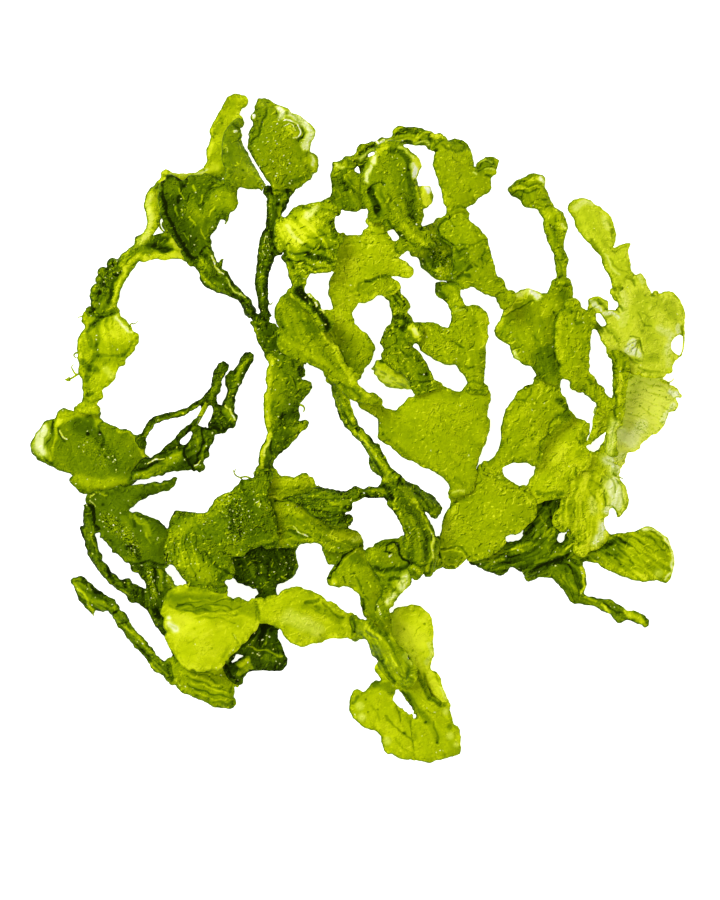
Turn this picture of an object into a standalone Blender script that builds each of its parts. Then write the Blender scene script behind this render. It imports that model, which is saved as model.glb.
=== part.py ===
"""Halimeda seaweed: a spray of flat calcified segments joined by narrow nodes, lying on its side."""

import bmesh
import bpy
import numpy
from mathutils import Vector
from mathutils.geometry import delaunay_2d_cdt

# Driving dimensions, millimetres unless said otherwise.
MILLIMETRE = 0.001
GAP = 0.35            # clear space kept between neighbouring segments
LIFT = 1.75           # how far the spray stands up from the surface it lies on
REST_HEIGHT = 0.5     # middle of a blade that lies flat on that surface
BLADE_BODY = 1.0      # thickness of a blade at its middle
BLADE_EDGE = 0.5      # thickness of a blade at its margin
TAPER = 1.5           # distance over which the margin thins
BLADE_PITCH = 2.9     # spacing of the shape points inside a blade
STEM_PITCH = 2.0      # the same inside a stem
SMALLEST_EDGE = 0.12  # points nearer than this are one point

# Colours of the segments, linear RGB.
TONES = {
    "dark": (0.045, 0.105, 0.004),
    "mid": (0.190, 0.300, 0.006),
    "green": (0.290, 0.420, 0.008),
    "bright": (0.500, 0.620, 0.012),
    "pale": (0.560, 0.650, 0.160),
}

segments = {}


def anticlockwise(outline):
    """The outline's points as an array, in anticlockwise order."""
    points = numpy.array(outline, dtype=float)
    after = numpy.roll(points, -1, axis=0)
    area = (points[:, 0] * after[:, 1] - after[:, 0] * points[:, 1]).sum()
    return points if area > 0.0 else points[::-1].copy()


def add_segment(name, tone, outlines, heights, body=BLADE_BODY, edge=BLADE_EDGE, pitch=BLADE_PITCH):
    """Note one segment: its plan outlines, heights (x, y, z) it passes through, and its depth."""
    segments[name] = {
        "tone": tone,
        "outlines": [anticlockwise(outline) for outline in outlines],
        "heights": numpy.array(heights, dtype=float),
        "body": body,
        "edge": edge,
        "pitch": pitch,
    }


# ---- upper left ----
add_segment("arm_left", "mid", [
    [(-36.6, 28.1), (-35.6, 27.8), (-34.8, 28.3), (-33.9, 28.5), (-32, 28.25), (-28.5, 28.5),
     (-28, 30), (-29.5, 31.4), (-32, 34.3), (-32.15, 32.6), (-34.1, 32), (-35.6, 30.3),
     (-37.2, 30.4), (-38.1, 30), (-40.2, 28), (-41.4, 27.4), (-42, 26.5), (-42.9, 26.3),
     (-43.4, 25.3), (-43.4, 24.15), (-44.4, 23.6), (-44.5, 22.2), (-44.2, 20), (-44.85, 19.3),
     (-43, 18.9), (-40.6, 19.4), (-40, 22.8), (-38.9, 25.1), (-37.5, 26.85)],
    [(-33, 40.7), (-34.3, 40.3), (-35.2, 39.1), (-35.65, 37.5), (-35.1, 35.4), (-35.1, 33.3),
     (-36.2, 32.2), (-37.1, 31.8), (-37.2, 29.6), (-35.4, 29.6), (-34.5, 32.2), (-33.3, 34.1),
     (-32.9, 35.8), (-33.1, 37.9)]],
    [(-43, 20, 1.3), (-41, 26, 1.5), (-36, 29, 1.8), (-30, 30, 1.8), (-34, 39, 1.6)],
    body=1.7, edge=0.7, pitch=STEM_PITCH)
add_segment("leaf_left", "green", [
    [(-40.6, 19), (-39.1, 18.2), (-37.5, 16.1), (-36.8, 15.6), (-36.8, 14.35), (-37.5, 13),
     (-38.9, 11.5), (-39.1, 10.6), (-40, 10.4), (-40.8, 8.2), (-41.7, 7.1), (-42.5, 6.85),
     (-42.9, 6.3), (-42.7, 5.3), (-43.7, 4.35), (-43.8, 2.9), (-46.4, 3.2), (-45.8, 5.1),
     (-46, 8), (-46.7, 9.05), (-46.6, 10.7), (-46.9, 12), (-46.8, 14.35), (-46.4, 15.7),
     (-45.5, 16.5), (-45.4, 17.2), (-46.1, 17.8), (-46, 18.5), (-44.9, 19.05)]],
    [(-45, 4, 1.2), (-41, 12, 1.5), (-45, 13, 1.1), (-43, 18, 1.4)])
add_segment("leaf_far_left", "green", [
    [(-46.4, 3.2), (-47.5, 2.6), (-49.3, 3.2), (-50, 2.8), (-50.6, 1.5), (-52.15, 1.1),
     (-54.1, -1.4), (-54.8, -3), (-54.6, -4), (-53.5, -5.2), (-51, -6.3), (-50, -7),
     (-48.2, -7.4), (-47.3, -7.9), (-48.1, -8.6), (-47.6, -9.5), (-46.5, -10.6), (-44.9, -11.7),
     (-43.5, -10.9), (-41.8, -11.1), (-39.2, -9.8), (-37.2, -8), (-36.3, -6.8), (-35.55, -5),
     (-35.8, -4), (-37.5, -1.2), (-38.3, -0.5), (-40, -0.2), (-42.7, 1), (-43.5, 1.85),
     (-44, 2.8)]],
    [(-52, -3, 0.5), (-45, 1, 0.6), (-45, -5, 0.5), (-38, -3, 1.1), (-43, -10, 0.9)])
add_segment("heart_dark", "dark", [
    [(-31.7, 41.9), (-31, 42.05), (-29, 40.8), (-28.1, 41.9), (-26.8, 42), (-25.1, 41.6),
     (-24, 41), (-23, 41.3), (-21.85, 40.8), (-20.2, 38.7), (-20, 37.35), (-20.5, 36.4),
     (-21.3, 35.9), (-21.8, 34.4), (-22.9, 34.85), (-23.9, 33), (-24.7, 32.15), (-24.8, 31),
     (-25.5, 30.6), (-26.5, 28.6), (-28, 28), (-28.7, 29.3), (-29.65, 31.2), (-31, 33.3),
     (-32, 35.2), (-32.5, 38.1), (-32.25, 40)]],
    [(-27, 29, 3.0), (-29, 35, 3.7), (-22, 38, 3.8), (-24, 33, 3.5), (-30, 41, 3.3), (-26, 38, 3.3)])
add_segment("finger_top", "green", [
    [(-32.7, 42.5), (-32.2, 43), (-30.8, 42.5), (-29, 42.3), (-27, 42.5), (-25.9, 43.2),
     (-24.9, 42.2), (-24.5, 39.5), (-27, 36.5), (-30.5, 35.6), (-32.6, 36), (-33.1, 37.5),
     (-32.6, 40.4)],
    [(-21.85, 55.2), (-20.7, 55.9), (-18.8, 55.6), (-18.5, 54.85), (-18.8, 53.8), (-19.5, 53.6),
     (-20, 52.5), (-20, 51.4), (-21.65, 49.3), (-21.85, 48.1), (-21.9, 44.85), (-22.4, 43.4),
     (-21.3, 43.2), (-21.2, 42.3), (-22.2, 42), (-24.9, 41.8), (-25.9, 42.25), (-25.1, 45),
     (-25.2, 46.4), (-24.5, 48.7), (-24.6, 49.85), (-24.15, 51), (-22.8, 53.3)]],
    [(-31, 41, 2.0), (-28, 37, 2.2), (-24, 43, 1.9), (-22.5, 49, 1.0), (-20, 55, 0.5)])
add_segment("wedge_top", "green", [
    [(-19.6, 51.2), (-20, 50.2), (-19.1, 47.5), (-17.6, 44.65), (-15.9, 41.6), (-15.1, 40.4),
     (-15.3, 39.65), (-18, 39.85), (-20.9, 39.9), (-21.5, 41), (-21.1, 42.35), (-21.3, 43.3),
     (-21.85, 44.3), (-21.9, 47.5), (-21.65, 48.9), (-20.5, 50.6)]],
    [(-16, 40.5, 4.0), (-20.5, 40.5, 4.9), (-20, 50, 2.2)])
add_segment("fan_top", "green", [
    [(-14.15, 39.3), (-14.9, 40.6), (-16.5, 42.9), (-17.3, 44.5), (-18.4, 46.1), (-18.6, 47.15),
     (-18.2, 48.7), (-17.5, 49.85), (-17.4, 50.8), (-17.8, 51.7), (-17.1, 52.5), (-16.9, 53.9),
     (-16.5, 54.75), (-15.7, 54.9), (-13.8, 53.8), (-12, 53.1), (-11.3, 52.4), (-9.9, 51.9),
     (-7.6, 50), (-7.2, 49.3), (-7.5, 48.1), (-8, 47.35), (-8.2, 45.9), (-6.85, 45.2),
     (-6.65, 44.1), (-6.85, 42.7), (-7.6, 42.25), (-8, 41.4), (-9.9, 40), (-11.3, 39.5)]],
    [(-12, 39.7, 4.2), (-14, 47, 4.7), (-8, 44, 3.6), (-9, 50, 3.7), (-16, 54, 3.2)])
add_segment("stem_top", "green", [
    [(-15.3, 39.65), (-14.9, 38.7), (-15.1, 35.2), (-15.2, 33.3), (-15.9, 32.5), (-16.3, 31.4),
     (-16.65, 28.7), (-16.85, 26.9), (-17.1, 25.1), (-16.65, 21.65), (-16.1, 18.2),
     (-14.35, 18.6), (-14.9, 19.5), (-14.9, 22.2), (-15, 24.7), (-14.7, 26.5), (-14.15, 27.9),
     (-13.2, 29.1), (-13, 30), (-13.8, 30.8), (-13.7, 32.1), (-13.2, 32.9), (-13, 35.1),
     (-12, 36.4), (-11.6, 37.7), (-11.5, 39.1)]],
    [(-13.5, 39, 4.1), (-14.3, 33, 3.8), (-15.3, 29, 3.6), (-16, 22, 3.3), (-15.5, 18.4, 3.2)],
    body=1.8, edge=0.8, pitch=STEM_PITCH)
add_segment("bar_heart", "dark", [
    [(-25.5, 30.4), (-24.35, 29.75), (-24, 28.5), (-23.3, 27.5), (-22.5, 28), (-22.8, 26.5),
     (-21.85, 25.9), (-20.3, 23.4), (-18.2, 21.65), (-16.9, 19.5), (-17.2, 18.8), (-18.2, 18.2),
     (-18.8, 18.8), (-19, 19.9), (-19.9, 21.4), (-22.2, 22.3), (-23.6, 22.6), (-25.7, 24),
     (-26.3, 24.9), (-26.5, 26.3), (-27.3, 27.3), (-28.3, 27.9), (-27, 29)]],
    [(-26, 29, 3.0), (-24, 25, 2.9), (-20, 22, 2.9), (-17.8, 19.3, 3.0)],
    body=2.2, edge=0.9, pitch=STEM_PITCH)
add_segment("leaf_ragged", "mid", [
    [(-17.9, 17.6), (-17.4, 16.85), (-16.5, 14.35), (-15.2, 11.85), (-14.7, 10.5), (-15.2, 9.5),
     (-15.1, 6.5), (-15.6, 5.3), (-15.6, 1.85), (-14.9, -0.85), (-16.1, -3.5), (-16.4, -5),
     (-16.3, -7.3), (-14.8, -7.3), (-14, -5), (-11.5, -2.8), (-9.5, -0.5), (-8.6, 0.1),
     (-8.3, 0.9), (-8.8, 1.3), (-10.3, 0.9), (-9.8, 2), (-10.1, 3), (-9.9, 4), (-9, 5.1),
     (-7.7, 6.9), (-8, 7.6), (-9.35, 7.9), (-9.8, 8.4), (-9, 8.8), (-9, 9.9), (-9.5, 10.6),
     (-9.25, 11.1), (-10.1, 11.5), (-12.4, 13), (-13, 15.7), (-13.9, 17.2), (-16.2, 18)]],
    [(-15.5, 16.5, 3.1), (-13, 11.8, 2.8), (-12, 5, 2.2), (-13, -1, 2.3), (-15.5, -6.5, 2.9)],
    body=1.2)
add_segment("bright_fan", "bright", [
    [(-13, 34), (-11.5, 35), (-10.9, 36.2), (-9.9, 36.6), (-6.65, 37.15), (-4.9, 37),
     (-4.15, 36.2), (-3.9, 33.3), (-3, 31), (-3.8, 30.2), (-4.15, 29.1), (-4.05, 28),
     (-4.6, 25.9), (-8, 25.6), (-8.6, 24.7), (-9, 23), (-8.8, 22), (-8, 22.2), (-6.65, 20.9),
     (-6.3, 19.7), (-4.5, 18.4), (-4.9, 16.5), (-5.7, 16.5), (-7.2, 19.15), (-8.8, 20.5),
     (-10.6, 23), (-11.3, 24.9), (-11.75, 27), (-12.5, 28.3), (-12, 29.1), (-12.8, 29.85),
     (-13.2, 31)]],
    [(-9.8, 23, 5.0), (-8, 30, 6.2), (-12, 31, 5.5), (-5, 35, 6.3), (-5.2, 17.5, 5.6)], body=1.1)
add_segment("diagonal_leaf", "mid", [
    [(-11.3, 22.6), (-13, 21.3), (-13.6, 20.1), (-13.7, 18.6), (-13.3, 17.2), (-12.6, 16.3),
     (-12.7, 13.8), (-12, 13), (-9.05, 11.4), (-6.1, 9.6), (-4.6, 8.8), (-3.2, 7.6),
     (-1.1, 5.5), (-0.3, 5.1), (2, 4.6), (3, 4.7), (1.1, 6.1), (-0.1, 7.2), (-0.5, 8.2),
     (-2.2, 10.5), (-3.2, 13), (-4.35, 14.15), (-6, 16.3), (-6.85, 18.6), (-7.8, 19.7),
     (-8.8, 20.1), (-10.7, 22.5)]],
    [(-12, 19, 4.5), (-9, 14, 4.9), (-4, 10, 4.9), (2, 5.2, 4.4), (-7, 17, 4.3)], body=1.1)

# ---- middle, top to bottom ----
add_segment("small_leaf_top", "green", [
    [(-4.05, 44), (-2.05, 44), (-1.3, 43.7), (-0.9, 42.7), (0.85, 41.6), (0.85, 39.65),
     (1, 37.9), (0.85, 36.8), (-0.1, 35.9), (-1.5, 36), (-2.6, 36.4), (-3.6, 35.8),
     (-4.9, 37.1), (-4.4, 38.7), (-4.15, 40.6), (-4.4, 42)]],
    [(-2, 36.5, 4.5), (-2, 43, 4.2), (0.5, 39, 4.3)])
add_segment("mitten", "green", [
    [(-2.4, 31.9), (0.7, 32), (0.9, 32.7), (1.85, 33.3), (1.9, 34.3), (4, 34.8), (4.9, 33.7),
     (4.7, 32.5), (5.5, 31.2), (6.5, 30.2), (6.6, 29.1), (5.7, 28.3), (8.2, 27.3), (9, 26.4),
     (9, 25.3), (8.4, 25), (6.1, 25.3), (4.7, 25.3), (6.65, 24.3), (6.5, 23.4), (5.7, 22.8),
     (3.2, 22), (1.3, 20.9), (0.1, 20.9), (-0.85, 19.7), (-1.6, 18.2), (-4.7, 17.8),
     (-4.7, 18.6), (-3.95, 19.7), (-4.15, 21.1), (-4.8, 22.4), (-4.8, 24), (-4.35, 25.1),
     (-3.6, 25.8), (-3.95, 26.85), (-3.95, 29.5)]],
    [(-3, 20, 3.6), (0, 26, 4.6), (7, 27, 4.1), (4, 23, 4.1), (0, 31, 4.4), (-4, 29, 4.2)])
add_segment("disc_mid", "mid", [
    [(-4.7, 17.6), (-1.85, 18.1), (-0.7, 17.2), (1.5, 15.3), (2.4, 14.35), (2.8, 12.8),
     (2.6, 11.65), (1.85, 10.3), (-0.1, 8.7), (-1.65, 8.8), (-3.6, 11), (-5.4, 14.5)]],
    [(-3, 14, 3.1), (1, 14, 3.2), (-0.5, 10, 2.9)])
add_segment("arch_top", "green", [
    [(-2, 44.5), (-0.3, 45.8), (0, 47), (2.6, 47.7), (4, 48.3), (5.7, 48.3), (5.9, 49.65),
     (7, 50.2), (10.3, 49.9), (11.3, 49.4), (12.2, 49.3), (13.4, 48.7), (14, 47.9),
     (12.6, 46.8), (10.5, 47.1), (9, 47.25), (5.7, 47.15), (4.15, 46.6), (1.85, 46), (1.4, 45),
     (2, 44.1), (1.65, 42.7), (1.3, 42.25), (0.3, 42.9), (0, 43.7), (0.3, 44.7), (-0.3, 44.1),
     (-1.2, 43.7)]],
    [(-1, 44.4, 3.2), (5, 47.8, 3.0), (13.3, 47.8, 3.2), (1, 43, 3.2)],
    body=1.6, edge=0.7, pitch=STEM_PITCH)
add_segment("hood", "green", [
    [(3.2, 45.6), (4, 46.4), (5.1, 46.9), (6.85, 46.7), (8.2, 46), (10.2, 44.3), (10.4, 43.3),
     (9.5, 41.4), (10, 39.9), (11.85, 40), (12.4, 38.5), (12.2, 37.35), (11.5, 36.7),
     (10.7, 36.4), (10.8, 35.2), (10.3, 34), (10.3, 33.1), (11.1, 32.35), (13, 30), (9.5, 29.9),
     (7.8, 29.3), (6.75, 29.5), (7, 31.8), (6.1, 32.9), (4, 34.8), (2.6, 34.65), (1.85, 35.4),
     (1.3, 37.5), (1, 39.3), (1.1, 40.8), (2, 43.7)]],
    [(5, 43, 5.7), (9, 43, 5.4), (12, 38, 4.9), (2.5, 38, 5.2), (6, 39, 5.9), (9, 32.5, 5.1),
     (12.5, 30.4, 5.1)], body=1.2)
add_segment("heart_right", "green", [
    [(12.6, 46.8), (14, 47.9), (15.1, 47.7), (16.1, 48.1), (17.2, 47.8), (18.2, 47.15),
     (18.7, 46.4), (18.8, 45.2), (19.15, 44.3), (19.3, 42.9), (20, 44.1), (21.3, 45),
     (22.6, 45), (23.4, 44.55), (22.8, 42.35), (22, 41.7), (22.1, 39.85), (21.5, 39.1),
     (20.3, 38.5), (19.35, 37.5), (18, 36.6), (17.6, 35), (15.3, 34.75), (14.15, 38.1),
     (13.9, 39.5), (12.8, 42.7), (12.5, 43.7), (12.9, 46)]],
    [(16.3, 35.2, 4.3), (16, 46, 3.3), (21, 41, 3.5), (22.5, 44.5, 2.9), (16, 41, 4.2)])
add_segment("shield", "green", [
    [(17.6, 35), (20.3, 32.7), (21.4, 31.2), (22.1, 28.1), (23, 24.9), (24, 24.35), (24.4, 23),
     (25.3, 22.4), (25.6, 21.65), (24.9, 20.7), (24, 20.15), (23.1, 20.9), (23, 21.75),
     (20.3, 22.7), (19.35, 23.4), (18.4, 23.5), (17.2, 24.15), (16.5, 24.9), (15.7, 27.5),
     (15.7, 30.1), (13.4, 31.6), (13.1, 32.5), (13.6, 33.7), (14.5, 34.5)]],
    [(16.5, 34.3, 4.6), (21, 28, 5.3), (24, 21.5, 4.7), (17, 25, 4.9), (14, 32, 4.8), (18, 30, 5.5)])
add_segment("cluster_dark", "dark", [
    [(9.5, 30), (9.35, 29.1), (10.3, 28.1), (10.5, 26.9), (13, 24.9), (15, 24.6), (17, 25.5),
     (18.5, 28), (18, 30.5), (16, 32.5), (14.6, 34), (13.6, 34.3), (11.85, 33.7), (10.2, 31.3)]],
    [(10, 30, 3.3), (14, 27, 3.2), (17, 29, 3.2)], body=1.5, edge=0.8)
add_segment("boot", "green", [
    [(12.9, 24.15), (12.8, 22.8), (13.4, 21.85), (14.5, 21.3), (15.1, 20.5), (15.7, 18.4),
     (15.1, 16.65), (13.6, 16.75), (13.2, 17.2), (12.2, 17.5), (11.1, 17.3), (10.2, 16.65),
     (10.2, 14.35), (10.5, 13), (11.85, 12), (15.1, 10.5), (16.3, 10.7), (17.6, 9), (18.5, 7.4),
     (18.7, 6.3), (21, 6.3), (20.8, 8.2), (21.2, 11.5), (21.1, 14.15), (21.6, 15.1),
     (21.8, 16.65), (21.6, 18.2), (21.1, 19.5), (20.1, 20.2), (19, 20.35), (17.8, 20.2),
     (16.85, 22), (16.75, 23.2), (17.4, 24)]],
    [(14.5, 23, 3.1), (16, 17, 3.5), (20, 12, 3.2), (20, 6.6, 2.9), (12, 14, 3.1)], body=1.2)
add_segment("chain_small", "green", [
    [(5.1, 22.4), (6.3, 22.8), (8.2, 21.1), (8.6, 20.1), (8, 19.2), (8.8, 18.4), (9.25, 17.4),
     (10, 16.75), (10.3, 15.7), (8.8, 13.4), (9.7, 12.8), (10.7, 11.65), (12, 9.35),
     (12.9, 7.1), (9.9, 6.1), (9.4, 7), (7.5, 9), (6.5, 10.1), (5.3, 10.9), (4.6, 12),
     (4.5, 13.2), (3.7, 14.15), (4.35, 16.1), (5.6, 17.2), (6, 18.6), (5.2, 20.9)]],
    [(6.5, 21, 3.9), (8, 17, 3.9), (7.5, 11, 3.7), (11, 7, 3.3)])
add_segment("spoon", "bright", [
    [(2.1, 10.1), (2.2, 10.7), (3, 11.4), (4, 11.75), (4.7, 11.5), (5.5, 10.7), (7.5, 10.4),
     (9.5, 8.5), (9.9, 6.7), (8.8, 6.3), (7.6, 6.65), (4.9, 7.05), (3.6, 8)]],
    [(3, 10, 2.2), (8, 8, 2.1), (5, 9, 2.0)])
add_segment("big_fan", "bright", [
    [(9.9, 6.1), (11.5, 6.85), (12.9, 7.1), (14.5, 6.75), (15.7, 6.1), (16.85, 6), (18.6, 6.3),
     (20.9, 6), (21.85, 5.5), (22, 4.7), (21.3, 1.85), (21.9, 1.3), (21.9, 0.3), (21, -2.9),
     (20, -4.7), (19.4, -7), (18.6, -9.5), (18.7, -10), (15.8, -11), (15.2, -9.3), (14.4, -8.2),
     (12, -6.8), (10.4, -6.2), (9.5, -5.5), (7.6, -4.8), (5.6, -3), (3.6, -1.8), (3.5, 1.65),
     (1.3, 3), (-0.85, 4.5), (-0.85, 5.1), (1, 4.9), (3.2, 4.6), (4.35, 3.2), (6.3, 2.9),
     (8.8, 5.1)]],
    [(17.3, -10, 2.9), (12, -2, 2.9), (5, 1, 2.5), (15, 6, 2.7), (21, 4, 2.6), (0, 4.3, 3.1)],
    body=1.1)
add_segment("centre_stalk", "mid", [
    [(-4.6, 8.6), (-4.7, 7.9), (-3.9, 4.5), (-2.8, 1.5), (-2, 0.2), (0, -2), (0.8, -2.7),
     (2, -4.7), (1.9, -6.2), (2.4, -7.1), (4, -8.4), (4.9, -9.7), (6.9, -9.6), (7.4, -9.2),
     (7, -8.6), (7, -7.8), (5.2, -6.5), (4.5, -4.7), (3.8, -3.8), (3.5, -2.8), (2.8, -2.5),
     (2.3, -1.9), (0, 0.5), (-0.9, 2.5), (-1.2, 5), (-2, 6.2), (-3.6, 8)]],
    [(-4, 8, 2.5), (-2, 2, 2.5), (2, -3, 3.1), (6, -8.8, 4.1)],
    body=1.9, edge=0.8, pitch=STEM_PITCH)

# ---- right ----
add_segment("cap", "mid", [
    [(25.1, 39.85), (26.65, 41.4), (28.1, 41.8), (28.9, 42.35), (29.85, 42.5), (30.7, 42.25),
     (31.2, 41.7), (31.1, 40.1), (31.6, 39.3), (32.7, 36.8), (34.3, 35.9), (34.9, 33.5),
     (34.6, 32.9), (34.2, 30.4), (34.4, 29.2), (35, 27.9), (34.5, 26.1), (34.75, 23.8),
     (32.9, 23.8), (33.15, 25.7), (32.8, 29.1), (32, 30.8), (31.1, 33.3), (31.1, 35.1),
     (30.1, 36.6), (28.9, 37), (28.1, 37), (27, 38.3), (26, 38.9)]],
    [(33.8, 24, 2.6), (33.3, 33, 1.7), (28, 40, 0.8), (31, 37, 1.2)], body=1.4, edge=0.7)
add_segment("club", "bright", [
    [(35.3, 36.8), (35.6, 37.5), (36.4, 38.1), (37.7, 38.35), (38.9, 38.1), (39.5, 37.3),
     (40.4, 36.9), (42, 35.6), (42.6, 34.65), (43, 32.5), (42.9, 31.4), (42.35, 30.2),
     (42.9, 29.85), (44.85, 30.9), (45.5, 30.8), (45.1, 29.5), (45.5, 26.3), (45, 24.5),
     (43.5, 22.4), (42.4, 24), (42.35, 25.1), (40.8, 27.6), (40.8, 28.7), (38.7, 31),
     (37.9, 31.6), (36.4, 34.2), (36.5, 34.65)]],
    [(39, 35, 0.6), (42, 30, 1.1), (43.5, 26, 1.5), (43.8, 23, 1.8)])
add_segment("pale_leaf", "pale", [
    [(43.5, 22.4), (45.2, 24.9), (47.25, 25.6), (47.8, 24.8), (49, 22.2), (49.85, 22.8),
     (50.2, 22.4), (52, 22.8), (52.9, 22.4), (53.7, 21.5), (54.3, 20.3), (54.5, 18.8),
     (54.5, 15.7), (54.2, 14.5), (54.3, 12), (52.9, 11.3), (52.4, 10.5), (52.3, 9.5), (50.2, 9),
     (47.7, 9.15), (47, 9.9), (46.2, 9.5), (44.75, 10.3), (44.5, 12), (43.3, 12.6),
     (42.15, 12.7), (40.5, 14.7), (40.2, 15.8), (38.9, 17.8), (39.3, 19.4), (38.5, 20.1),
     (38.3, 21.3), (39.5, 21.85), (40.2, 21.85), (41.4, 21.1), (41.7, 20.3), (41.4, 19.4),
     (42.9, 19.5), (43.6, 20.3), (43.3, 21.3)]],
    [(44, 13, 2.6), (48, 16, 2.0), (53, 15, 1.2), (47, 24, 1.4), (40, 20.5, 2.6)])
add_segment("stem_right", "mid", [
    [(43.4, 12.3), (42.2, 12.3), (42.5, 8.8), (42.5, 4.9), (41.9, 4.9), (41.1, 5.7), (41, 6.5),
     (38.7, 7.9), (37.2, 8.2), (36, 6.85), (37.5, 6.1), (39.65, 4.15), (40, 3.2), (39.3, 2),
     (39.1, -0.5), (38.7, -2), (39.2, -2.4), (41.2, -0.4), (41.7, 0.5), (42, -0.85), (41.9, -4),
     (42.8, -4.3), (43.1, -1), (43.3, 0), (43.8, 3), (44, 6), (44.75, 10.1), (44.4, 11.8)]],
    [(37.3, 7.2, 3.4), (41, 4, 3.0), (40, 0, 2.8), (43.4, 11, 3.1), (42.4, -3.5, 2.6)],
    body=2.2, edge=0.9, pitch=STEM_PITCH)
add_segment("pale_fan", "pale", [
    [(44.2, 6), (44.75, 9.5), (45.8, 8.4), (46.4, 9.5), (47.15, 9.8), (47.7, 9.05), (50.2, 8.9),
     (50.8, 8), (52, 7.6), (51.8, 7), (52.9, 6.85), (53.5, 6.5), (54.1, 5.3), (52.9, 5.3),
     (53.5, 4), (52.9, 2.9), (51.8, 2.8), (51.6, 1.5), (51, 0.3), (50, -0.75), (49, -1),
     (47.5, -2.4), (47, -3.3), (46.3, -3.9), (45, -4), (44.4, -5.7), (43.3, -5.5), (41.2, -3.4),
     (41.8, -2.6), (42.2, -1), (43.4, 2)]],
    [(43, -3, 0.9), (48, 4, 0.8), (53, 5, 0.5), (45, 8, 1.0)], body=0.9)
add_segment("green_fan", "green", [
    [(22.5, 16.2), (23.2, 17), (24.7, 19.9), (25.7, 21.5), (27, 22.9), (28.3, 23.2),
     (29.85, 22.7), (30.5, 22.2), (31.6, 22.4), (32, 23.1), (32.9, 23.6), (34.75, 23.7),
     (35.4, 23.3), (35.6, 22.3), (35.2, 21.1), (36, 19), (36, 12), (35, 9.2), (34.2, 9.25),
     (33.6, 8.4), (33.5, 7.2), (32.7, 6.1), (30.8, 6.65), (29.9, 7.6), (29.9, 8.8),
     (28.9, 10.4), (27.9, 10.5), (27, 11.3), (25.9, 11.65), (25.5, 13.8), (23.6, 14.9)]],
    [(31, 8, 2.8), (25, 16, 2.5), (31, 22, 2.6), (34.5, 12, 2.5), (29, 16, 2.9)])
add_segment("narrow_fan", "bright", [
    [(35, 20.7), (36.7, 20.85), (36.9, 19.9), (38.9, 19.15), (38.85, 17.6), (38.6, 15.5),
     (38.6, 13.8), (38.3, 12.6), (38.3, 9.5), (38.7, 8), (36, 6.85), (34.2, 9.25),
     (33.1, 11.85), (32.8, 13.6), (32.7, 15.5), (32.9, 17.4), (33.5, 19), (34.65, 19.9)]],
    [(36.5, 8, 3.8), (36, 20, 4.0), (33.5, 15, 3.9), (38, 15, 3.7)])
add_segment("fan_right_mid", "bright", [
    [(26.6, 6.1), (27.7, 6.85), (29.9, 7.5), (30.8, 6.65), (32.7, 6.1), (34.5, 5), (34.5, 4.35),
     (35, 3.4), (35, 2), (32.7, 0.7), (31.8, -0.3), (30.5, -2.9), (30.1, -3.3), (30, -5.3),
     (29, -5.7), (25.9, -5.6), (24, -6.4), (23.2, -7.3), (21.2, -6.6), (21.3, -6.1),
     (22.7, -4.9), (23.6, -3.4), (24, -0.3), (24.35, 2.4), (25.1, 3.8), (25.9, 4.7)]],
    [(22.3, -6.8, 2.9), (27, 0, 3.4), (30, 6, 3.3), (33.5, 3, 3.0)])
add_segment("fan_right_low", "bright", [
    [(32.7, 1.1), (35.6, 1.8), (38.9, 0.9), (39.4, -0.85), (39, -2.4), (38.5, -3), (38, -3.1),
     (38.3, -4), (38.3, -5), (38, -5.9), (37.3, -6.5), (36.6, -6.7), (36, -7.8), (35.2, -8.1),
     (34.4, -8.9), (34.6, -10), (34.4, -10.9), (31, -11.4), (30, -11.9), (29.1, -12),
     (28, -11.2), (28, -10.5), (28.4, -10), (28.8, -8.6), (29.5, -7.8), (30, -6.2), (29.5, -4),
     (29.6, -2.9), (31.3, -0.1)]],
    [(29, -11, 2.1), (34, -4, 1.9), (37, 0.5, 1.9), (31, -4, 1.8)])
add_segment("kite", "bright", [
    [(20, -6.9), (21.2, -6.5), (22.5, -7), (25, -8.7), (27.7, -10.3), (27.9, -10.9),
     (29.1, -12.3), (29.1, -14.4), (28.6, -15.1), (28, -15.4), (26.7, -16.8), (24.8, -17.8),
     (23.2, -19.8), (21.2, -21), (19, -21.6), (17.9, -21.4), (17.8, -22), (16.5, -23.2),
     (15.5, -23.5), (14.7, -23.4), (14.2, -22.9), (13.3, -23.4), (12, -23.4), (13.1, -20),
     (13.35, -18.6), (13.9, -18.8), (13.8, -17.8), (14.5, -14.4), (15.5, -13.3), (15.8, -11.3),
     (16.4, -10.7), (18, -10.5), (18.8, -10.1)]],
    [(17.5, -11, 2.4), (21, -7.5, 2.7), (28, -13, 2.3), (22, -13, 2.6), (18, -19, 2.1),
     (14, -22, 1.5)])
add_segment("frayed_fan", "pale", [
    [(41.2, -3.3), (38.9, -4.5), (37.5, -6.4), (36.6, -6.7), (36.1, -7.7), (35.2, -8.1),
     (34.5, -8.9), (34.3, -10), (34.5, -11), (34, -12), (33.8, -13.5), (33, -14.5),
     (32.7, -15.5), (33, -16.2), (34.3, -16.8), (35.5, -16.7), (35.7, -17.2), (35.5, -18),
     (36.4, -19.5), (36.2, -20.3), (37.5, -20.9), (38.5, -19.8), (39.5, -19.7), (40.3, -19.3),
     (41, -18.6), (41.3, -17.6), (41, -14.8), (42.6, -15.1), (43.6, -15), (44.9, -13.2),
     (45.1, -12), (44.9, -10.5), (44.5, -9.6), (43.8, -8.8), (43.5, -7.9), (43.8, -7),
     (43.6, -6.2), (42.5, -5)]],
    [(40.5, -4.5, 1.2), (37, -10, 1.7), (44, -12, 0.5), (37, -19, 1.5), (40.5, -16, 1.0)])
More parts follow.
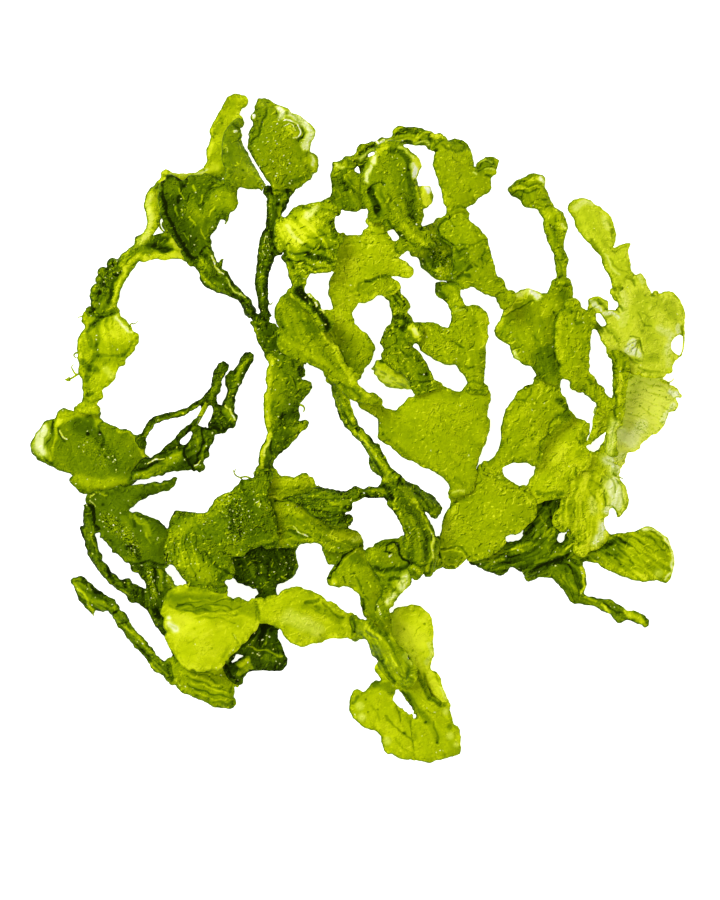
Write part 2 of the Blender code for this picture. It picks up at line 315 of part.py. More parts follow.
add_segment("ribbed_chain", "dark", [
    [(19, -21.6), (21.2, -21), (23.9, -19.2), (24.5, -19.4), (27, -18.6), (27.8, -18),
     (27.7, -17.3), (27.3, -17), (26.5, -16.9), (29, -14.5), (29.1, -12), (30, -11.9),
     (31, -11.3), (33, -10.9), (34.4, -10.9), (33.9, -13.5), (33, -14.5), (32.7, -15.5),
     (33, -16.2), (33.7, -16.6), (33, -18.6), (33.7, -19.3), (35.5, -18), (36.4, -19.5),
     (36.2, -20.3), (34, -21.8), (32, -22.4), (30, -23.2), (28.4, -24.3), (25.5, -23.2),
     (24.5, -24.3), (23.8, -24.6), (21, -23.7), (19.3, -22.5)]],
    [(21, -22.5, 1.1), (27, -20.5, 1.3), (31, -14, 1.2), (34, -20, 1.2)], body=1.5, edge=0.8)
add_segment("fin", "mid", [
    [(28.3, -24.3), (30, -23.3), (32, -22.5), (35.5, -22), (37.8, -23.6), (38.1, -25.7),
     (37.7, -27.8), (38.5, -28.4), (39.3, -28.3), (40, -28.7), (42.2, -28.8), (44.4, -30.1),
     (45, -30.7), (46.2, -30.7), (48.2, -31.7), (48.7, -32.3), (48.5, -33), (48, -33.2),
     (47.6, -32.8), (45, -31.9), (43.8, -32.6), (43.4, -32.5), (42.3, -31), (39.5, -29.7),
     (37, -29.1), (36.3, -29.2), (35.7, -28.9), (33.9, -26.3), (32.4, -24.9), (30.2, -24.8),
     (29.4, -25.2), (28.5, -24.9)]],
    [(30, -24, 0.9), (36, -25, 0.9), (40, -29, 0.7), (47, -32, 0.6)], body=1.1, edge=0.6)
add_segment("paddle", "bright", [
    [(36.5, -22.7), (35.4, -21.9), (35.2, -21.3), (36.5, -20.7), (37.5, -21.1), (38.3, -20.3),
     (39.5, -20), (40.6, -19.4), (41.5, -18.2), (43.5, -17.7), (44.5, -17.8), (45.3, -17.4),
     (46.3, -17.5), (48, -16.6), (49, -16.6), (51.8, -18.5), (52.8, -21.6), (52.6, -24),
     (52.2, -25.2), (51.6, -25.7), (50, -25.4), (48, -25.6), (46.6, -25.3), (43.6, -24.5),
     (42.9, -24), (41.2, -23.4), (40.2, -22.5), (37.5, -22.1)]],
    [(37, -21.5, 1.0), (45, -21, 0.5), (51, -22, 0.5), (45, -18.5, 0.6)])

# ---- lower middle and lower left ----
add_segment("centre_trunk", "dark", [
    [(5, -9.8), (6.2, -9.4), (8.4, -9.2), (9.8, -9.6), (10.4, -10.2), (12.8, -11.6),
     (13.95, -13.4), (13.9, -13.9), (12.8, -15), (12.2, -14.9), (11.9, -14.1), (10.8, -13.6),
     (12.5, -16.7), (13, -19.8), (12.2, -22), (11.8, -24), (11.3, -24.4), (10.8, -23.9),
     (10.6, -24.3), (10, -24.6), (9.6, -24.5), (9, -23.8), (8.6, -22), (8.2, -20), (8, -18),
     (7.6, -17.4), (7.5, -16.6), (6.5, -14.8), (5.5, -13), (5.4, -12.4), (5.9, -11.7)]],
    [(6.5, -10, 4.3), (12.5, -13, 3.4), (10, -17, 5.4), (11, -24, 5.6)],
    body=1.8, edge=0.8, pitch=STEM_PITCH)
add_segment("twigs", "dark", [
    [(-22.5, 11.1), (-21.65, 10.5), (-21.6, 9.9), (-22.8, 8.4), (-22.8, 7.2), (-23.6, 5.5),
     (-23.7, 4.5), (-23.4, 4), (-22.6, 3.6), (-22.4, 4.5), (-21.65, 5.9), (-22.2, 7.4),
     (-22, 8.8), (-21.3, 9.6), (-20.7, 9.35), (-19.7, 11.5), (-18.8, 12.6), (-18, 12.8),
     (-17.5, 12.2), (-17.6, 11.3), (-19.15, 8.4), (-20.6, 5.3), (-20.7, 2.8), (-20.1, 2),
     (-20.3, 0.5), (-20.9, 0.1), (-24, -0.5), (-25.2, 0.3), (-25.5, 2), (-26.3, 3.9),
     (-29, 2.2), (-32, 1.4), (-33.7, 0.9), (-35.1, -1), (-36, -2.9), (-36.6, -2), (-36, -0.6),
     (-34.9, 1.2), (-34, 1.9), (-32, 2.4), (-29, 3.2), (-26, 5), (-25.1, 5.7), (-24.7, 6.65),
     (-24, 9.5), (-23.2, 10.9)]],
    [(-22, 10, 1.4), (-24, 5, 1.6), (-19, 12, 1.6), (-21, 5, 1.7), (-23, 1.5, 2.0),
     (-30, 2.3, 1.6), (-36, -2.2, 2.0)],
    body=1.5, edge=0.8, pitch=STEM_PITCH)
add_segment("dark_pod", "dark", [
    [(-25.2, -0.2), (-23, 0), (-24, -1), (-24.4, -2.5), (-25, -3.5), (-25, -4.6), (-25.8, -5.2),
     (-26, -5.8), (-25.65, -6.4), (-25.8, -7), (-26.5, -7.3), (-26.9, -6.9), (-27.3, -7.2),
     (-27.6, -6.8), (-30.5, -7.05), (-32.2, -7.2), (-33, -7.9), (-35.2, -8.7), (-38.2, -9),
     (-36.8, -7.2), (-35.7, -5.8), (-33, -4.3), (-31.8, -3), (-30.3, -1.8), (-29, -2.9),
     (-27.5, -0.5)],
    [(-30.3, -1.8), (-29.6, -0.6), (-28.4, 0.3), (-26.6, 1.9), (-25.3, 2.2), (-25.2, -0.2),
     (-27.9, -0.6), (-29, -1.5), (-29.6, -2.5)]],
    [(-25, -0.5, 2.4), (-27, -4, 2.3), (-26.5, -7, 1.9), (-32, -5.5, 2.1), (-38, -8.8, 2.0)],
    body=1.2, edge=0.7)
add_segment("hub_left", "mid", [
    [(-44.9, -11.8), (-43.5, -11), (-41.8, -11.2), (-39.2, -10), (-38, -9.3), (-36, -9.2),
     (-34, -8.8), (-33, -9), (-31.2, -8.7), (-30.7, -8.2), (-30.2, -8.3), (-30.5, -9.2),
     (-31.7, -10.4), (-32.7, -10.4), (-35.5, -11.5), (-36.5, -12), (-38.6, -13.8),
     (-37.8, -14.3), (-36.5, -14.3), (-33.2, -15.5), (-31.2, -17.6), (-30.8, -18.2),
     (-31.5, -20), (-32.3, -22.8), (-33.3, -22.7), (-34.8, -22.1), (-36.9, -22.7),
     (-38.8, -22.2), (-40, -20.9), (-41, -20.7), (-40.9, -20.2), (-42.5, -18.4), (-43, -18.2),
     (-42.9, -17.3), (-43.6, -16), (-44.2, -13.6)]],
    [(-42, -12, 1.5), (-31, -9, 1.3), (-41, -18, 1.7), (-35, -17, 2.4), (-34, -22, 2.1)],
    body=1.2)
add_segment("stalk_thin", "dark", [
    [(-45.1, -12), (-45.8, -14), (-45.9, -16.4), (-46.4, -16.4), (-46.5, -17), (-45.9, -18.2),
     (-45.1, -21), (-44.5, -22.3), (-42.7, -24.8), (-41.5, -26), (-38.8, -28), (-37.7, -28.6),
     (-37, -28.5), (-36.8, -27.1), (-38.3, -25.2), (-39.2, -25.4), (-40, -25.2), (-41.9, -23.6),
     (-42, -23), (-42.9, -22.1), (-42.9, -21.3), (-43.3, -20.9), (-44, -17.5), (-43.5, -16.3),
     (-43.8, -14.5), (-44.4, -13)]],
    [(-45, -13, 1.5), (-44.8, -18, 1.0), (-42, -24, 0.9), (-38, -27.5, 1.1)],
    body=1.6, edge=0.8, pitch=STEM_PITCH)
add_segment("stalk_dark", "dark", [
    [(-37.3, -23.3), (-36.5, -24), (-35.3, -26), (-35.1, -27.2), (-36, -26.9), (-36.9, -27.2),
     (-37.2, -28), (-35.7, -30), (-35, -30.4), (-33.8, -33), (-32.2, -34.8), (-31.6, -36.5),
     (-30.9, -37.3), (-30.3, -38.8), (-29.6, -38.2), (-30.6, -36), (-31.2, -34), (-31.8, -32),
     (-31.6, -30), (-31.3, -27.8), (-30, -26.8), (-31.2, -24.8), (-32, -24), (-32, -23.2),
     (-33.3, -22.8), (-34.5, -22), (-36.3, -22)]],
    [(-34, -24, 1.7), (-34, -30, 1.4), (-31, -37, 0.9)], body=1.5, edge=0.8)
add_segment("crown", "mid", [
    [(-30.8, -18), (-31.35, -16), (-31.1, -14.8), (-30.2, -13.8), (-28.5, -14), (-26.3, -14.4),
     (-25, -14), (-23.5, -12), (-22.3, -11), (-21, -10.6), (-19.3, -8.8), (-17.2, -8.3),
     (-16.5, -7.5), (-14.9, -7.5), (-14.9, -9.5), (-15.3, -11), (-14.5, -13), (-13.7, -15),
     (-13.6, -17), (-14, -19.2), (-16.8, -19.6), (-19, -20.8), (-20, -20.6), (-21.7, -20.7),
     (-21.7, -21.8), (-21.2, -23.9), (-21.5, -24.8), (-22.4, -25.5), (-22.4, -26.8),
     (-22.9, -27), (-25, -26.9), (-28, -26.8), (-28, -26), (-29, -25), (-30.2, -23.2),
     (-31.6, -22), (-31.6, -20)]],
    [(-27, -20, 3.2), (-19, -14, 4.4), (-16, -8.5, 3.9), (-25, -26, 2.7), (-30, -15.5, 2.6),
     (-19, -20, 3.8), (-30.5, -21, 3.0)], body=1.2)
add_segment("strap_leaf", "green", [
    [(-14.8, -7.4), (-13.7, -7.4), (-12.8, -8), (-10.6, -8.5), (-9.3, -7.6), (-8.7, -7.6),
     (-8.4, -8.2), (-7.5, -8.5), (-7.2, -9), (-7.3, -9.8), (-6.7, -10.3), (-7, -12),
     (-6, -14.5), (-3.5, -15.2), (-2, -15.6), (-1.8, -16.7), (-0.2, -17.4), (0.3, -18),
     (0.3, -18.8), (0, -19.2), (-1, -19.4), (-2, -20), (-3, -20.2), (-4, -20), (-7.3, -19),
     (-9, -19.05), (-11, -19.1), (-13.5, -19.2), (-15.8, -18.8), (-16.5, -14), (-16.2, -10),
     (-15.8, -8.6)]],
    [(-11, -9, 2.9), (-15, -11, 2.9), (-8, -17, 3.1), (-1, -18, 2.9), (-15, -17, 3.0)])
add_segment("strand_dark", "dark", [
    [(-12, -11.7), (-11, -11.4), (-8, -11), (-5, -10), (-2.8, -10.6), (-2, -10.6), (-0.3, -9.6),
     (1, -10.2), (2, -9.7), (3, -9.9), (4.9, -9.7), (5.8, -11.8), (3, -11.4), (2.2, -11.6),
     (1.2, -11.4), (-0.8, -12.2), (-1.1, -13.4), (-1.6, -13.9), (-2.4, -14.1), (-2.1, -14.4),
     (-1.5, -14.3), (-1.2, -14.7), (-1.3, -15.2), (-3.3, -15.6), (-5, -15.3), (-7, -14.8),
     (-8.2, -14), (-9, -13)]],
    [(-11, -11.6, 4.3), (-5, -12.5, 5.2), (0, -10.8, 4.8), (5.5, -10.8, 4.3)],
    body=1.5, edge=0.8, pitch=STEM_PITCH)
add_segment("dark_leaf", "dark", [
    [(-21.7, -20.8), (-20.5, -20.7), (-19.5, -20), (-17, -19), (-15, -18.7), (-13, -18.8),
     (-11, -18.6), (-10.3, -22), (-10.2, -23.2), (-10.6, -24.4), (-12.5, -25.8), (-13.7, -26),
     (-13.8, -27.3), (-14.3, -28.6), (-14.6, -30.4), (-15.8, -30.4), (-16.6, -29),
     (-16.4, -27.8), (-16.9, -26.5), (-17.5, -26.7), (-18, -26.2), (-18.7, -26.2),
     (-20.1, -25.6), (-20.6, -25), (-20.8, -24.3), (-21.7, -23)]],
    [(-16, -22, 1.6), (-12, -23, 1.2), (-15, -29, 1.2), (-20, -23, 1.3)], body=1.2)
add_segment("bright_leaf", "bright", [
    [(-31.2, -27.8), (-29.3, -26.8), (-28, -26.6), (-22.6, -27.1), (-22, -28), (-20.8, -28.7),
     (-20, -28.3), (-18.3, -29), (-17.3, -29.1), (-16.9, -30.5), (-16.9, -31.8), (-17.5, -33.2),
     (-18.5, -34), (-19, -35), (-20, -35.5), (-20.5, -36.5), (-21.6, -37.2), (-23.2, -39.4),
     (-25.7, -40.6), (-27, -40.4), (-29, -39), (-30.9, -36), (-32.3, -33), (-32.3, -31.2)]],
    [(-26, -32, 3.1), (-24, -28, 2.7), (-18, -31, 2.8), (-26, -40, 2.4), (-31.5, -32, 2.7)])
add_segment("yellow_leaf", "bright", [
    [(-17.3, -29.1), (-13.8, -28.6), (-12.7, -27.2), (-12, -26.8), (-10, -26.5), (-6.8, -27.7),
     (-5.2, -29), (-4.5, -29.1), (-3.6, -29.6), (-2.3, -30.9), (-1.2, -31.5), (-0.9, -33),
     (-1, -34.5), (-2.9, -35), (-4, -34.9), (-5.3, -35.2), (-6.2, -35.8), (-7.6, -35.8),
     (-9.3, -36.4), (-11.2, -35.8), (-11.9, -35), (-13.5, -32.3), (-15.2, -31.8), (-16.9, -31.9)]],
    [(-15.5, -30.5, 2.8), (-9, -31, 2.7), (-2, -33, 1.9), (-9, -35.5, 2.1), (-9, -27.5, 2.3)])
add_segment("dark_wedge", "dark", [
    [(-16.2, -32.2), (-15, -31.9), (-14.2, -32.2), (-13.7, -32.7), (-13.5, -35), (-12.4, -38.2),
     (-12, -38.7), (-12, -39.5), (-12.4, -40.1), (-13, -40.4), (-15, -40.6), (-16.8, -40.4),
     (-18.5, -40.8), (-20, -42.4), (-21.2, -41.5), (-22, -39.8), (-20.8, -39.5), (-18.8, -38),
     (-20.4, -37.5), (-21, -38.4), (-21.9, -38.6), (-21.5, -37.1), (-20.5, -36.3), (-20, -35.2),
     (-18.8, -34.4), (-18, -33.4)]],
    [(-15, -34, 1.1), (-15, -39, 0.6), (-20, -41, 0.8)], body=1.2)
add_segment("lower_bar", "mid", [
    [(-47.9, -25.2), (-46.2, -24.7), (-45, -25.8), (-42.5, -27.8), (-40.7, -28.9), (-40, -29.7),
     (-40, -30.4), (-38.7, -31.2), (-38.2, -32), (-38.3, -32.5), (-37, -34.3), (-36, -35),
     (-35.8, -35.5), (-35.2, -35.9), (-35, -36.5), (-34.4, -36.8), (-33.8, -38), (-31.9, -39.6),
     (-31.3, -41.9), (-33.8, -40.8), (-34.5, -40.2), (-35.6, -38), (-37.2, -36.8), (-39.2, -34),
     (-40.1, -33.4), (-40.7, -31.8), (-41.7, -30.4), (-42.7, -30.7), (-44, -30.4),
     (-44.4, -31.2), (-46.5, -28.9), (-47.5, -26.5), (-48, -25.6)]],
    [(-46, -27, 0.8), (-40, -32, 1.0), (-33, -40, 1.0)], body=1.6, edge=0.8, pitch=STEM_PITCH)
add_segment("lower_fan", "green", [
    [(-31.9, -39.6), (-31.5, -39.1), (-29.6, -38.6), (-28.5, -39), (-25.7, -39.8), (-23.5, -39),
     (-22, -39.8), (-21.3, -39.9), (-20.5, -42.7), (-21, -43.2), (-20.8, -43.8), (-21.1, -45),
     (-20.6, -45.6), (-20.6, -46.2), (-21, -46.7), (-21.7, -46.9), (-24, -46.5), (-26, -45.4),
     (-27, -45.2), (-28.2, -44.5), (-29, -44.4), (-30.2, -43.3), (-30.4, -42.8), (-31.5, -41.9)]],
    [(-30.5, -41, 1.0), (-25, -43, 0.9), (-22, -46, 0.6), (-23, -40.5, 0.8)], body=1.2)
add_segment("lower_leaf", "green", [
    [(-1, -19.4), (0, -19.3), (1, -20.8), (2, -21), (3.2, -22), (4.5, -25), (5.4, -27),
     (5, -28.5), (3.9, -31), (4.9, -32), (4.9, -34.3), (4.3, -34.2), (2.5, -33), (2, -31.9),
     (1.2, -31.5), (0.8, -30.5), (0.4, -27.6), (-1.2, -26.6), (-2.5, -26.2), (-3.2, -26.5),
     (-4.8, -26), (-5.1, -25.2), (-4.6, -24), (-3.7, -22.8), (-4, -22.6), (-4.8, -22.7),
     (-5.3, -22), (-5.5, -21), (-5.2, -20), (-4.5, -19.8), (-3, -20.3), (-2, -20.2)]],
    [(-1, -20, 2.6), (-3, -24, 2.3), (3, -25, 2.4), (3, -31, 2.2), (4.5, -34, 2.1)])
add_segment("cup_leaf", "mid", [
    [(2, -20.7), (2.8, -19.5), (3.8, -18.8), (5.2, -18.45), (7.3, -18.5), (8.2, -18.9),
     (10, -22), (10.4, -23), (10.2, -23.9), (9, -23.9), (8.6, -24.2), (8.8, -25.3), (8.6, -26),
     (8, -26.8), (7.3, -27.1), (6.3, -28.5), (5.2, -28.6), (5.3, -29.2), (4.6, -31),
     (4.2, -31.2), (3.2, -30), (3.3, -29), (4, -28), (4.5, -26), (3, -24.5), (2, -22.5)]],
    [(4, -19.5, 3.9), (9, -22, 3.7), (8, -26, 3.7), (4.2, -30.5, 3.5), (6, -23, 3.6)])
add_segment("low_trunk", "mid", [
    [(-0.9, -31.8), (-0.3, -32), (0.8, -31.9), (2.6, -33.1), (5.3, -35.3), (6.3, -36.8),
     (7.2, -37.4), (9, -40), (9.2, -41.3), (8.8, -42.4), (7.9, -42.9), (5.9, -41.9), (4.2, -40),
     (3.8, -38.8), (2.3, -37.8), (2, -36), (1.6, -35.2), (-0.5, -35), (-1, -34.5)]],
    [(0, -33.5, 1.8), (4, -37, 2.2), (7.5, -41.5, 1.8)], body=1.4, edge=0.7)
add_segment("round_leaf", "bright", [
    [(5.6, -31), (6.3, -30.3), (7.2, -29.9), (9.2, -29.6), (10.2, -29.8), (11.8, -31.1),
     (12.2, -32.2), (12.5, -34.7), (12.2, -35.8), (12.5, -37.8), (12, -39.3), (12, -40.7),
     (13, -40.9), (13.8, -42), (13.8, -42.8), (14.6, -44.8), (14.4, -46), (13.8, -46.2),
     (13, -45.4), (12, -45), (10.7, -42.3), (9.9, -41.2), (8.8, -38.6), (8.2, -37.7),
     (6.3, -36.8), (5.7, -36), (4.9, -34), (5, -32.5)]],
    [(8, -33, 1.4), (11, -38, 1.3), (13, -43, 0.9)])
add_segment("foot_left", "green", [
    [(4.1, -42.1), (3.6, -42.6), (3, -42.3), (1.2, -44.2), (0.7, -44.3), (0, -43.8),
     (-0.6, -44.1), (-1.2, -45), (-1.3, -47.4), (-0.9, -48.5), (1, -49.9), (3, -50.6),
     (4, -51.5), (4.4, -53.8), (4.9, -54.5), (5.8, -54.4), (7.4, -55.3), (8.3, -55.4),
     (9.8, -54.6), (9.9, -52), (9.6, -50), (9.7, -48.2), (8.5, -47.8), (6, -45.6), (6.9, -42.9),
     (4.9, -41), (4, -39.2), (3.4, -40.3), (3.6, -41.3)]],
    [(0, -47, 0.5), (7, -53, 0.5), (5, -49, 0.5), (5.4, -42, 0.75)])
add_segment("foot_right", "bright", [
    [(7, -42.6), (8, -43), (9.8, -41.2), (10.7, -42.3), (12, -45), (13, -45.4), (13.8, -46.2),
     (14.4, -46), (15.4, -47.5), (15.6, -48.9), (16, -49.7), (16.6, -49.9), (17, -50.7),
     (17, -53.5), (16.8, -54.5), (15, -55.2), (13, -55.5), (12.2, -55.9), (11.3, -55.9),
     (10.5, -55.5), (9.9, -54.8), (9.8, -52), (9.5, -50), (9.7, -48.2), (9, -47), (7.4, -44.7),
     (6.7, -44)]],
    [(8.5, -43, 1.3), (12, -50, 0.7), (15, -54, 0.5), (11, -55, 0.55)])


def bend(marks):
    """Weights of the smoothly bent sheet (a thin plate) that passes through the marks."""
    plan = marks[:, :2]
    heights = REST_HEIGHT + (marks[:, 2] - REST_HEIGHT) * LIFT
    count = len(marks)
    distance = numpy.linalg.norm(plan[:, None] - plan[None], axis=2)
    kernel = distance ** 2 * numpy.log(distance + 1e-9)
    if count < 4:
        kernel = kernel * 0.0
    system = numpy.zeros((count + 3, count + 3))
    system[:count, :count] = kernel
    system[:count, count] = 1.0
    system[:count, count + 1:] = plan
    system[count, :count] = 1.0
    system[count + 1:, :count] = plan.T
    target = numpy.concatenate([heights, numpy.zeros(3)])
    return numpy.linalg.lstsq(system, target, rcond=1e-9)[0]


def middle_height(segment, points):
    """Height of the segment's middle surface over plan points."""
    marks = segment["heights"]
    weights = segment["bend"]
    count = len(marks)
    distance = numpy.linalg.norm(points[:, None] - marks[None, :, :2], axis=2)
    kernel = distance ** 2 * numpy.log(distance + 1e-9)
    level = kernel @ weights[:count] + weights[count] + points @ weights[count + 1:]
    return numpy.clip(level, REST_HEIGHT, marks[:, 2].max() * LIFT + 0.5)


def rim_distance(outline, points):
    """Distance from plan points to an outline, negative outside it."""
    start = outline
    end = numpy.roll(outline, -1, axis=0)
    along = end - start
    offset = points[:, None] - start[None]
    share = (offset * along[None]).sum(axis=2) / (along ** 2).sum(axis=1)[None]
    share = numpy.clip(share, 0.0, 1.0)
    nearest = numpy.linalg.norm(offset - share[..., None] * along[None], axis=2).min(axis=1)
    crosses = (start[None, :, 1] > points[:, None, 1]) != (end[None, :, 1] > points[:, None, 1])
    slope = along[:, 0] / numpy.where(along[:, 1] == 0.0, 1e-12, along[:, 1])
    reach = start[None, :, 0] + (points[:, None, 1] - start[None, :, 1]) * slope[None]
    inside = (crosses & (points[:, None, 0] < reach)).sum(axis=1) % 2 == 1
    return numpy.where(inside, nearest, -nearest)


def segment_distance(segment, points):
    """Distance into the segment from its nearest outline, negative outside every outline."""
    return numpy.max([rim_distance(outline, points) for outline in segment["outlines"]], axis=0)


def half_depth(segment, distance, taper):
    """Half the thickness at a distance in from the margin: thin at the rim, full further in."""
    share = numpy.clip(distance / taper, 0.0, 1.0)
    rise = numpy.sqrt(1.0 - (1.0 - share) ** 2)
    return 0.5 * (segment["edge"] + (segment["body"] - segment["edge"]) * rise)


def plan_grid(low, high, step):
    """Plan points on a square grid between two corners."""
    columns = numpy.arange(low[0], high[0] + step, step)
    rows = numpy.arange(low[1], high[1] + step, step)
    across, up = numpy.meshgrid(columns, rows)
    return numpy.stack([across.ravel(), up.ravel()], axis=1)


def too_close(upper, lower):
    """Whether two segments come nearer than the gap where they overlap in plan."""
    low = numpy.maximum(upper["low"], lower["low"]) - GAP
    high = numpy.minimum(upper["high"], lower["high"]) + GAP
    if (low >= high).any():
        return False
    points = plan_grid(low, high, 0.4)
    over = segment_distance(upper, points)
    under = segment_distance(lower, points)
    shared = (over > -GAP) & (under > -GAP)
    if not shared.any():
        return False
    points = points[shared]
    thickness = half_depth(upper, over[shared], upper["taper"])
    thickness = thickness + half_depth(lower, under[shared], lower["taper"])
    spacing = numpy.abs(middle_height(upper, points) - middle_height(lower, points)) - thickness
    return spacing.min() < GAP + 0.05


def inner_points(segment):
    """Shape points inside the outline, the ones furthest from the margin first."""
    points = plan_grid(segment["low"], segment["high"], 0.45)
    distance = segment_distance(segment, points)
    order = numpy.argsort(-distance, kind="stable")
    chosen = []
    for index in order:
        if distance[index] < 0.5:
            break
        point = points[index]
        if all(numpy.linalg.norm(point - other) > segment["pitch"] for other in chosen):
            chosen.append(point)
    return chosen


def edge_boxes(outline, segment):
    """Boxes of the gap's width along the edges of a cutting outline, near the cut segment."""
    boxes = []
    ends = numpy.roll(outline, -1, axis=0)
    near = segment_distance(segment, outline) > -3.0
    near = near | numpy.roll(near, -1)
    for start, end, keep in zip(outline, ends, near):
        if not keep:
            continue
        along = (end - start) / max(numpy.linalg.norm(end - start), 1e-9)
        side = numpy.array([-along[1], along[0]]) * GAP
        reach = along * GAP * 0.7
        boxes.append(numpy.array([start - reach - side, end + reach - side,
                                  end + reach + side, start - reach + side]))
    return boxes


def cut_plan(segment, cutters):
    """Triangulate a segment's plan, leaving out the cutters' outlines and the gap around them."""
    own = list(segment["outlines"])
    removed = []
    for cutter in cutters:
        for outline in cutter["outlines"]:
            removed.append(outline)
            removed.extend(edge_boxes(outline, segment))
    vertices = []
    faces = []
    for outline in own + removed:
        faces.append(list(range(len(vertices), len(vertices) + len(outline))))
        vertices.extend(Vector(point) for point in outline)
    vertices.extend(Vector(point) for point in inner_points(segment))
    result = delaunay_2d_cdt(vertices, [], faces, 0, SMALLEST_EDGE)
    plan = numpy.array([(point.x, point.y) for point in result[0]])
    kept = []
    for triangle, origins in zip(result[2], result[5]):
        inside = any(origin < len(own) for origin in origins)
        clear = all(origin < len(own) for origin in origins)
        if inside and clear:
            kept.append(list(triangle))
    return plan, kept


def largest_patch(triangles):
    """The biggest set of triangles joined edge to edge."""
    by_edge = {}
    for index, triangle in enumerate(triangles):
        for corner in range(3):
            pair = frozenset((triangle[corner], triangle[(corner + 1) % 3]))
            by_edge.setdefault(pair, []).append(index)
    seen = set()
    best = []
    for first in range(len(triangles)):
        if first in seen:
            continue
        patch = []
        waiting = [first]
        seen.add(first)
        while waiting:
            index = waiting.pop()
            patch.append(index)
            triangle = triangles[index]
            for corner in range(3):
                pair = frozenset((triangle[corner], triangle[(corner + 1) % 3]))
                for other in by_edge[pair]:
                    if other not in seen:
                        seen.add(other)
                        waiting.append(other)
        if len(patch) > len(best):
            best = patch
    return [triangles[index] for index in best]


def make_material(name, tone):
    """The segment's own wet, slightly glossy algal green."""
    material = bpy.data.materials.new(name)
    material.use_nodes = True
    shader = material.node_tree.nodes["Principled BSDF"]
    shader.inputs["Base Color"].default_value = (*TONES[tone], 1.0)
    shader.inputs["Roughness"].default_value = 0.45
    shader.inputs["Metallic"].default_value = 0.0
    material.diffuse_color = (*TONES[tone], 1.0)
    return material


def sheet_faces(sheet, plan, triangles):
    """Lay the plan triangles as one flat sheet, all facing down."""
    vertices = {}
    for triangle in triangles:
        corners = []
        for index in triangle:
            if index not in vertices:
                vertices[index] = sheet.verts.new((plan[index][0], plan[index][1], 0.0))
            corners.append(vertices[index])
        sheet.faces.new(corners)
    sheet.faces.ensure_lookup_table()


def raise_solid(name, segment, plan, triangles, shift):
    """Turn the cut plan into a closed solid with the segment's bend and depth."""
    solid = bmesh.new()
    sheet_faces(solid, plan, triangles)
    places = numpy.array([(vertex.co.x, vertex.co.y) for vertex in solid.verts])
    edges = [edge for edge in solid.edges if edge.is_boundary]
    starts = numpy.array([(edge.verts[0].co.x, edge.verts[0].co.y) for edge in edges])
    along = numpy.array([(edge.verts[1].co.x, edge.verts[1].co.y) for edge in edges]) - starts
    offset = places[:, None] - starts[None]
    share = numpy.clip((offset * along[None]).sum(axis=2) / (along ** 2).sum(axis=1), 0.0, 1.0)
    distance = numpy.linalg.norm(offset - share[..., None] * along[None], axis=2).min(axis=1)
    half = half_depth(segment, distance, min(segment["taper"], max(distance.max(), 0.4)))
    middle = middle_height(segment, places)
    bottom = numpy.maximum(middle - half, 0.0)
    bottom = numpy.where(middle - 0.5 * segment["body"] < 0.15, 0.0, bottom)
    top = numpy.maximum(middle + half, bottom + segment["edge"] * 0.6)
    lower = list(solid.verts)
    raised = bmesh.ops.extrude_face_region(solid, geom=list(solid.faces))
    upper = [item for item in raised["geom"] if isinstance(item, bmesh.types.BMVert)]
    spot = {}
    for index, vertex in enumerate(lower):
        spot[(round(vertex.co.x, 5), round(vertex.co.y, 5))] = index
    for vertex in upper:
        vertex.co.z = top[spot[(round(vertex.co.x, 5), round(vertex.co.y, 5))]]
    for index, vertex in enumerate(lower):
        vertex.co.z = bottom[index]
    bmesh.ops.translate(solid, verts=solid.verts, vec=(-shift[0], -shift[1], 0.0))
    bmesh.ops.scale(solid, verts=solid.verts, vec=(MILLIMETRE, MILLIMETRE, MILLIMETRE))
    bmesh.ops.recalc_face_normals(solid, faces=solid.faces)
    bmesh.ops.triangulate(solid, faces=solid.faces)
    mesh = bpy.data.meshes.new(name)
    solid.to_mesh(mesh)
    solid.free()
    mesh.materials.append(make_material(name, segment["tone"]))
    piece = bpy.data.objects.new(name, mesh)
    bpy.context.scene.collection.objects.link(piece)
    return piece


def build():
    """Build every segment, the highest ones whole and the lower ones cut clear of them."""
    for old in list(bpy.data.objects):
        bpy.data.objects.remove(old, do_unlink=True)
    for segment in segments.values():
        points = numpy.concatenate(segment["outlines"])
        segment["low"] = points.min(axis=0)
        segment["high"] = points.max(axis=0)
        segment["bend"] = bend(segment["heights"])
        grid = plan_grid(segment["low"], segment["high"], 0.4)
        segment["taper"] = min(TAPER, segment_distance(segment, grid).max())
    low = numpy.min([segment["low"] for segment in segments.values()], axis=0)
    high = numpy.max([segment["high"] for segment in segments.values()], axis=0)
    shift = (low + high) / 2.0
    order = sorted(segments, key=lambda name: -segments[name]["heights"][:, 2].mean())
    for place, name in enumerate(order):
        segment = segments[name]
        cutters = [segments[above] for above in order[:place]
                   if too_close(segments[above], segment)]
        plan, triangles = cut_plan(segment, cutters)
        raise_solid(name, segment, plan, largest_patch(triangles), shift)


build()
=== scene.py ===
import math
import bpy
import numpy as np
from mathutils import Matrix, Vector
from mathutils.kdtree import KDTree


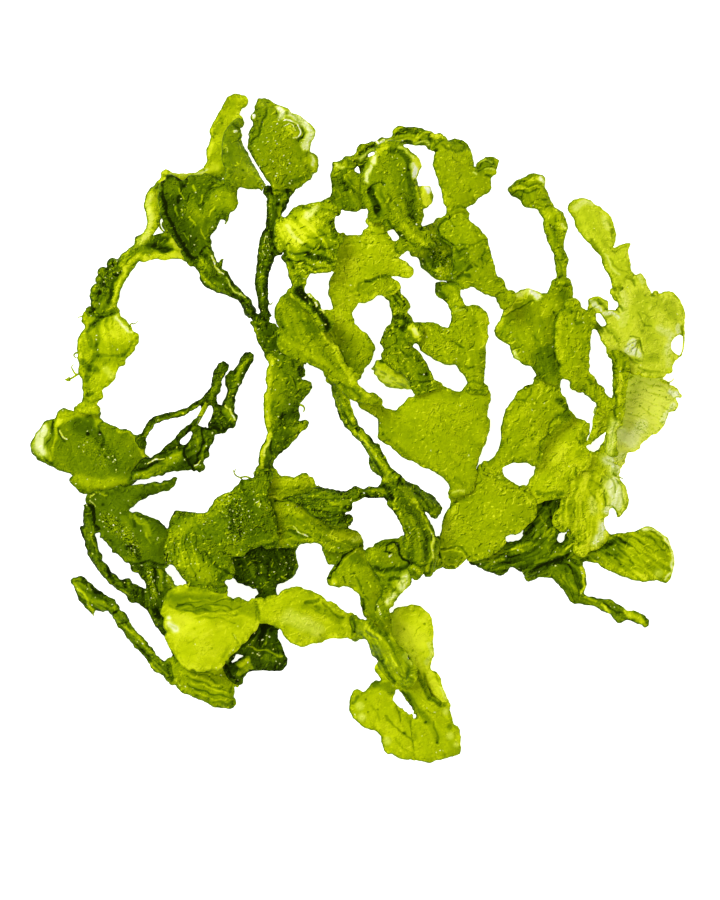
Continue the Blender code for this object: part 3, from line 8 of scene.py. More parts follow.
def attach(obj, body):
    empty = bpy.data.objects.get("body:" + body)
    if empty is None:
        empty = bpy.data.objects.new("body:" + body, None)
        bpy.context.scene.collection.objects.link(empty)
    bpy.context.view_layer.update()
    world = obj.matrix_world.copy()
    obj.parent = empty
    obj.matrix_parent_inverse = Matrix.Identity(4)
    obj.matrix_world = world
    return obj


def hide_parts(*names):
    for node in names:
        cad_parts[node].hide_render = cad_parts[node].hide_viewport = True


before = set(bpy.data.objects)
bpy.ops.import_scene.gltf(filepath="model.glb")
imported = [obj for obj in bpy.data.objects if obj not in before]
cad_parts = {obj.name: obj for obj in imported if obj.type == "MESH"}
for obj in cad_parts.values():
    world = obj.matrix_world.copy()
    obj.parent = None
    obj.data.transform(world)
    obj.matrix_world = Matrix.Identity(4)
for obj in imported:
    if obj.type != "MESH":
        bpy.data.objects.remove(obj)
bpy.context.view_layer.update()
bpy.ops.object.select_all(action="DESELECT")

mm = 0.001  # every size below is in millimetres and is turned to metres with this
planShift = (0.15, 0.0)  # plan points below are measured from a centre mark this far from the frame's origin

sheet = {
    "voxel": 0.14,  # grain of the finished surface
    "smoothing": 14, "smoothShare": 0.5,
    "weld": 0.005,  # corners nearer than this become one
    "grow": 0.2,  # each margin spreads this much
    "stemGrow": 0.1,
    "growTilt": 1.4,  # how soon a sloping margin spreads in full
    "joinNear": 0.48, "joinReach": 0.85, "joinGrow": 0.6,  # where segments touch, they spread into each other
    "joinFull": 1.3,  # strength of a join on its own place, where more than 1 makes a flat middle
    "joinCalm": 0.8,  # share of crinkle and dark line lost where segments touch
    "apartNear": 0.9, "apartReach": 0.6, "apartGrow": -0.12,  # where they stand apart or tear, they draw back
    "outlineSteps": 12,  # places tried on each line of an outline
    "tearSteps": (0.0, 0.33, 0.67),  # places tried on each line of a tear
    "seamLevel": 0.9,  # only segments this near in height meet in a crease
    "above": 0.2,  # a segment this much higher shades the one below
    "wallTilt": 0.02,  # upward share of the normal below which a face is part of the outline
    "steep": 0.45,  # upward share of the normal below which a point is on the margin itself
    "underside": -0.3,  # upward share of the normal below which a point doesn't rise
    "upperTilt": 2.0,  # how soon a face that turns upwards takes folds and ridges in full
    "marginReach": 0.9,  # how far in from the margin its ruffles fade
    "marginSteps": 24,
    "crinkleSize": 1.25, "crinkle": 0.55,  # uneven outline
    "ruffleSize": 2.6, "ruffle": 0.8,  # margin rising and falling
    "swellSize": 4.5, "swell": 0.75,  # broad bends of the blade
    "puckerSize": 0.9, "pucker": 0.16, "stemPucker": 0.32,  # fine puckers
    "thinnest": 0.35,  # the upper side never sinks nearer the ground than this
}

# what each kind of mark does: tone, pale, gleam (painted highlight), speck (painted glints) and lift in
# millimetres, for an amount of 1
markKinds = {
    # dark is a darker patch: partly the tissue's own thicker green, partly painted shade where layers overlap
    "dark": (-0.8, 0.0, 0.0, 0.0, 0.0),
    # lit is painted light: a lighter patch of the tissue
    "lit": (1.0, 0.0, 0.0, 0.0, 0.0),
    # ridge is painted light along a raised ridge, and fold is painted shade along a sunken crease
    "ridge": (0.85, 0.0, 0.0, 0.0, 0.6),
    "fold": (-0.75, 0.0, 0.0, 0.0, -0.6),
    "pale": (0.0, 1.0, 0.0, 0.0, 0.0),
    # gleam and glint are painted highlights of water shining on the wet sheet
    "gleam": (0.0, 0.0, 1.0, 0.0, 0.15),
    "glint": (0.0, 0.0, 1.3, 0.0, 0.1),  # separate dots of painted highlight
    "spot": (-1.0, 0.0, 0.0, 0.0, -0.3),  # separate dots
    # sparkle paints glints of crowded wet bumps, and shade between them
    "sparkle": (0.0, 0.0, 0.0, 1.0, 0.0),
    "lump": (0.12, 0.0, 0.0, 0.0, 0.6),  # separate rounded bumps, raised, with painted light on them
}


def pickOnly(*things):
    bpy.ops.object.select_all(action="DESELECT")
    for thing in things:
        thing.hide_set(False)
        thing.select_set(True)
    bpy.context.view_layer.objects.active = things[-1]


def addModifier(piece, kind, **settings):
    modifier = piece.modifiers.new(kind.lower(), kind)
    for key, value in settings.items():
        setattr(modifier, key, value)
    bpy.ops.object.modifier_apply(modifier=modifier.name)


def cloudTexture(name, size, depth):
    texture = bpy.data.textures.new(name, "CLOUDS")
    texture.noise_scale = size * mm
    texture.noise_depth = depth
    return texture


crinkleTexture = cloudTexture("marginCrinkle", sheet["crinkleSize"], 1)
ruffleTexture = cloudTexture("marginRuffle", sheet["ruffleSize"], 1)
swellTexture = cloudTexture("bladeSwell", sheet["swellSize"], 1)
puckerTexture = cloudTexture("bladePucker", sheet["puckerSize"], 3)


def displace(piece, texture, direction, strength, group=""):
    addModifier(piece, "DISPLACE", texture=texture, texture_coords="LOCAL", direction=direction,
                strength=strength * mm, mid_level=0.5, vertex_group=group)


def readPoints(mesh, field):
    values = np.empty(len(mesh.vertices) * 3)
    mesh.vertices.foreach_get(field, values)
    return values.reshape(-1, 3)


def setPoints(mesh, places):
    mesh.vertices.foreach_set("co", places.ravel())
    mesh.update()


def setAttribute(mesh, name, values):
    # one number for each point, or a row of three
    kind, field = ("FLOAT_VECTOR", "vector") if values.ndim == 2 else ("FLOAT", "value")
    mesh.attributes.new(name, kind, "POINT").data.foreach_set(field, values.astype(np.float32).ravel())


def stopsOf(numbers):
    # plan points from a row of numbers: x, y, x, y and so on
    return np.array(numbers, dtype=float).reshape(-1, 2)


def inFrame(point):
    return ((point[0] + planShift[0]) * mm, (point[1] + planShift[1]) * mm)


def fade(share):
    share = np.clip(share, 0.0, 1.0)
    return share * share * (3.0 - 2.0 * share)


def planTree(points):
    tree = KDTree(len(points))
    for index, (x, y) in enumerate(points):
        tree.insert((x, y, 0.0), index)
    tree.balance()
    return tree


def wallEdges(mesh):
    # plan lines of the upright faces, which are the outline of the segment
    starts = []
    ends = []
    for face in mesh.polygons:
        if abs(face.normal.z) > sheet["wallTilt"]:
            continue
        corners = [mesh.vertices[index].co.xy for index in face.vertices]
        pairs = [(corners[i], corners[i - 1]) for i in range(len(corners))]
        longest = max(pairs, key=lambda pair: (pair[0] - pair[1]).length)
        starts.append(tuple(longest[0]))
        ends.append(tuple(longest[1]))
    return np.array(starts), np.array(ends)


def lineDistance(points, starts, ends):
    # distance in plan from points to the nearest of some short lines
    nearest = np.full(len(points), np.inf)
    for start, end in zip(starts, ends):
        along = end - start
        share = np.clip((points - start) @ along / max(along @ along, 1e-12), 0.0, 1.0)
        nearest = np.minimum(nearest, np.hypot(*(points - start - share[:, None] * along).T))
    return nearest


def marginDistance(plan, normals):
    # distance in plan from each point to the nearest point of the margin, and how far that faces right
    steep = np.nonzero(np.abs(normals[:, 2]) < sheet["steep"])[0]
    tree = planTree(plan[steep])
    found = [tree.find((x, y, 0.0)) for x, y in plan]
    return np.array([hit[2] for hit in found]), normals[steep[[hit[1] for hit in found]], 0]


def marginGroup(piece, rim, calm):
    # weight 1 on the margin, fading inwards and towards the joins
    group = piece.vertex_groups.new(name="margin")
    steps = sheet["marginSteps"]
    level = np.round(np.exp(-rim / sheet["marginReach"]) * calm * steps).astype(int)
    for step in range(1, steps + 1):
        chosen = np.nonzero(level == step)[0]
        if len(chosen):
            group.add(chosen.tolist(), step / steps, "REPLACE")


def surfaceHeight(piece, x, y):
    # height of the piece's upper side over a plan point, or of its nearest point
    wellAbove = 50.0 * mm
    middleLevel = 4.0 * mm
    hit, place, normal, index = piece.ray_cast(Vector((x, y, wellAbove)), Vector((0, 0, -1)))
    if hit:
        return place.z
    found, place, normal, index = piece.closest_point_on_mesh(Vector((x, y, middleLevel)))
    return place.z


ballLook = {"sunk": 0.45, "lowest": 0.5, "flatness": 0.8, "segments": 16, "rings": 10}


def addBalls(piece, balls):
    # small rounded lobes, buds and joints, which the remesh then melts into the segment
    spots = []
    for x, y, radius in balls:
        x, y = inFrame((x, y))
        height = surfaceHeight(piece, x, y) - ballLook["sunk"] * radius * mm
        spots.append((x, y, max(height, ballLook["lowest"] * radius * mm), radius * mm))
    pickOnly(piece)
    bpy.ops.object.mode_set(mode="EDIT")
    for x, y, z, radius in spots:
        bpy.ops.mesh.primitive_uv_sphere_add(segments=ballLook["segments"], ring_count=ballLook["rings"],
                                             radius=radius, location=(x, y, z),
                                             scale=(1.0, 1.0, ballLook["flatness"]))
    bpy.ops.object.mode_set(mode="OBJECT")


def cutHoles(piece, holes):
    # torn holes: a prism of each outline, from well below the sheet to well above it, is taken out
    bottom = -5.0 * mm
    height = 40.0 * mm
    for hole in holes:
        bpy.ops.object.select_all(action="DESELECT")
        bpy.ops.mesh.primitive_circle_add(vertices=len(hole), fill_type="NGON", location=(0, 0, 0))
        cutter = bpy.context.object
        for vertex, point in zip(cutter.data.vertices, hole):
            vertex.co = (*inFrame(point), bottom)
        bpy.ops.object.mode_set(mode="EDIT")
        bpy.ops.mesh.select_all(action="SELECT")
        bpy.ops.mesh.extrude_region_move(TRANSFORM_OT_translate={"value": (0, 0, height)})
        bpy.ops.mesh.select_all(action="SELECT")
        bpy.ops.mesh.normals_make_consistent(inside=False)
        bpy.ops.object.mode_set(mode="OBJECT")
        pickOnly(piece)
        addModifier(piece, "BOOLEAN", operation="DIFFERENCE", object=cutter, solver="EXACT")
        bpy.data.objects.remove(cutter, do_unlink=True)


wispLook = {"sunk": 0.3, "sag": 0.25, "root": 1.15, "taper": 0.6, "roundness": 2, "smoothness": 6}


def addWisps(piece, wisps):
    # hair-thin strands and sprigs, tapering to their tips
    strands = []
    for radius, *numbers in wisps:
        route = stopsOf(numbers)
        curve = bpy.data.curves.new("wisp", "CURVE")
        curve.dimensions = "3D"
        curve.bevel_depth = radius * mm
        curve.bevel_resolution = wispLook["roundness"]
        curve.use_fill_caps = True
        curve.resolution_u = wispLook["smoothness"]
        spline = curve.splines.new("BEZIER")
        spline.bezier_points.add(len(route) - 1)
        level = max(surfaceHeight(piece, *inFrame(route[0])) - wispLook["sunk"] * mm, radius * mm)
        for index, point in enumerate(route):
            knot = spline.bezier_points[index]
            sag = 1.0 - wispLook["sag"] * index / len(route)
            knot.co = (*inFrame(point), max(level * sag, radius * mm))
            knot.handle_left_type = knot.handle_right_type = "AUTO"
            knot.radius = wispLook["root"] - wispLook["taper"] * index / (len(route) - 1)
        strand = bpy.data.objects.new("wisp", curve)
        bpy.context.scene.collection.objects.link(strand)
        pickOnly(strand)
        bpy.ops.object.convert(target="MESH")
        strands.append(bpy.context.object)
    pickOnly(*strands, piece)
    bpy.ops.object.join()


def linear(hexCode):
    channels = [int(hexCode[i:i + 2], 16) / 255 for i in (1, 3, 5)]
    return tuple(c / 12.92 if c <= 0.04045 else ((c + 0.055) / 1.055) ** 2.4 for c in channels) + (1.0,)


def addNode(tree, kind, settings=None, **links):
    # a link is named for its socket, or in0, in1 and so on for the socket's number
    node = tree.nodes.new("ShaderNode" + kind)
    for key, value in (settings or {}).items():
        if isinstance(key, int) or key in node.inputs:
            node.inputs[key].default_value = value
        else:
            setattr(node, key, value)
    for key, source in links.items():
        output = source.outputs[0] if isinstance(source, bpy.types.Node) else source  # a node's first output
        tree.links.new(output, node.inputs[int(key[2:]) if key[2:].isdigit() else key])
    return node


# wet living alga: a thin calcified sheet full of green filaments, painted yellow-green where light comes
# through one layer and near black-green where it is folded or thick, with a thin dark line of painted shade
# round every margin
tissueLook = {
    "tissue": ["#121D01", "#233701", "#385001", "#496302", "#5E7902", "#748D02", "#8A9F02", "#9EB202",
               "#B2C304", "#C8D60A", "#DCE622"],
    "thinTissue": ["#8CA516", "#A9BF22", "#C4D532", "#D9E548", "#E9F070"],  # yellow, one layer thick
    "deadTissue": ["#AABD42", "#C2D05C", "#D6E17C", "#E5ED9E", "#F5F9D8"],  # nearly clear
    "noises": {  # size in millimetres, detail, roughness and distortion
        "patch": (3.6, 2.0, 0.5, 0.0),  # soft light and dark areas
        "mottle": (0.5, 3.0, 0.6, 0.4),  # cell clumps
        "wideCrease": (2.2, 2.2, 0.55, 1.4),
        "fineCrease": (1.0, 2.2, 0.55, 1.4),
        "relief": (1.1, 2.5, 0.55, 0.9),  # small bumps
        "rib": (1000.0, 1.5, 0.5, 0.2),  # its own places count ribs, so it isn't scaled
        "glitter": (0.55, 2.5, 0.6, 2.4),  # painted glints on crowded wet bumps, with painted shade in the gaps
        "scallop": (1.25, 1.0, 0.5, 1.2),  # painted shade and light of small folds that reach in from the margin
    },
    "ranges": {  # the part of a pattern that counts, and what its two ends give
        "patch": (0.32, 0.68, -0.06, 0.06),
        "mottle": (0.3, 0.7, -0.035, 0.035),
        "relief": (-0.16, 0.16, -0.05, 0.05),  # painted light and shade on the sides of small bumps
        "litStroke": (0.1, 0.17, 0.0, 0.24),  # painted highlight where the steepest of those sides would catch the light
        "darkStroke": (-0.1, -0.17, 0.0, -0.2),  # or painted shade where they would lose it
        "nearEdge": (0.15, 1.5, 1.0, 0.0),
        "creased": (0.42, 0.6, 0.1, 1.0),
        "rib": (0.36, 0.64, -1.0, 1.0),
        "nickDots": (0.068, 0.17, 1.0, 0.0),
        "nick": (0.0, 1.0, -0.138, 0.46),  # scattered grains, a few dark and most of them light
        "glitter": (0.36, 0.62, -0.33, 0.33),
        "scallop": (0.42, 0.56, 0.072, -0.09),
        "thinTone": (0.45, 1.05, 0.0, 1.0),
        "thinShare": (0.0, 0.6, 0.0, 1.0),  # a little pale is thin tissue
        "deadShare": (0.5, 0.95, 0.0, 1.0),  # and much of it is dead
        "broken": (0.4, 0.6, -0.4, 0.1),
        "paintedHaloShare": (0.1, 0.45, 0.0, 0.85),
        "paintedHighlightShare": (0.34, 0.82, 0.0, 0.95),
        "speckDots": (0.105, 0.21, 0.9, 0.0),
    },
    "creases": (("wideCrease", 0.02, 0.26), ("fineCrease", 0.03, 0.14)),  # pattern, width and depth of the painted shade
    "creaseFlank": 0.5,  # painted light on the flank of a crease, as a share of its depth
    "lightSide": (0.13, -0.13, 0.0),  # step from a point towards the light, for the painted lit and dark sides
    "nickSize": 1.3, "grainWobble": (0.7, 0.7, 0.0),
    "rib": 0.15,
    "rimDepth": 0.26, "rimOverPale": 0.45,  # painted shade as a dark line of the margin, and how much of the pale it takes
    "gleam": "#FFFFF0", "gleamEdge": "#D9E63A",  # painted highlight of water shining, and the yellow painted halo round it
    "speckSize": 0.7, "speckColour": "#E8F08A",  # painted glints of wet grains, sparse
    "bump": 0.4, "bumpHeight": 0.25, "ribBump": 0.5, "creaseBump": 6.0,
    "shader": {"Roughness": 0.36, "IOR": 1.42, "Specular IOR Level": 0.05, "Subsurface Weight": 0.12,
               "Subsurface Radius": (1.0, 0.9, 0.15), "Subsurface Scale": 0.6 * mm},
    "shine": "#E6F03A",
}


def tissueMaterial(name, look):
    material = bpy.data.materials.new(name)
    material.use_nodes = True
    tree = material.node_tree
    shader = tree.nodes["Principled BSDF"]
    rangeEnds = ("From Min", "From Max", "To Min", "To Max")
    ranges = {key: dict(zip(rangeEnds, row)) for key, row in look["ranges"].items()}
    soft = {"interpolation_type": "SMOOTHSTEP"}
    noises = {key: {"Scale": 1 / (size * mm), "Detail": detail, "Roughness": rough, "Distortion": bent}
              for key, (size, detail, rough, bent) in look["noises"].items()}
    place = addNode(tree, "TexCoord").outputs["Object"]
    read = {key: addNode(tree, "Attribute", {"attribute_name": key}).outputs["Fac"]
            for key in ("tone", "pale", "gleam", "speck", "glitter", "rim", "inward", "crisp", "ribAmount")}
    ribPlace = addNode(tree, "Attribute", {"attribute_name": "ribPlace"}).outputs["Vector"]

    # creases: lines of painted shade where a slow pattern passes its middle, each with a painted lit flank
    patch = addNode(tree, "TexNoise", noises["patch"], Vector=place)
    mottle = addNode(tree, "TexNoise", noises["mottle"], Vector=place)
    lightStep = tuple(step * mm for step in look["lightSide"])
    beside = addNode(tree, "VectorMath", {"operation": "ADD", 1: lightStep}, in0=place)
    nearEdge = addNode(tree, "MapRange", soft | ranges["nearEdge"], Value=read["inward"])
    creased = addNode(tree, "MapRange", soft | ranges["creased"], Value=patch)
    creased = addNode(tree, "Math", {"operation": "MAXIMUM"}, in0=creased, in1=nearEdge)
    creases = None
    for key, width, depth in look["creases"]:
        for source, level in ((place, -depth), (beside, look["creaseFlank"] * depth)):
            wander = addNode(tree, "TexNoise", noises[key], Vector=source)
            offMiddle = addNode(tree, "Math", {"operation": "SUBTRACT", 1: 0.5}, in0=wander)
            nearMiddle = addNode(tree, "Math", {"operation": "ABSOLUTE"}, in0=offMiddle)
            lineRange = dict(zip(rangeEnds, (0.0, width, level, 0.0)))
            line = addNode(tree, "MapRange", soft | lineRange, Value=nearMiddle)
            line = addNode(tree, "Math", {"operation": "MULTIPLY"}, in0=line, in1=creased)
            if creases:
                line = addNode(tree, "Math", {"operation": "ADD"}, in0=creases, in1=line)
            creases = line

    # ribs, small bumps with painted light and shade on their sides, and grains
    ribs = addNode(tree, "TexNoise", noises["rib"], Vector=ribPlace)
    ribWave = addNode(tree, "MapRange", soft | ranges["rib"], Value=ribs)
    ribLift = addNode(tree, "Math", {"operation": "MULTIPLY"}, in0=ribWave, in1=read["ribAmount"])
    bumps = addNode(tree, "TexNoise", noises["relief"], Vector=place)
    bumpsBeside = addNode(tree, "TexNoise", noises["relief"], Vector=beside)
    slope = addNode(tree, "Math", {"operation": "SUBTRACT"}, in0=bumps, in1=bumpsBeside)
    wobbleStep = tuple(step * mm for step in look["grainWobble"])
    wobble = addNode(tree, "VectorMath", {"operation": "MULTIPLY_ADD", 1: wobbleStep},
                     in0=mottle.outputs["Color"], in2=place)
    nicks = addNode(tree, "TexVoronoi", {"feature": "F1", "Scale": 1 / (look["nickSize"] * mm)},
                    Vector=wobble)
    nickDots = addNode(tree, "MapRange", ranges["nickDots"], Value=nicks)
    nickChance = addNode(tree, "SeparateColor", Color=nicks.outputs["Color"])
    nickTone = addNode(tree, "MapRange", ranges["nick"], Value=nickChance)
    detail = addNode(tree, "Math", {"operation": "MULTIPLY_ADD"}, in0=nickDots, in1=nickTone, in2=creases)
    # painted light and shade: the sides of the small bumps that face the light are lighter, the others darker
    parts = [addNode(tree, "MapRange", soft | ranges[key], Value=slope)
             for key in ("litStroke", "darkStroke")]
    parts.append(addNode(tree, "MapRange", ranges["relief"], Value=slope))
    parts.append(addNode(tree, "MapRange", ranges["mottle"], Value=mottle))
    for part in parts:
        detail = addNode(tree, "Math", {"operation": "ADD"}, in0=detail, in1=part)

    # the tone: what is painted on the segment, painted light and shade among it, and the patterns on top of
    # it
    patchTone = addNode(tree, "MapRange", ranges["patch"], Value=patch)
    toned = addNode(tree, "Math", {"operation": "ADD"}, in0=read["tone"], in1=patchTone)
    toned = addNode(tree, "Math", {"operation": "MULTIPLY_ADD"}, in0=detail, in1=read["crisp"], in2=toned)
    toned = addNode(tree, "Math", {"operation": "MULTIPLY_ADD", 1: look["rib"]}, in0=ribLift, in2=toned)
    # painted glints and shade of crowded wet bumps, where a sparkle is marked
    crowd = addNode(tree, "TexNoise", noises["glitter"], Vector=place)
    crowdTone = addNode(tree, "MapRange", ranges["glitter"], Value=crowd)
    toned = addNode(tree, "Math", {"operation": "MULTIPLY_ADD"}, in0=crowdTone, in1=read["glitter"],
                    in2=toned)
    # painted shade and light of small folds near the margin
    scallops = addNode(tree, "TexNoise", noises["scallop"], Vector=place)
    scallopTone = addNode(tree, "MapRange", soft | ranges["scallop"], Value=scallops)
    toned = addNode(tree, "Math", {"operation": "MULTIPLY_ADD"}, in0=scallopTone, in1=nearEdge, in2=toned)
    # painted shade: a dark line along each margin
    rimShare = addNode(tree, "Math", {"operation": "MULTIPLY_ADD", 1: -look["rimDepth"], 2: 1.0},
                       in0=read["rim"])
    toned = addNode(tree, "Math", {"operation": "MULTIPLY"}, in0=toned, in1=rimShare)

    # the colour: living, thin and dead tissue by tone, then painted highlights of water and painted glints of
    # wet grains over them
    thinTone = addNode(tree, "MapRange", ranges["thinTone"], Value=toned)
    ramps = []
    for source, key in ((toned, "tissue"), (thinTone, "thinTissue"), (thinTone, "deadTissue")):
        ramp = addNode(tree, "ValToRGB", Fac=source)
        stops = ramp.color_ramp.elements
        while len(stops) < len(look[key]):
            stops.new(0.5)
        for index, hexCode in enumerate(look[key]):
            stops[index].position = index / (len(look[key]) - 1)
            stops[index].color = linear(hexCode)
        ramps.append(ramp)
    pale = addNode(tree, "Math", {"operation": "MULTIPLY_ADD", 1: -look["rimOverPale"], "use_clamp": True},
                   in0=read["rim"], in2=read["pale"])
    thinShare = addNode(tree, "MapRange", ranges["thinShare"], Value=pale)
    deadShare = addNode(tree, "MapRange", soft | ranges["deadShare"], Value=pale)
    # painted highlight: a yellow halo and a white core, broken up by the mottle
    broken = addNode(tree, "MapRange", ranges["broken"], Value=mottle)
    brokenHighlight = addNode(tree, "Math", {"operation": "ADD"}, in0=read["gleam"], in1=broken)
    paintedHighlightShare = addNode(tree, "MapRange", soft | ranges["paintedHighlightShare"], Value=brokenHighlight)
    paintedHaloShare = addNode(tree, "MapRange", soft | ranges["paintedHaloShare"], Value=read["gleam"])
    # painted glints: bright specks in a share of the cells
    glintCells = addNode(tree, "TexVoronoi", {"feature": "F1", "Scale": 1 / (look["speckSize"] * mm)},
                     Vector=wobble)
    dots = addNode(tree, "MapRange", ranges["speckDots"], Value=glintCells)
    chance = addNode(tree, "SeparateColor", Color=glintCells.outputs["Color"])
    some = addNode(tree, "Math", {"operation": "GREATER_THAN"}, in0=read["speck"], in1=chance)
    speckShare = addNode(tree, "Math", {"operation": "MULTIPLY"}, in0=dots, in1=some)
    colour = ramps[0]
    for share, ramp in ((thinShare, ramps[1]), (deadShare, ramps[2])):
        colour = addNode(tree, "Mix", {"data_type": "RGBA"}, in0=share, in6=colour, in7=ramp).outputs[2]
    for share, key in ((paintedHaloShare, "gleamEdge"), (paintedHighlightShare, "gleam"), (speckShare, "speckColour")):
        colour = addNode(tree, "Mix", {"data_type": "RGBA", 7: linear(look[key])}, in0=share,
                         in6=colour).outputs[2]
    tree.links.new(colour, shader.inputs["Base Color"])

    height = addNode(tree, "Math", {"operation": "MULTIPLY_ADD", 1: look["ribBump"]}, in0=ribLift, in2=bumps)
    height = addNode(tree, "Math", {"operation": "MULTIPLY_ADD", 1: look["creaseBump"]}, in0=creases,
                     in2=height)
    bump = addNode(tree, "Bump", {"Strength": look["bump"], "Distance": look["bumpHeight"] * mm},
                   Height=height)
    tree.links.new(bump.outputs[0], shader.inputs["Normal"])
    for key, value in look["shader"].items():
        shader.inputs[key].default_value = value
    shader.inputs["Specular Tint"].default_value = linear(look["shine"])
    return material


algaTissue = tissueMaterial("wetAlgaTissue", tissueLook)
print("material made")

# neighbours with clear ground between them; all others grow into each other where they touch
apart = ["fan_top wedge_top", "disc_mid spoon", "big_fan spoon", "fan_right_low stem_right",
         "big_fan centre_stalk", "boot green_fan", "cup_leaf round_leaf", "dark_pod hub_left",
         "leaf_far_left stalk_thin", "crown stalk_dark"]

# neighbours that run into each other with no crease between them
unseamed = ["foot_left foot_right", "stem_right pale_fan", "stem_right pale_leaf"]
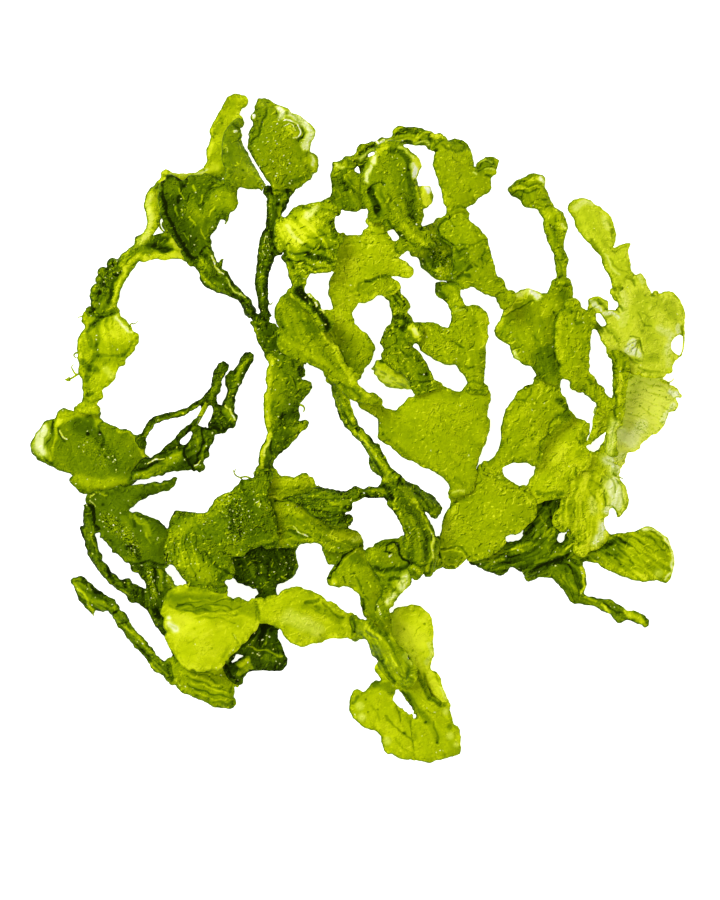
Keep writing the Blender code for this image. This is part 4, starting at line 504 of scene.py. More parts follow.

# The segments. tone runs from 0, near black-green, to 1, pale yellow; crisp is the strength of the fine
# patterns, depth that of the marks, ribs that of the ribs, and speck the share of painted glints of wet
# grains.
# core paints light on the middle of a stem and shade at its sides, and bleach pales a whole segment. Plan
# points are rows of x, y, x, y in millimetres.
# grain is the point that ribs fan out from, or the line they follow. A ball is x, y and radius, a wisp is
# its radius and route, and a hole is its outline. Each other row is a mark: its width, amount and route.
segments = {
    "arm_left": {
        "tone": 0.52, "crisp": 1.28, "depth": 1.1, "ribs": 0.5, "speck": 0.15,
        "grain": (-29, 30, -36, 29.5, -40, 26, -43, 19),
        "balls": [(-40.9, 27.3, 1), (-42.6, 26.1, 0.8), (-43.2, 24.8, 0.6), (-43.9, 23.1, 0.7),
            (-44, 21.9, 0.7), (-43.8, 20.6, 0.7), (-44.4, 19.7, 0.45), (-42.2, 24.2, 0.6),
            (-41.3, 25.3, 0.7), (-41.9, 23, 0.6), (-39.6, 27.3, 0.6), (-40.4, 26, 0.6)],
        "wisps": [(0.2, -33.3, 34.6, -32.9, 33.3, -32.2, 32.6),
            (0.16, -37.2, 31.6, -36.9, 31.1, -37.4, 30.3)],
        "dark": [(0.5, 0.3, -38.1, 29.4, -38.7, 27.8, -39.7, 26, -40.8, 24, -41.7, 21),
            (1.4, 0.22, -41, 27, -42.2, 24.5, -43, 22), (1.3, 0.3, -34.5, 30.8, -33.5, 31.6, -32.3, 31.2),
            (1, 0.4, -33.6, 30.2, -32.2, 29.6, -31.2, 30.2), (0.4, 0.2, -34.1, 39.4, -33.2, 40.2)],
        "lit": [(0.7, 0.3, -36.6, 28.7, -38.6, 27.2, -39.4, 25.6, -40.3, 23.5, -40.6, 20.5),
            (0.6, 0.25, -38.3, 29.3, -39.2, 27.6, -39, 26.3), (1.1, 0.4, -31, 30.8, -29.6, 29.9,
            -29.2, 28.9, -31.5, 28.6, -35.5, 28.3), (1.7, 0.3, -34.2, 38.8, -34.4, 36.2, -34.2, 34.6,
            -35.2, 32.2)],
        "pale": [(1, 0.36, -35, 38.6, -35.3, 36.6, -34.7, 34.4, -35.4, 32.4, -36.5, 31)],
        "glint": [(0.2, 0.8, -41.4, 26.5, -40.1, 25.9, -39.4, 26.2, -43.4, 23.2, -41.3, 20.3)],
        "spot": [(0.5, 0.35, -40.9, 27.2, -40.3, 25.6, -42.4, 24, -43.1, 22.6, -44.2, 19.8)],
        "sparkle": [(1.5, 0.9, -40.6, 27.2, -41.6, 25.6, -42.8, 23.4)],
    },
    "leaf_left": {
        "tone": 0.72, "crisp": 0.8, "ribs": 0.35, "speck": 0.2, "grain": (-43, 19, -42, 12, -45, 5),
        "wisps": [(0.15, -45.2, 19.1, -46.2, 18.7, -46.9, 18.5),
            (0.14, -37.9, 16.3, -37.9, 17.4, -37.4, 17.4, -36.7, 17.9),
            (0.16, -46.7, 12.7, -47.5, 12.3, -47.4, 11.9, -46.7, 11.7),
            (0.17, -46.4, 9.2, -47.1, 9, -47.7, 9.7, -47.9, 10.2, -47.6, 10.7),
            (0.18, -46.9, 9, -48, 8.3, -48.6, 8.1, -49.1, 8.1), (0.38, -48.2, 8.2, -48.6, 8.1, -48.8, 8.1)],
        "dark": [(0.6, 0.4, -44.5, 17.4, -43.4, 18.1, -42.8, 18.4), (0.5, 0.35, -45.2, 16.3, -44, 17.3),
            (0.6, 0.22, -45.2, 15.5, -44.2, 13.5, -43.5, 13.9),
            (0.9, 0.35, -46.2, 11.2, -45, 10.2, -43.6, 9.6), (0.9, 0.22, -45.4, 8.3, -45.1, 7),
            (0.5, 0.4, -45.4, 5.6, -44.5, 5.9), (0.9, 0.12, -44.4, 11.8, -42.2, 11.2)],
        "lit": [(2.4, 0.15, -42, 16, -39, 16), (1.4, 0.12, -43, 8.5, -41.4, 9.6),
            (0.4, 0.2, -46.4, 15.5, -46.6, 13.5, -46.5, 10.6)],
        "fold": [(0.7, 0.25, -43.4, 17.5, -43.6, 13, -44.6, 10.6, -45.5, 8),
            (0.35, 0.22, -43.6, 11.9, -42.2, 12.3, -40.3, 11.8, -38.2, 12.9, -37.2, 14.8),
            (0.3, 0.18, -41.9, 18.9, -42.2, 17.4, -41.4, 16.5, -40.8, 16.8),
            (0.3, 0.2, -45.8, 4.9, -44.4, 4.4, -43.2, 4.5)],
        "pale": [(0.8, 0.3, -42, 10, -41.2, 8.6), (0.5, 0.7, -40.6, 18.3, -38.8, 17, -37.9, 16)],
        "glint": [(0.22, 0.9, -43.7, 15.5, -43.75, 14.8, -43.5, 13.1, -40.1, 13.1, -44.7, 18.7)],
    },
    "leaf_far_left": {
        "tone": 0.465, "crisp": 0.72, "ribs": 0.15, "speck": 0.35, "grain": (-44.9, -11.7),
        "dark": [(2.2, 0.14, -46.8, 0.6, -44.5, -0.6), (1.6, 0.14, -43.2, -2, -41.5, -4.5, -40.8, -6.5),
            (0.35, 0.3, -51.2, 1, -50.9, -1, -51.3, -3, -51.3, -5.2), (0.3, 0.25, -54.3, -2.8, -53.6, -4,
            -52.3, -5.2, -51.2, -6), (0.3, 0.3, -50, -0.2, -49.9, -1.2, -49.2, -2.2)],
        "lit": [(1.3, 0.28, -50, 1.4, -49.2, 2.2, -46.5, 2.6, -45, 3.4),
            (0.9, 0.25, -44.8, 3.6, -43.8, 1.6, -43.5, 0.4),
            (0.6, 0.3, -50.2, 1, -50.6, -1, -51.2, -3, -51.5, -5.2), (1.4, 0.2, -47.2, -8.4, -44.5, -9.3,
            -41.5, -9.2, -39.2, -9.2), (0.4, 0.25, -40.2, -0.3, -38.2, -0.8, -36.3, -3, -35.8, -5)],
        "fold": [(0.14, 0.3, -51.6, -0.2, -52.6, -1.8, -52.4, -3.6), (0.14, 0.25, -52.8, 0, -53.4, -1.6),
            (0.14, 0.25, -51.6, -1.6, -52.4, -2.8), (0.4, 0.2, -43.4, 0.3, -42.8, -1, -42.6, -3)],
        "pale": [(1.45, 0.95, -52.5, -0.2, -53.4, -1.4, -53.5, -2.8, -52.9, -4)],
        "gleam": [(0.2, 0.7, -49.7, -0.5, -49.5, -1.3, -48.9, -1.8)],
        "glint": [(0.2, 0.9, -41, -4.7, -40.6, -5.3, -40.4, -7, -40.4, -7.3, -41.8, -4.8, -38, -4.6,
            -42.5, -3.5, -44.8, -9.4, -47.2, -9.3)],
        "spot": [(0.5, 0.3, -43.3, 0.4, -43.2, -0.9, -45.2, -1)],
        "sparkle": [(3.2, 0.5, -45, -3, -41.5, -5)],
    },
    "heart_dark": {
        "tone": 0.37, "crisp": 1.07, "depth": 1.3, "ribs": 0.12, "speck": 0.25, "grain": (-27, 26.5),
        "wisps": [(0.26, -22.9, 34.9, -22.2, 35, -21.9, 34.5, -22.1, 34)],
        "dark": [(2.2, 0.14, -31.2, 37.5, -29.6, 33, -28.2, 30), (0.4, 0.34, -32.6, 41, -32.4, 38,
            -31.2, 34.2, -29.2, 30.6, -27.2, 27.6), (0.5, 0.18, -31.6, 41.7, -30.3, 42, -29.4, 41.4)],
        "lit": [(2.4, 0.17, -24, 37.8, -22, 38.2, -20.9, 37.5), (1.2, 0.1, -26.3, 35.8, -24.3, 35.4),
            (1, 0.08, -25.6, 32.4, -24.2, 34), (0.22, 0.3, -29.8, 39.6, -29, 38.3),
            (0.2, 0.3, -27.6, 40.2, -27, 39.2), (0.2, 0.3, -25.7, 38.8, -26.5, 37.2),
            (0.2, 0.26, -23.9, 36.6, -24.8, 35), (0.2, 0.26, -28, 35, -27.2, 33.6),
            (0.2, 0.26, -26, 33, -25.4, 31.6), (0.2, 0.26, -30.4, 36.6, -29.8, 35.2),
            (0.18, 0.25, -24.4, 40, -23.2, 40.4), (0.18, 0.25, -28.9, 32.6, -28.2, 31.4),
            (1.4, 0.1, -27.6, 36.8, -26.4, 34.4)],
        "fold": [(0.45, 0.22, -30, 41.6, -29.4, 40.4, -29.2, 39, -30, 37.4),
            (0.35, 0.2, -28.3, 41.9, -29, 40.2), (0.5, 0.17, -24.2, 40.6, -25.2, 38.6, -26.4, 37),
            (0.35, 0.16, -21.8, 40.9, -23.6, 40, -25, 37.8)],
        "glint": [(0.22, 0.85, -26.2, 36.3, -29.3, 36.3, -27.6, 29, -26.3, 38.2, -29.4, 38.1)],
        "sparkle": [(4, 0.3, -27, 38)],
    },
    "finger_top": {
        "tone": 0.83, "crisp": 0.81, "depth": 1.3, "ribs": 0.15, "grain": (-20, 55, -24, 47, -25, 43),
        "balls": [(-23.2, 42, 0.5)],
        "dark": [(1, 0.16, -24.4, 48.8, -23.6, 50.2, -22.8, 51.7), (1, 0.1, -21.2, 54.2),
            (1.2, 0.06, -23.5, 45.6, -23.2, 47), (0.4, 0.25, -33.1, 38.6, -32.6, 37, -32.9, 35.4),
            (1.2, 0.2, -24.2, 41.8, -22.6, 42.6, -21.4, 42.6)],
        "lit": [(0.6, 0.1, -20, 53, -20.6, 51, -21.9, 48.5), (0.6, 0.12, -25.1, 45, -24.5, 47.6, -24.6, 50),
            (1.2, 0.1, -25.2, 43.2, -23.8, 43.6), (0.9, 0.12, -32.4, 42.6, -32.2, 40, -32.8, 38, -33, 36.5),
            (0.3, 0.15, -23.8, 42.3, -22.6, 42.9)],
        "fold": [(0.3, 0.3, -32.2, 42.3, -31, 41.9)],
        "pale": [(0.45, 0.7, -31.2, 42.4, -28.8, 42.5, -26.4, 42.6, -25.4, 43),
            (0.3, 0.7, -24.8, 41.6, -24, 41.4, -23, 41.6)],
        "spot": [(0.3, 0.2, -22.7, 51, -23.9, 49.2), (0.2, 0.4, -25.6, 43)],
    },
    "wedge_top": {
        "tone": 0.565, "crisp": 0.92, "ribs": 0.12, "grain": (-20.5, 50, -17, 40.5),
        "dark": [(0.9, 0.08, -21.2, 47.5, -21.2, 42)],
        "lit": [(1, 0.1, -18.8, 43.5, -16.5, 41.6)],
        "fold": [(0.25, 0.2, -20.6, 50.6, -20, 49.6)],
        "gleam": [(0.3, 0.8, -20.8, 49.4, -20.3, 49.3), (0.22, 0.6, -21.8, 46.6, -21.8, 46)],
        "glint": [(0.2, 0.8, -15.6, 41.5, -15.2, 41, -15, 40.5, -18, 43.6, -15.9, 40.1)],
        "spot": [(0.32, 0.22, -19.1, 42.8, -19, 46.9)],
    },
    "fan_top": {
        "tone": 0.58, "crisp": 1.38, "ribs": 0.12, "speck": 0.25, "grain": (-14.5, 39.3),
        "dark": [(1, 0.08, -17.6, 48, -16.9, 51, -16.4, 54), (0.35, 0.3, -18.1, 46.6, -17.4, 45,
            -16.4, 43.3, -15.7, 42), (0.6, 0.2, -11.8, 40.3, -10, 41.3, -8.5, 41.5)],
        "lit": [(0.5, 0.3, -18.4, 47.8, -18.3, 46.9), (0.7, 0.15, -16.1, 53.8),
            (1, 0.06, -13, 53.2, -11.4, 52, -9.9, 51.7, -8.4, 50.4, -8, 48.6),
            (0.9, 0.2, -11.2, 49.6, -10.6, 48.8), (0.9, 0.2, -8.4, 44.4, -7.2, 44.4, -7.4, 42.9)],
        "fold": [(0.32, 0.3, -15.1, 53, -15.9, 50.6, -16.7, 48.3, -17.8, 46.9),
            (0.3, 0.3, -13.6, 53, -13.4, 52.2, -13, 51.3), (0.35, 0.35, -12.9, 51.4, -12.2, 52.2,
            -11, 52.2, -9.8, 51.4, -9.2, 50.2, -9.1, 48.6, -9.8, 47.9),
            (0.22, 0.15, -8.6, 45.4, -8.3, 44.2, -8.6, 43), (0.25, 0.22, -12, 41.6, -12.6, 40.4)],
        "pale": [(1.1, 0.84, -11.2, 52.2, -9.9, 51.7, -8.6, 50.4, -7.8, 49.2, -8.3, 47.8, -8.7, 46.6),
            (0.9, 0.9, -13, 53.2, -12.6, 52.4, -12.8, 51.8), (0.4, 0.7, -7.9, 45.3, -7.3, 44.6, -7.4, 43.7)],
        "gleam": [(0.4, 0.9, -17.4, 51.7, -17.3, 51.5), (0.17, 0.9, -12.2, 51, -10.9, 51, -9.9, 50.5,
            -9.7, 49.2, -9.9, 48.4, -10.8, 48.2), (0.14, 0.8, -12.1, 50, -11.2, 50.5, -10.6, 50.2,
            -10.4, 49.4)],
        "glint": [(0.2, 1, -14.5, 44.5, -14.1, 44.2, -13, 43.5, -12.7, 43.2, -11.6, 44.4, -11.4, 43.9,
            -11.8, 43.1, -11.3, 42.5, -13.4, 42.2, -13.6, 41.8, -9.8, 44.4, -9.5, 43.5, -12.3, 45.2,
            -11.3, 46.5, -13.4, 47.1, -13.6, 49.1, -13.4, 50.5, -14.4, 50, -16.2, 45.5, -17.1, 46.7,
            -9.4, 47.4, -16.4, 44.1, -13.7, 47.6, -16.3, 43.3), (0.24, 0.9, -13.2, 51.1, -11.3, 40.6,
            -15.8, 47.4, -14.9, 47.5)],
        "sparkle": [(3.6, 0.35, -13, 45)],
        "lump": [(1, 0.6, -11.2, 49.4)],
    },
    "stem_top": {
        "tone": 0.235, "crisp": 1.42, "core": 0.12, "ribs": 0.6,
        "grain": (-13.5, 40, -14.3, 34, -15.5, 29, -16, 24, -15.5, 18.4),
        "wisps": [(0.14, -14.9, 20.7, -14.5, 20.6, -14.2, 20.9)],
        "lit": [(0.45, 0.16, -14.7, 38.8, -14.5, 35), (0.5, 0.24, -12.2, 39.2, -12.5, 37.5, -13.1, 36,
            -13.3, 33.6), (0.35, 0.2, -16.3, 31.5, -16.6, 29, -16.9, 26),
            (0.45, 0.14, -16.2, 27, -16.2, 24, -15.8, 20)],
        "fold": [(0.35, 0.2, -15.6, 32.8, -14.8, 32.5, -13.7, 32.6),
            (0.25, 0.18, -16.6, 26.4, -15.9, 26.7, -15.3, 26.6)],
        "gleam": [(0.1, 0.6, -15.4, 31.8, -15.6, 30.6), (0.1, 0.6, -15.8, 29.4, -15.5, 28.5),
            (0.1, 0.6, -14.7, 30.6, -14.5, 29.9), (0.22, 0.8, -14.1, 39.4, -13.8, 39.7)],
        "glint": [(0.15, 0.9, -15.2, 30.2, -15, 29.5, -14.9, 31.4, -15.3, 29, -14.6, 28.8), (0.17, 0.9,
            -15.9, 27.9, -16, 26.8, -16.2, 25.9, -16.4, 24.6, -16.3, 23.5, -15.8, 22.3, -15.8, 20.4,
            -15.9, 19.5, -14.7, 36.8, -14.4, 35.4, -14.6, 33.7, -15.9, 22, -13.1, 37.9, -13.8, 30.3)],
        "spot": [(0.55, 0.25, -13.2, 37.1, -12.7, 37), (0.45, 0.25, -14.3, 31.8, -14.2, 30.5, -13.8, 29.9,
            -14.3, 29)],
        "sparkle": [(0.8, 0.8, -15, 31.6, -15, 28.6)],
    },
    "bar_heart": {
        "tone": 0.355, "crisp": 1.35, "core": 0.08, "ribs": 0.8,
        "grain": (-27, 29.5, -24, 25.5, -20, 22.2, -17.5, 19),
        "balls": [(-18.1, 19.6, 0.95)],
        "wisps": [(0.3, -22.9, 27, -22.8, 27.8, -22.5, 28.1)],
        "dark": [(0.6, 0.15, -24.2, 28, -22, 25.8, -20.7, 24), (0.6, 0.12, -24, 23.6, -20.8, 22.2),
            (1, 0.2, -18.1, 19.6)],
        "lit": [(0.55, 0.16, -26.2, 26, -25.6, 24.4, -23, 22.9), (0.7, 0.25, -26.6, 28.6, -26, 27.2)],
        "fold": [(0.9, 0.12, -25, 25.6, -23, 25, -21, 23.5)],
        "pale": [(0.26, 0.7, -22, 24.9, -21.3, 23.8, -20.2, 22.6, -18.9, 21.7)],
        "gleam": [(0.2, 0.6, -24.4, 28.6, -23.6, 27, -22.4, 25.4)],
        "glint": [(0.2, 0.85, -25.5, 24.3, -23, 26, -22.5, 23.9, -21.3, 23.5, -27.6, 29, -24, 27.6,
            -18.2, 20.5, -18.5, 19.8)],
        "spot": [(0.6, 0.25, -25.2, 28.6, -19.2, 21, -17.5, 17.8)],
    },
    "leaf_ragged": {
        "tone": 0.435, "crisp": 1.41, "depth": 1.2, "ribs": 0.35, "speck": 0.2, "grain": (-9, 13, -16, -3),
        "balls": [(-16.1, 17.6, 0.9), (-17.2, 18.5, 0.6)],
        "wisps": [(0.2, -10.1, 3.9, -9.4, 3.8, -8.95, 3.3, -9.1, 2.7)],
        "dark": [(2.2, 0.12, -15.5, 17, -14.6, 13.5), (1.2, 0.18, -12.2, 2.2, -10.8, 2.2, -10.4, 3.4),
            (0.9, 0.15, -12.6, 0.6, -12.8, 2), (0.6, 0.25, -9.7, 10.2, -9.3, 8.8),
            (1.6, 0.1, -13.2, -0.8, -12, -1.5, -13.2, -3.4), (0.7, 0.12, -15.4, -5, -15.3, -6.8)],
        "lit": [(0.35, 0.25, -17.3, 17.4, -16.8, 15.6), (1, 0.34, -14.6, 11.6, -15, 8, -15.2, 4, -15, 0,
            -15, -1.5), (1.6, 0.12, -13.4, 8.8, -13.5, 5), (0.9, 0.1, -9.6, 7.2, -8.2, 7.3),
            (0.55, 0.42, -14.6, -1.2, -15.6, -3.4, -16.1, -5.4, -15.9, -6.8),
            (0.5, 0.1, -10.6, -0.4, -8.9, 0.9)],
        "ridge": [(0.22, 0.22, -11.3, 8.7, -10.7, 7.2, -9.8, 5.6)],
        "fold": [(0.3, 0.2, -15.4, 18.6, -15.2, 16.8), (0.25, 0.15, -15.2, 15.4, -14.4, 15.2),
            (0.3, 0.25, -10.9, 8.2, -10.3, 6.6, -9.9, 5.9),
            (0.3, 0.25, -14.5, -1.6, -14.6, -3.4, -14.2, -4.4),
            (0.25, 0.2, -12.9, 12.7, -11.4, 12, -10.6, 10)],
        "pale": [(0.25, 0.4, -14.7, -2, -15.4, -3.2, -15.6, -4.4)],
        "glint": [(0.22, 0.8, -12.9, 12.4, -13.3, 11.3, -14.2, 10.4, -12.6, -1.5, -10, 8.2, -14.6, 6.5,
            -13.8, 6.4, -14, 12.5, -11.4, 4, -13.3, 1.9)],
    },
    "bright_fan": {
        "tone": 0.619, "crisp": 1.87, "depth": 1.15, "ribs": 0.7, "speck": 0.1, "grain": (-16, 40),
        "dark": [(1, 0.12, -6.2, 35, -5, 34.4), (0.8, 0.4, -8.2, 28.4, -6.2, 28, -4.7, 27.6),
            (0.9, 0.2, -12.3, 28.6, -11.2, 26.8), (0.8, 0.28, -4.4, 34, -3.7, 31.6),
            (0.9, 0.14, -9.8, 25.4, -9.4, 23.6), (2.2, 0.1, -6, 31.2, -6, 29),
            (1, 0.55, -10, 22.8, -8.9, 21.6, -7.8, 20.8, -6.4, 19, -5.5, 17.6, -5.2, 16.4)],
        "lit": [(3, 0.26, -11.5, 33, -10, 31.6, -8, 34), (0.3, 0.3, -8.2, 20.9, -7.8, 20.4),
            (0.3, 0.25, -6.9, 18.9, -6.5, 18.2)],
        "ridge": [(0.3, 0.22, -9.6, 34.2, -7.4, 32.8, -5.8, 30.9, -4.6, 28.6)],
        "fold": [(0.35, 0.2, -7.9, 34.4, -6.9, 34.8, -6.6, 35.8),
            (0.35, 0.25, -11.2, 29, -9.2, 28.7, -7.4, 28.9),
            (0.4, 0.3, -11.4, 27.8, -9, 27.3, -7, 26.4, -5.4, 26.2),
            (0.35, 0.25, -10.8, 26.6, -8.6, 26.2, -7.6, 25.6),
            (0.35, 0.22, -9.6, 30.2, -7.2, 29.7, -5.4, 29.4, -4, 30.2),
            (0.3, 0.2, -8.6, 31.6, -6.6, 31.4, -4.8, 32)],
        "pale": [(0.4, 0.5, -11.9, 33.4, -9.3, 30.4), (0.8, 0.6, -8.4, 34.8, -7, 36.4),
            (0.5, 0.5, -8.2, 22.6, -7.4, 22)],
        "gleam": [(0.3, 0.7, -8.3, 22.3, -7.6, 21.7), (0.24, 0.8, -7.1, 20.9, -6.9, 20.2),
            (0.22, 0.7, -6.2, 19.5, -5.6, 19)],
        "glint": [(0.18, 0.8, -8.7, 21.6, -8, 20.6, -7.4, 19.9, -6.9, 19, -6.3, 18, -5.9, 17, -8.2, 21.4),
            (0.22, 0.8, -7.3, 27, -6.2, 27.3, -5.6, 27.2, -9.2, 26.1, -7.2, 28.6, -5.4, 17.1, -4.3, 29.5)],
    },
    "diagonal_leaf": {
        "tone": 0.621, "crisp": 1.14, "ribs": 0.35,
        "grain": (-11.5, 21, -8.5, 15.5, -5, 11, -1, 7, 2.5, 4.8),
        "dark": [(1.2, 0.17, -11.4, 21.3, -9.7, 19.5, -8.4, 17.5, -7, 15),
            (1, 0.1, -13.2, 19, -12.5, 17, -12.8, 15.8), (0.9, 0.08, -6, 13.4, -3.4, 10)],
        "lit": [(0.35, 0.2, -9.3, 19.4, -8.6, 17.9), (0.8, 0.08, -12.4, 14.4, -9.6, 13.2, -6, 11),
            (0.5, 0.2, -1.3, 7.9, -0.9, 7.2)],
        "ridge": [(0.4, 0.36, -10.9, 22.3, -9.2, 20.5, -8.1, 19.8, -7.1, 18.3, -6.3, 16.4, -5.3, 15),
            (0.6, 0.26, -4.9, 14.4, -3.3, 12.6, -2.7, 10.6, -1.1, 8.6, 0.5, 6.4, 1.9, 5.2)],
        "fold": [(0.3, 0.25, -3, 7.6, -1, 6.2, 0.5, 5.2), (0.3, 0.2, -12.9, 17.4, -12.5, 16.4),
            (0.22, 0.15, -10.9, 15.4, -10.4, 14.7)],
    },
    "small_leaf_top": {
        "tone": 0.495, "crisp": 1.4, "ribs": 0.5, "grain": (-3, 43.5, -1, 37),
        "dark": [(1, 0.2, -3, 41.6, -2.4, 39.8, -1.4, 40.6), (1, 0.1, -4, 38.6, -3.3, 37.5)],
        "lit": [(1.2, 0.14, -1.4, 42, 0.2, 40.6), (0.9, 0.2, -3.7, 43.4, -2.2, 43.7),
            (1.2, 0.05, -0.6, 37.2)],
        "ridge": [(0.2, 0.2, -2.4, 41.9, -1, 40.2, 0.1, 39.2),
            (0.18, 0.2, -3.6, 39.6, -2.9, 38.4, -3.6, 37.9)],
        "fold": [(0.3, 0.22, -2.6, 40.9, -1.4, 39.6, -0.6, 39.2)],
        "pale": [(0.5, 0.4, -3.6, 43.8, -2.6, 43.2)],
    },
    "mitten": {
        "tone": 0.805, "crisp": 1.75, "ribs": 0.1, "speck": 0.06, "grain": (-3, 18),
        "dark": [(1.3, 0.12, 3.3, 33.8), (0.8, 0.1, 1.4, 32.6), (1.5, 0.16, 1, 23, 3, 23.7, 5.6, 24),
            (1.4, 0.06, 2, 26.4, 5, 26)],
        "lit": [(1, 0.12, 6.6, 28, 8.6, 26.6), (0.25, 0.25, 5.3, 23.3, 6, 23.8, 6.4, 24.6)],
        "fold": [(0.25, 0.2, 2, 33.6, 2.2, 32.4, 3.2, 31.9, 4.4, 32.3, 4.8, 33.4),
            (0.5, 0.45, 1.4, 24.3, 3, 24.8, 4.6, 25.2),
            (0.25, 0.15, -2.3, 23.4, -1.2, 22.7, -0.3, 23.2, 0.1, 22),
            (0.3, 0.2, -0.1, 22.8, 0.4, 23.9, 1.6, 24.2), (0.2, 0.12, -0.6, 31, 1.6, 30.4, 2.6, 31),
            (0.2, 0.1, 0.3, 29, 1.6, 28.3)],
        "pale": [(0.35, 0.4, 7.4, 28.3, 8.8, 27.2)],
        "glint": [(0.2, 0.6, 0.3, 31, -3.6, 31.6, -1.5, 21.2)],
        "spot": [(0.3, 0.15, 1.2, 25.3, 5, 26.9, -2.9, 27.4)],
    },
    "disc_mid": {
        "tone": 0.65, "crisp": 1.16, "ribs": 0.12, "speck": 0.12, "grain": (-1, 8.7),
        "dark": [(2.4, 0.15, -2, 13, -1.2, 10, 0.4, 9.6), (0.9, 0.12, 2, 11, 2.4, 13)],
        "lit": [(1.8, 0.09, 0, 16, -2, 17.3), (0.4, 0.15, -4.8, 17, -4.4, 14.8)],
        "fold": [(0.25, 0.18, -4.2, 17.4, -3.9, 15.2)],
        "glint": [(0.22, 0.5, -2.4, 14.4, -2.5, 12.8)],
    },
    "arch_top": {
        "tone": 0.551, "crisp": 1.92, "core": 0.06, "ribs": 0.8,
        "grain": (-1.5, 44, 1.5, 46.8, 5, 47.8, 9, 48.6, 13.5, 48),
        "balls": [(2, 46.4, 0.6)],
        "dark": [(0.5, 0.25, 2.4, 46.8, 2.7, 46.6), (0.35, 0.35, 3.8, 46.9, 5, 47),
            (0.4, 0.2, 5.5, 47.4, 9, 47.5), (0.45, 0.45, 6.7, 49.2, 7.6, 49.1),
            (0.7, 0.25, 8.1, 49.6, 9.8, 49.4, 10.2, 48.8), (0.5, 0.25, 11.9, 48.7, 11.8, 47.7),
            (1, 0.25, 0.9, 43.8, 1.2, 42.8)],
        "lit": [(0.6, 0.28, -1.8, 44.4, -0.6, 44.9, 0, 45.6), (0.4, 0.3, 5.9, 49, 6.3, 49.8, 7.6, 50.3),
            (0.4, 0.15, 8.6, 50, 10.2, 49.9), (1, 0.5, 12.9, 48.8, 13.5, 48, 13.1, 47.4)],
        "ridge": [(0.35, 0.3, 4.5, 47.5, 7, 47.9, 9.5, 48, 11, 48.8, 12, 49.2)],
        "fold": [(0.35, 0.3, 0.4, 45.7, 1.6, 46.3, 2.6, 46.9)],
        "pale": [(0.45, 0.6, 0.2, 44.8, 1.5, 45.6, 2.8, 46.3),
            (0.35, 0.55, 9.6, 47.5, 11.2, 47.6, 12.2, 47)],
        "gleam": [(0.45, 0.9, 3, 47.7, 3.5, 47.1, 4.1, 47.9)],
        "glint": [(0.2, 0.8, 4.9, 47.8, 7.4, 47.8)],
        "spot": [(0.3, 0.25, 0.5, 44, 1.4, 43.4, 10.3, 47.9)],
    },
    "hood": {
        "tone": 0.565, "crisp": 1.44, "ribs": 0.22, "speck": 0.12, "grain": (6, 46, 5, 40, 7, 34, 12, 29),
        "dark": [(0.7, 0.3, 5.4, 46, 6.8, 45.8, 7.9, 44.8, 8.5, 43),
            (0.9, 0.25, 8.4, 42.6, 8.7, 40, 9.2, 37.8), (0.9, 0.12, 7.4, 42, 7, 38.6),
            (0.9, 0.42, 2.3, 39.4, 2.6, 37.8, 3.1, 36.2), (0.7, 0.3, 3, 36.6, 3.6, 35.2),
            (1.1, 0.3, 8, 37.6, 8.8, 36.2, 9.4, 35.2), (0.5, 0.4, 4.9, 34.2, 6.4, 32.4, 7.6, 31.6),
            (0.6, 0.3, 8.6, 35.2, 9.8, 33.6, 10.8, 32.6)],
        "lit": [(0.9, 0.25, 2.5, 44.4, 3.2, 45.6, 4.6, 46.4), (0.3, 0.15, 3, 39.2, 3.6, 37.4),
            (0.9, 0.5, 9.6, 44.4, 10, 43.6, 9.7, 42.7), (1.1, 0.5, 11, 40.4, 11.4, 38.6, 11.3, 37.4),
            (0.7, 0.16, 7.6, 33.4, 9.4, 31.6, 11.6, 29.8)],
        "ridge": [(0.3, 0.2, 9, 41.4, 9.9, 39, 10.1, 37.4)],
        "fold": [(0.28, 0.35, 1.8, 38.9, 1.9, 39.9, 2.7, 40.5, 3.6, 40.6, 4.2, 40.2),
            (0.3, 0.2, 3.8, 39.2, 4.4, 37.2, 5.4, 35.8), (0.25, 0.22, 5.2, 38.6, 5.9, 37.2, 7.1, 36),
            (0.25, 0.25, 7.3, 31.3, 8.6, 30.9, 9.2, 30.2)],
        "pale": [(0.6, 0.9, 2.1, 43.3, 1.7, 42, 1.3, 40.8), (0.6, 0.7, 2.9, 45.2, 2.4, 44),
            (0.4, 0.5, 6.8, 46.4, 8.3, 45.7, 9.2, 44.9), (0.7, 1, 10.7, 40.9, 11.2, 40, 11.8, 39.4),
            (0.7, 0.9, 8.9, 43.6, 9.6, 42.6, 9.4, 41.6)],
        "gleam": [(0.2, 0.5, 1.9, 43, 1.6, 41.8)],
        "glint": [(0.24, 0.8, 9.6, 35.4, 9.7, 33.7, 5.7, 44.8, 6.5, 44.6, 7.7, 42.9, 7.3, 41.8, 7.4, 39.4,
            7.2, 38, 7.3, 31.9, 10.2, 37.9)],
    },
    "heart_right": {
        "tone": 0.68, "crisp": 1.0, "ribs": 0.1, "speck": 0.05, "grain": (16.4, 34),
        "dark": [(1, 0.12, 15.5, 47, 18, 47.2), (1.3, 0.16, 20.6, 43.2, 22.2, 44.2),
            (0.4, 0.35, 21.3, 42, 22.3, 41.7), (0.9, 0.08, 16.6, 36)],
        "fold": [(0.35, 0.25, 13.9, 47.2, 15, 46.2, 16.5, 46, 18, 46.7, 18.5, 46.2),
            (0.25, 0.2, 15.2, 47.6, 16.4, 48, 17.8, 47.3, 18.6, 46.4), (0.25, 0.18, 15.8, 44.7, 16.6, 44.4),
            (0.22, 0.25, 19.8, 43.4, 21, 44.2, 22.6, 44.1), (0.22, 0.22, 20, 42.8, 21.5, 43.4, 22.9, 43.4),
            (0.25, 0.25, 15.5, 36, 16, 36.7, 17, 37, 17.6, 36.4), (0.2, 0.15, 15, 38.3, 15.8, 38)],
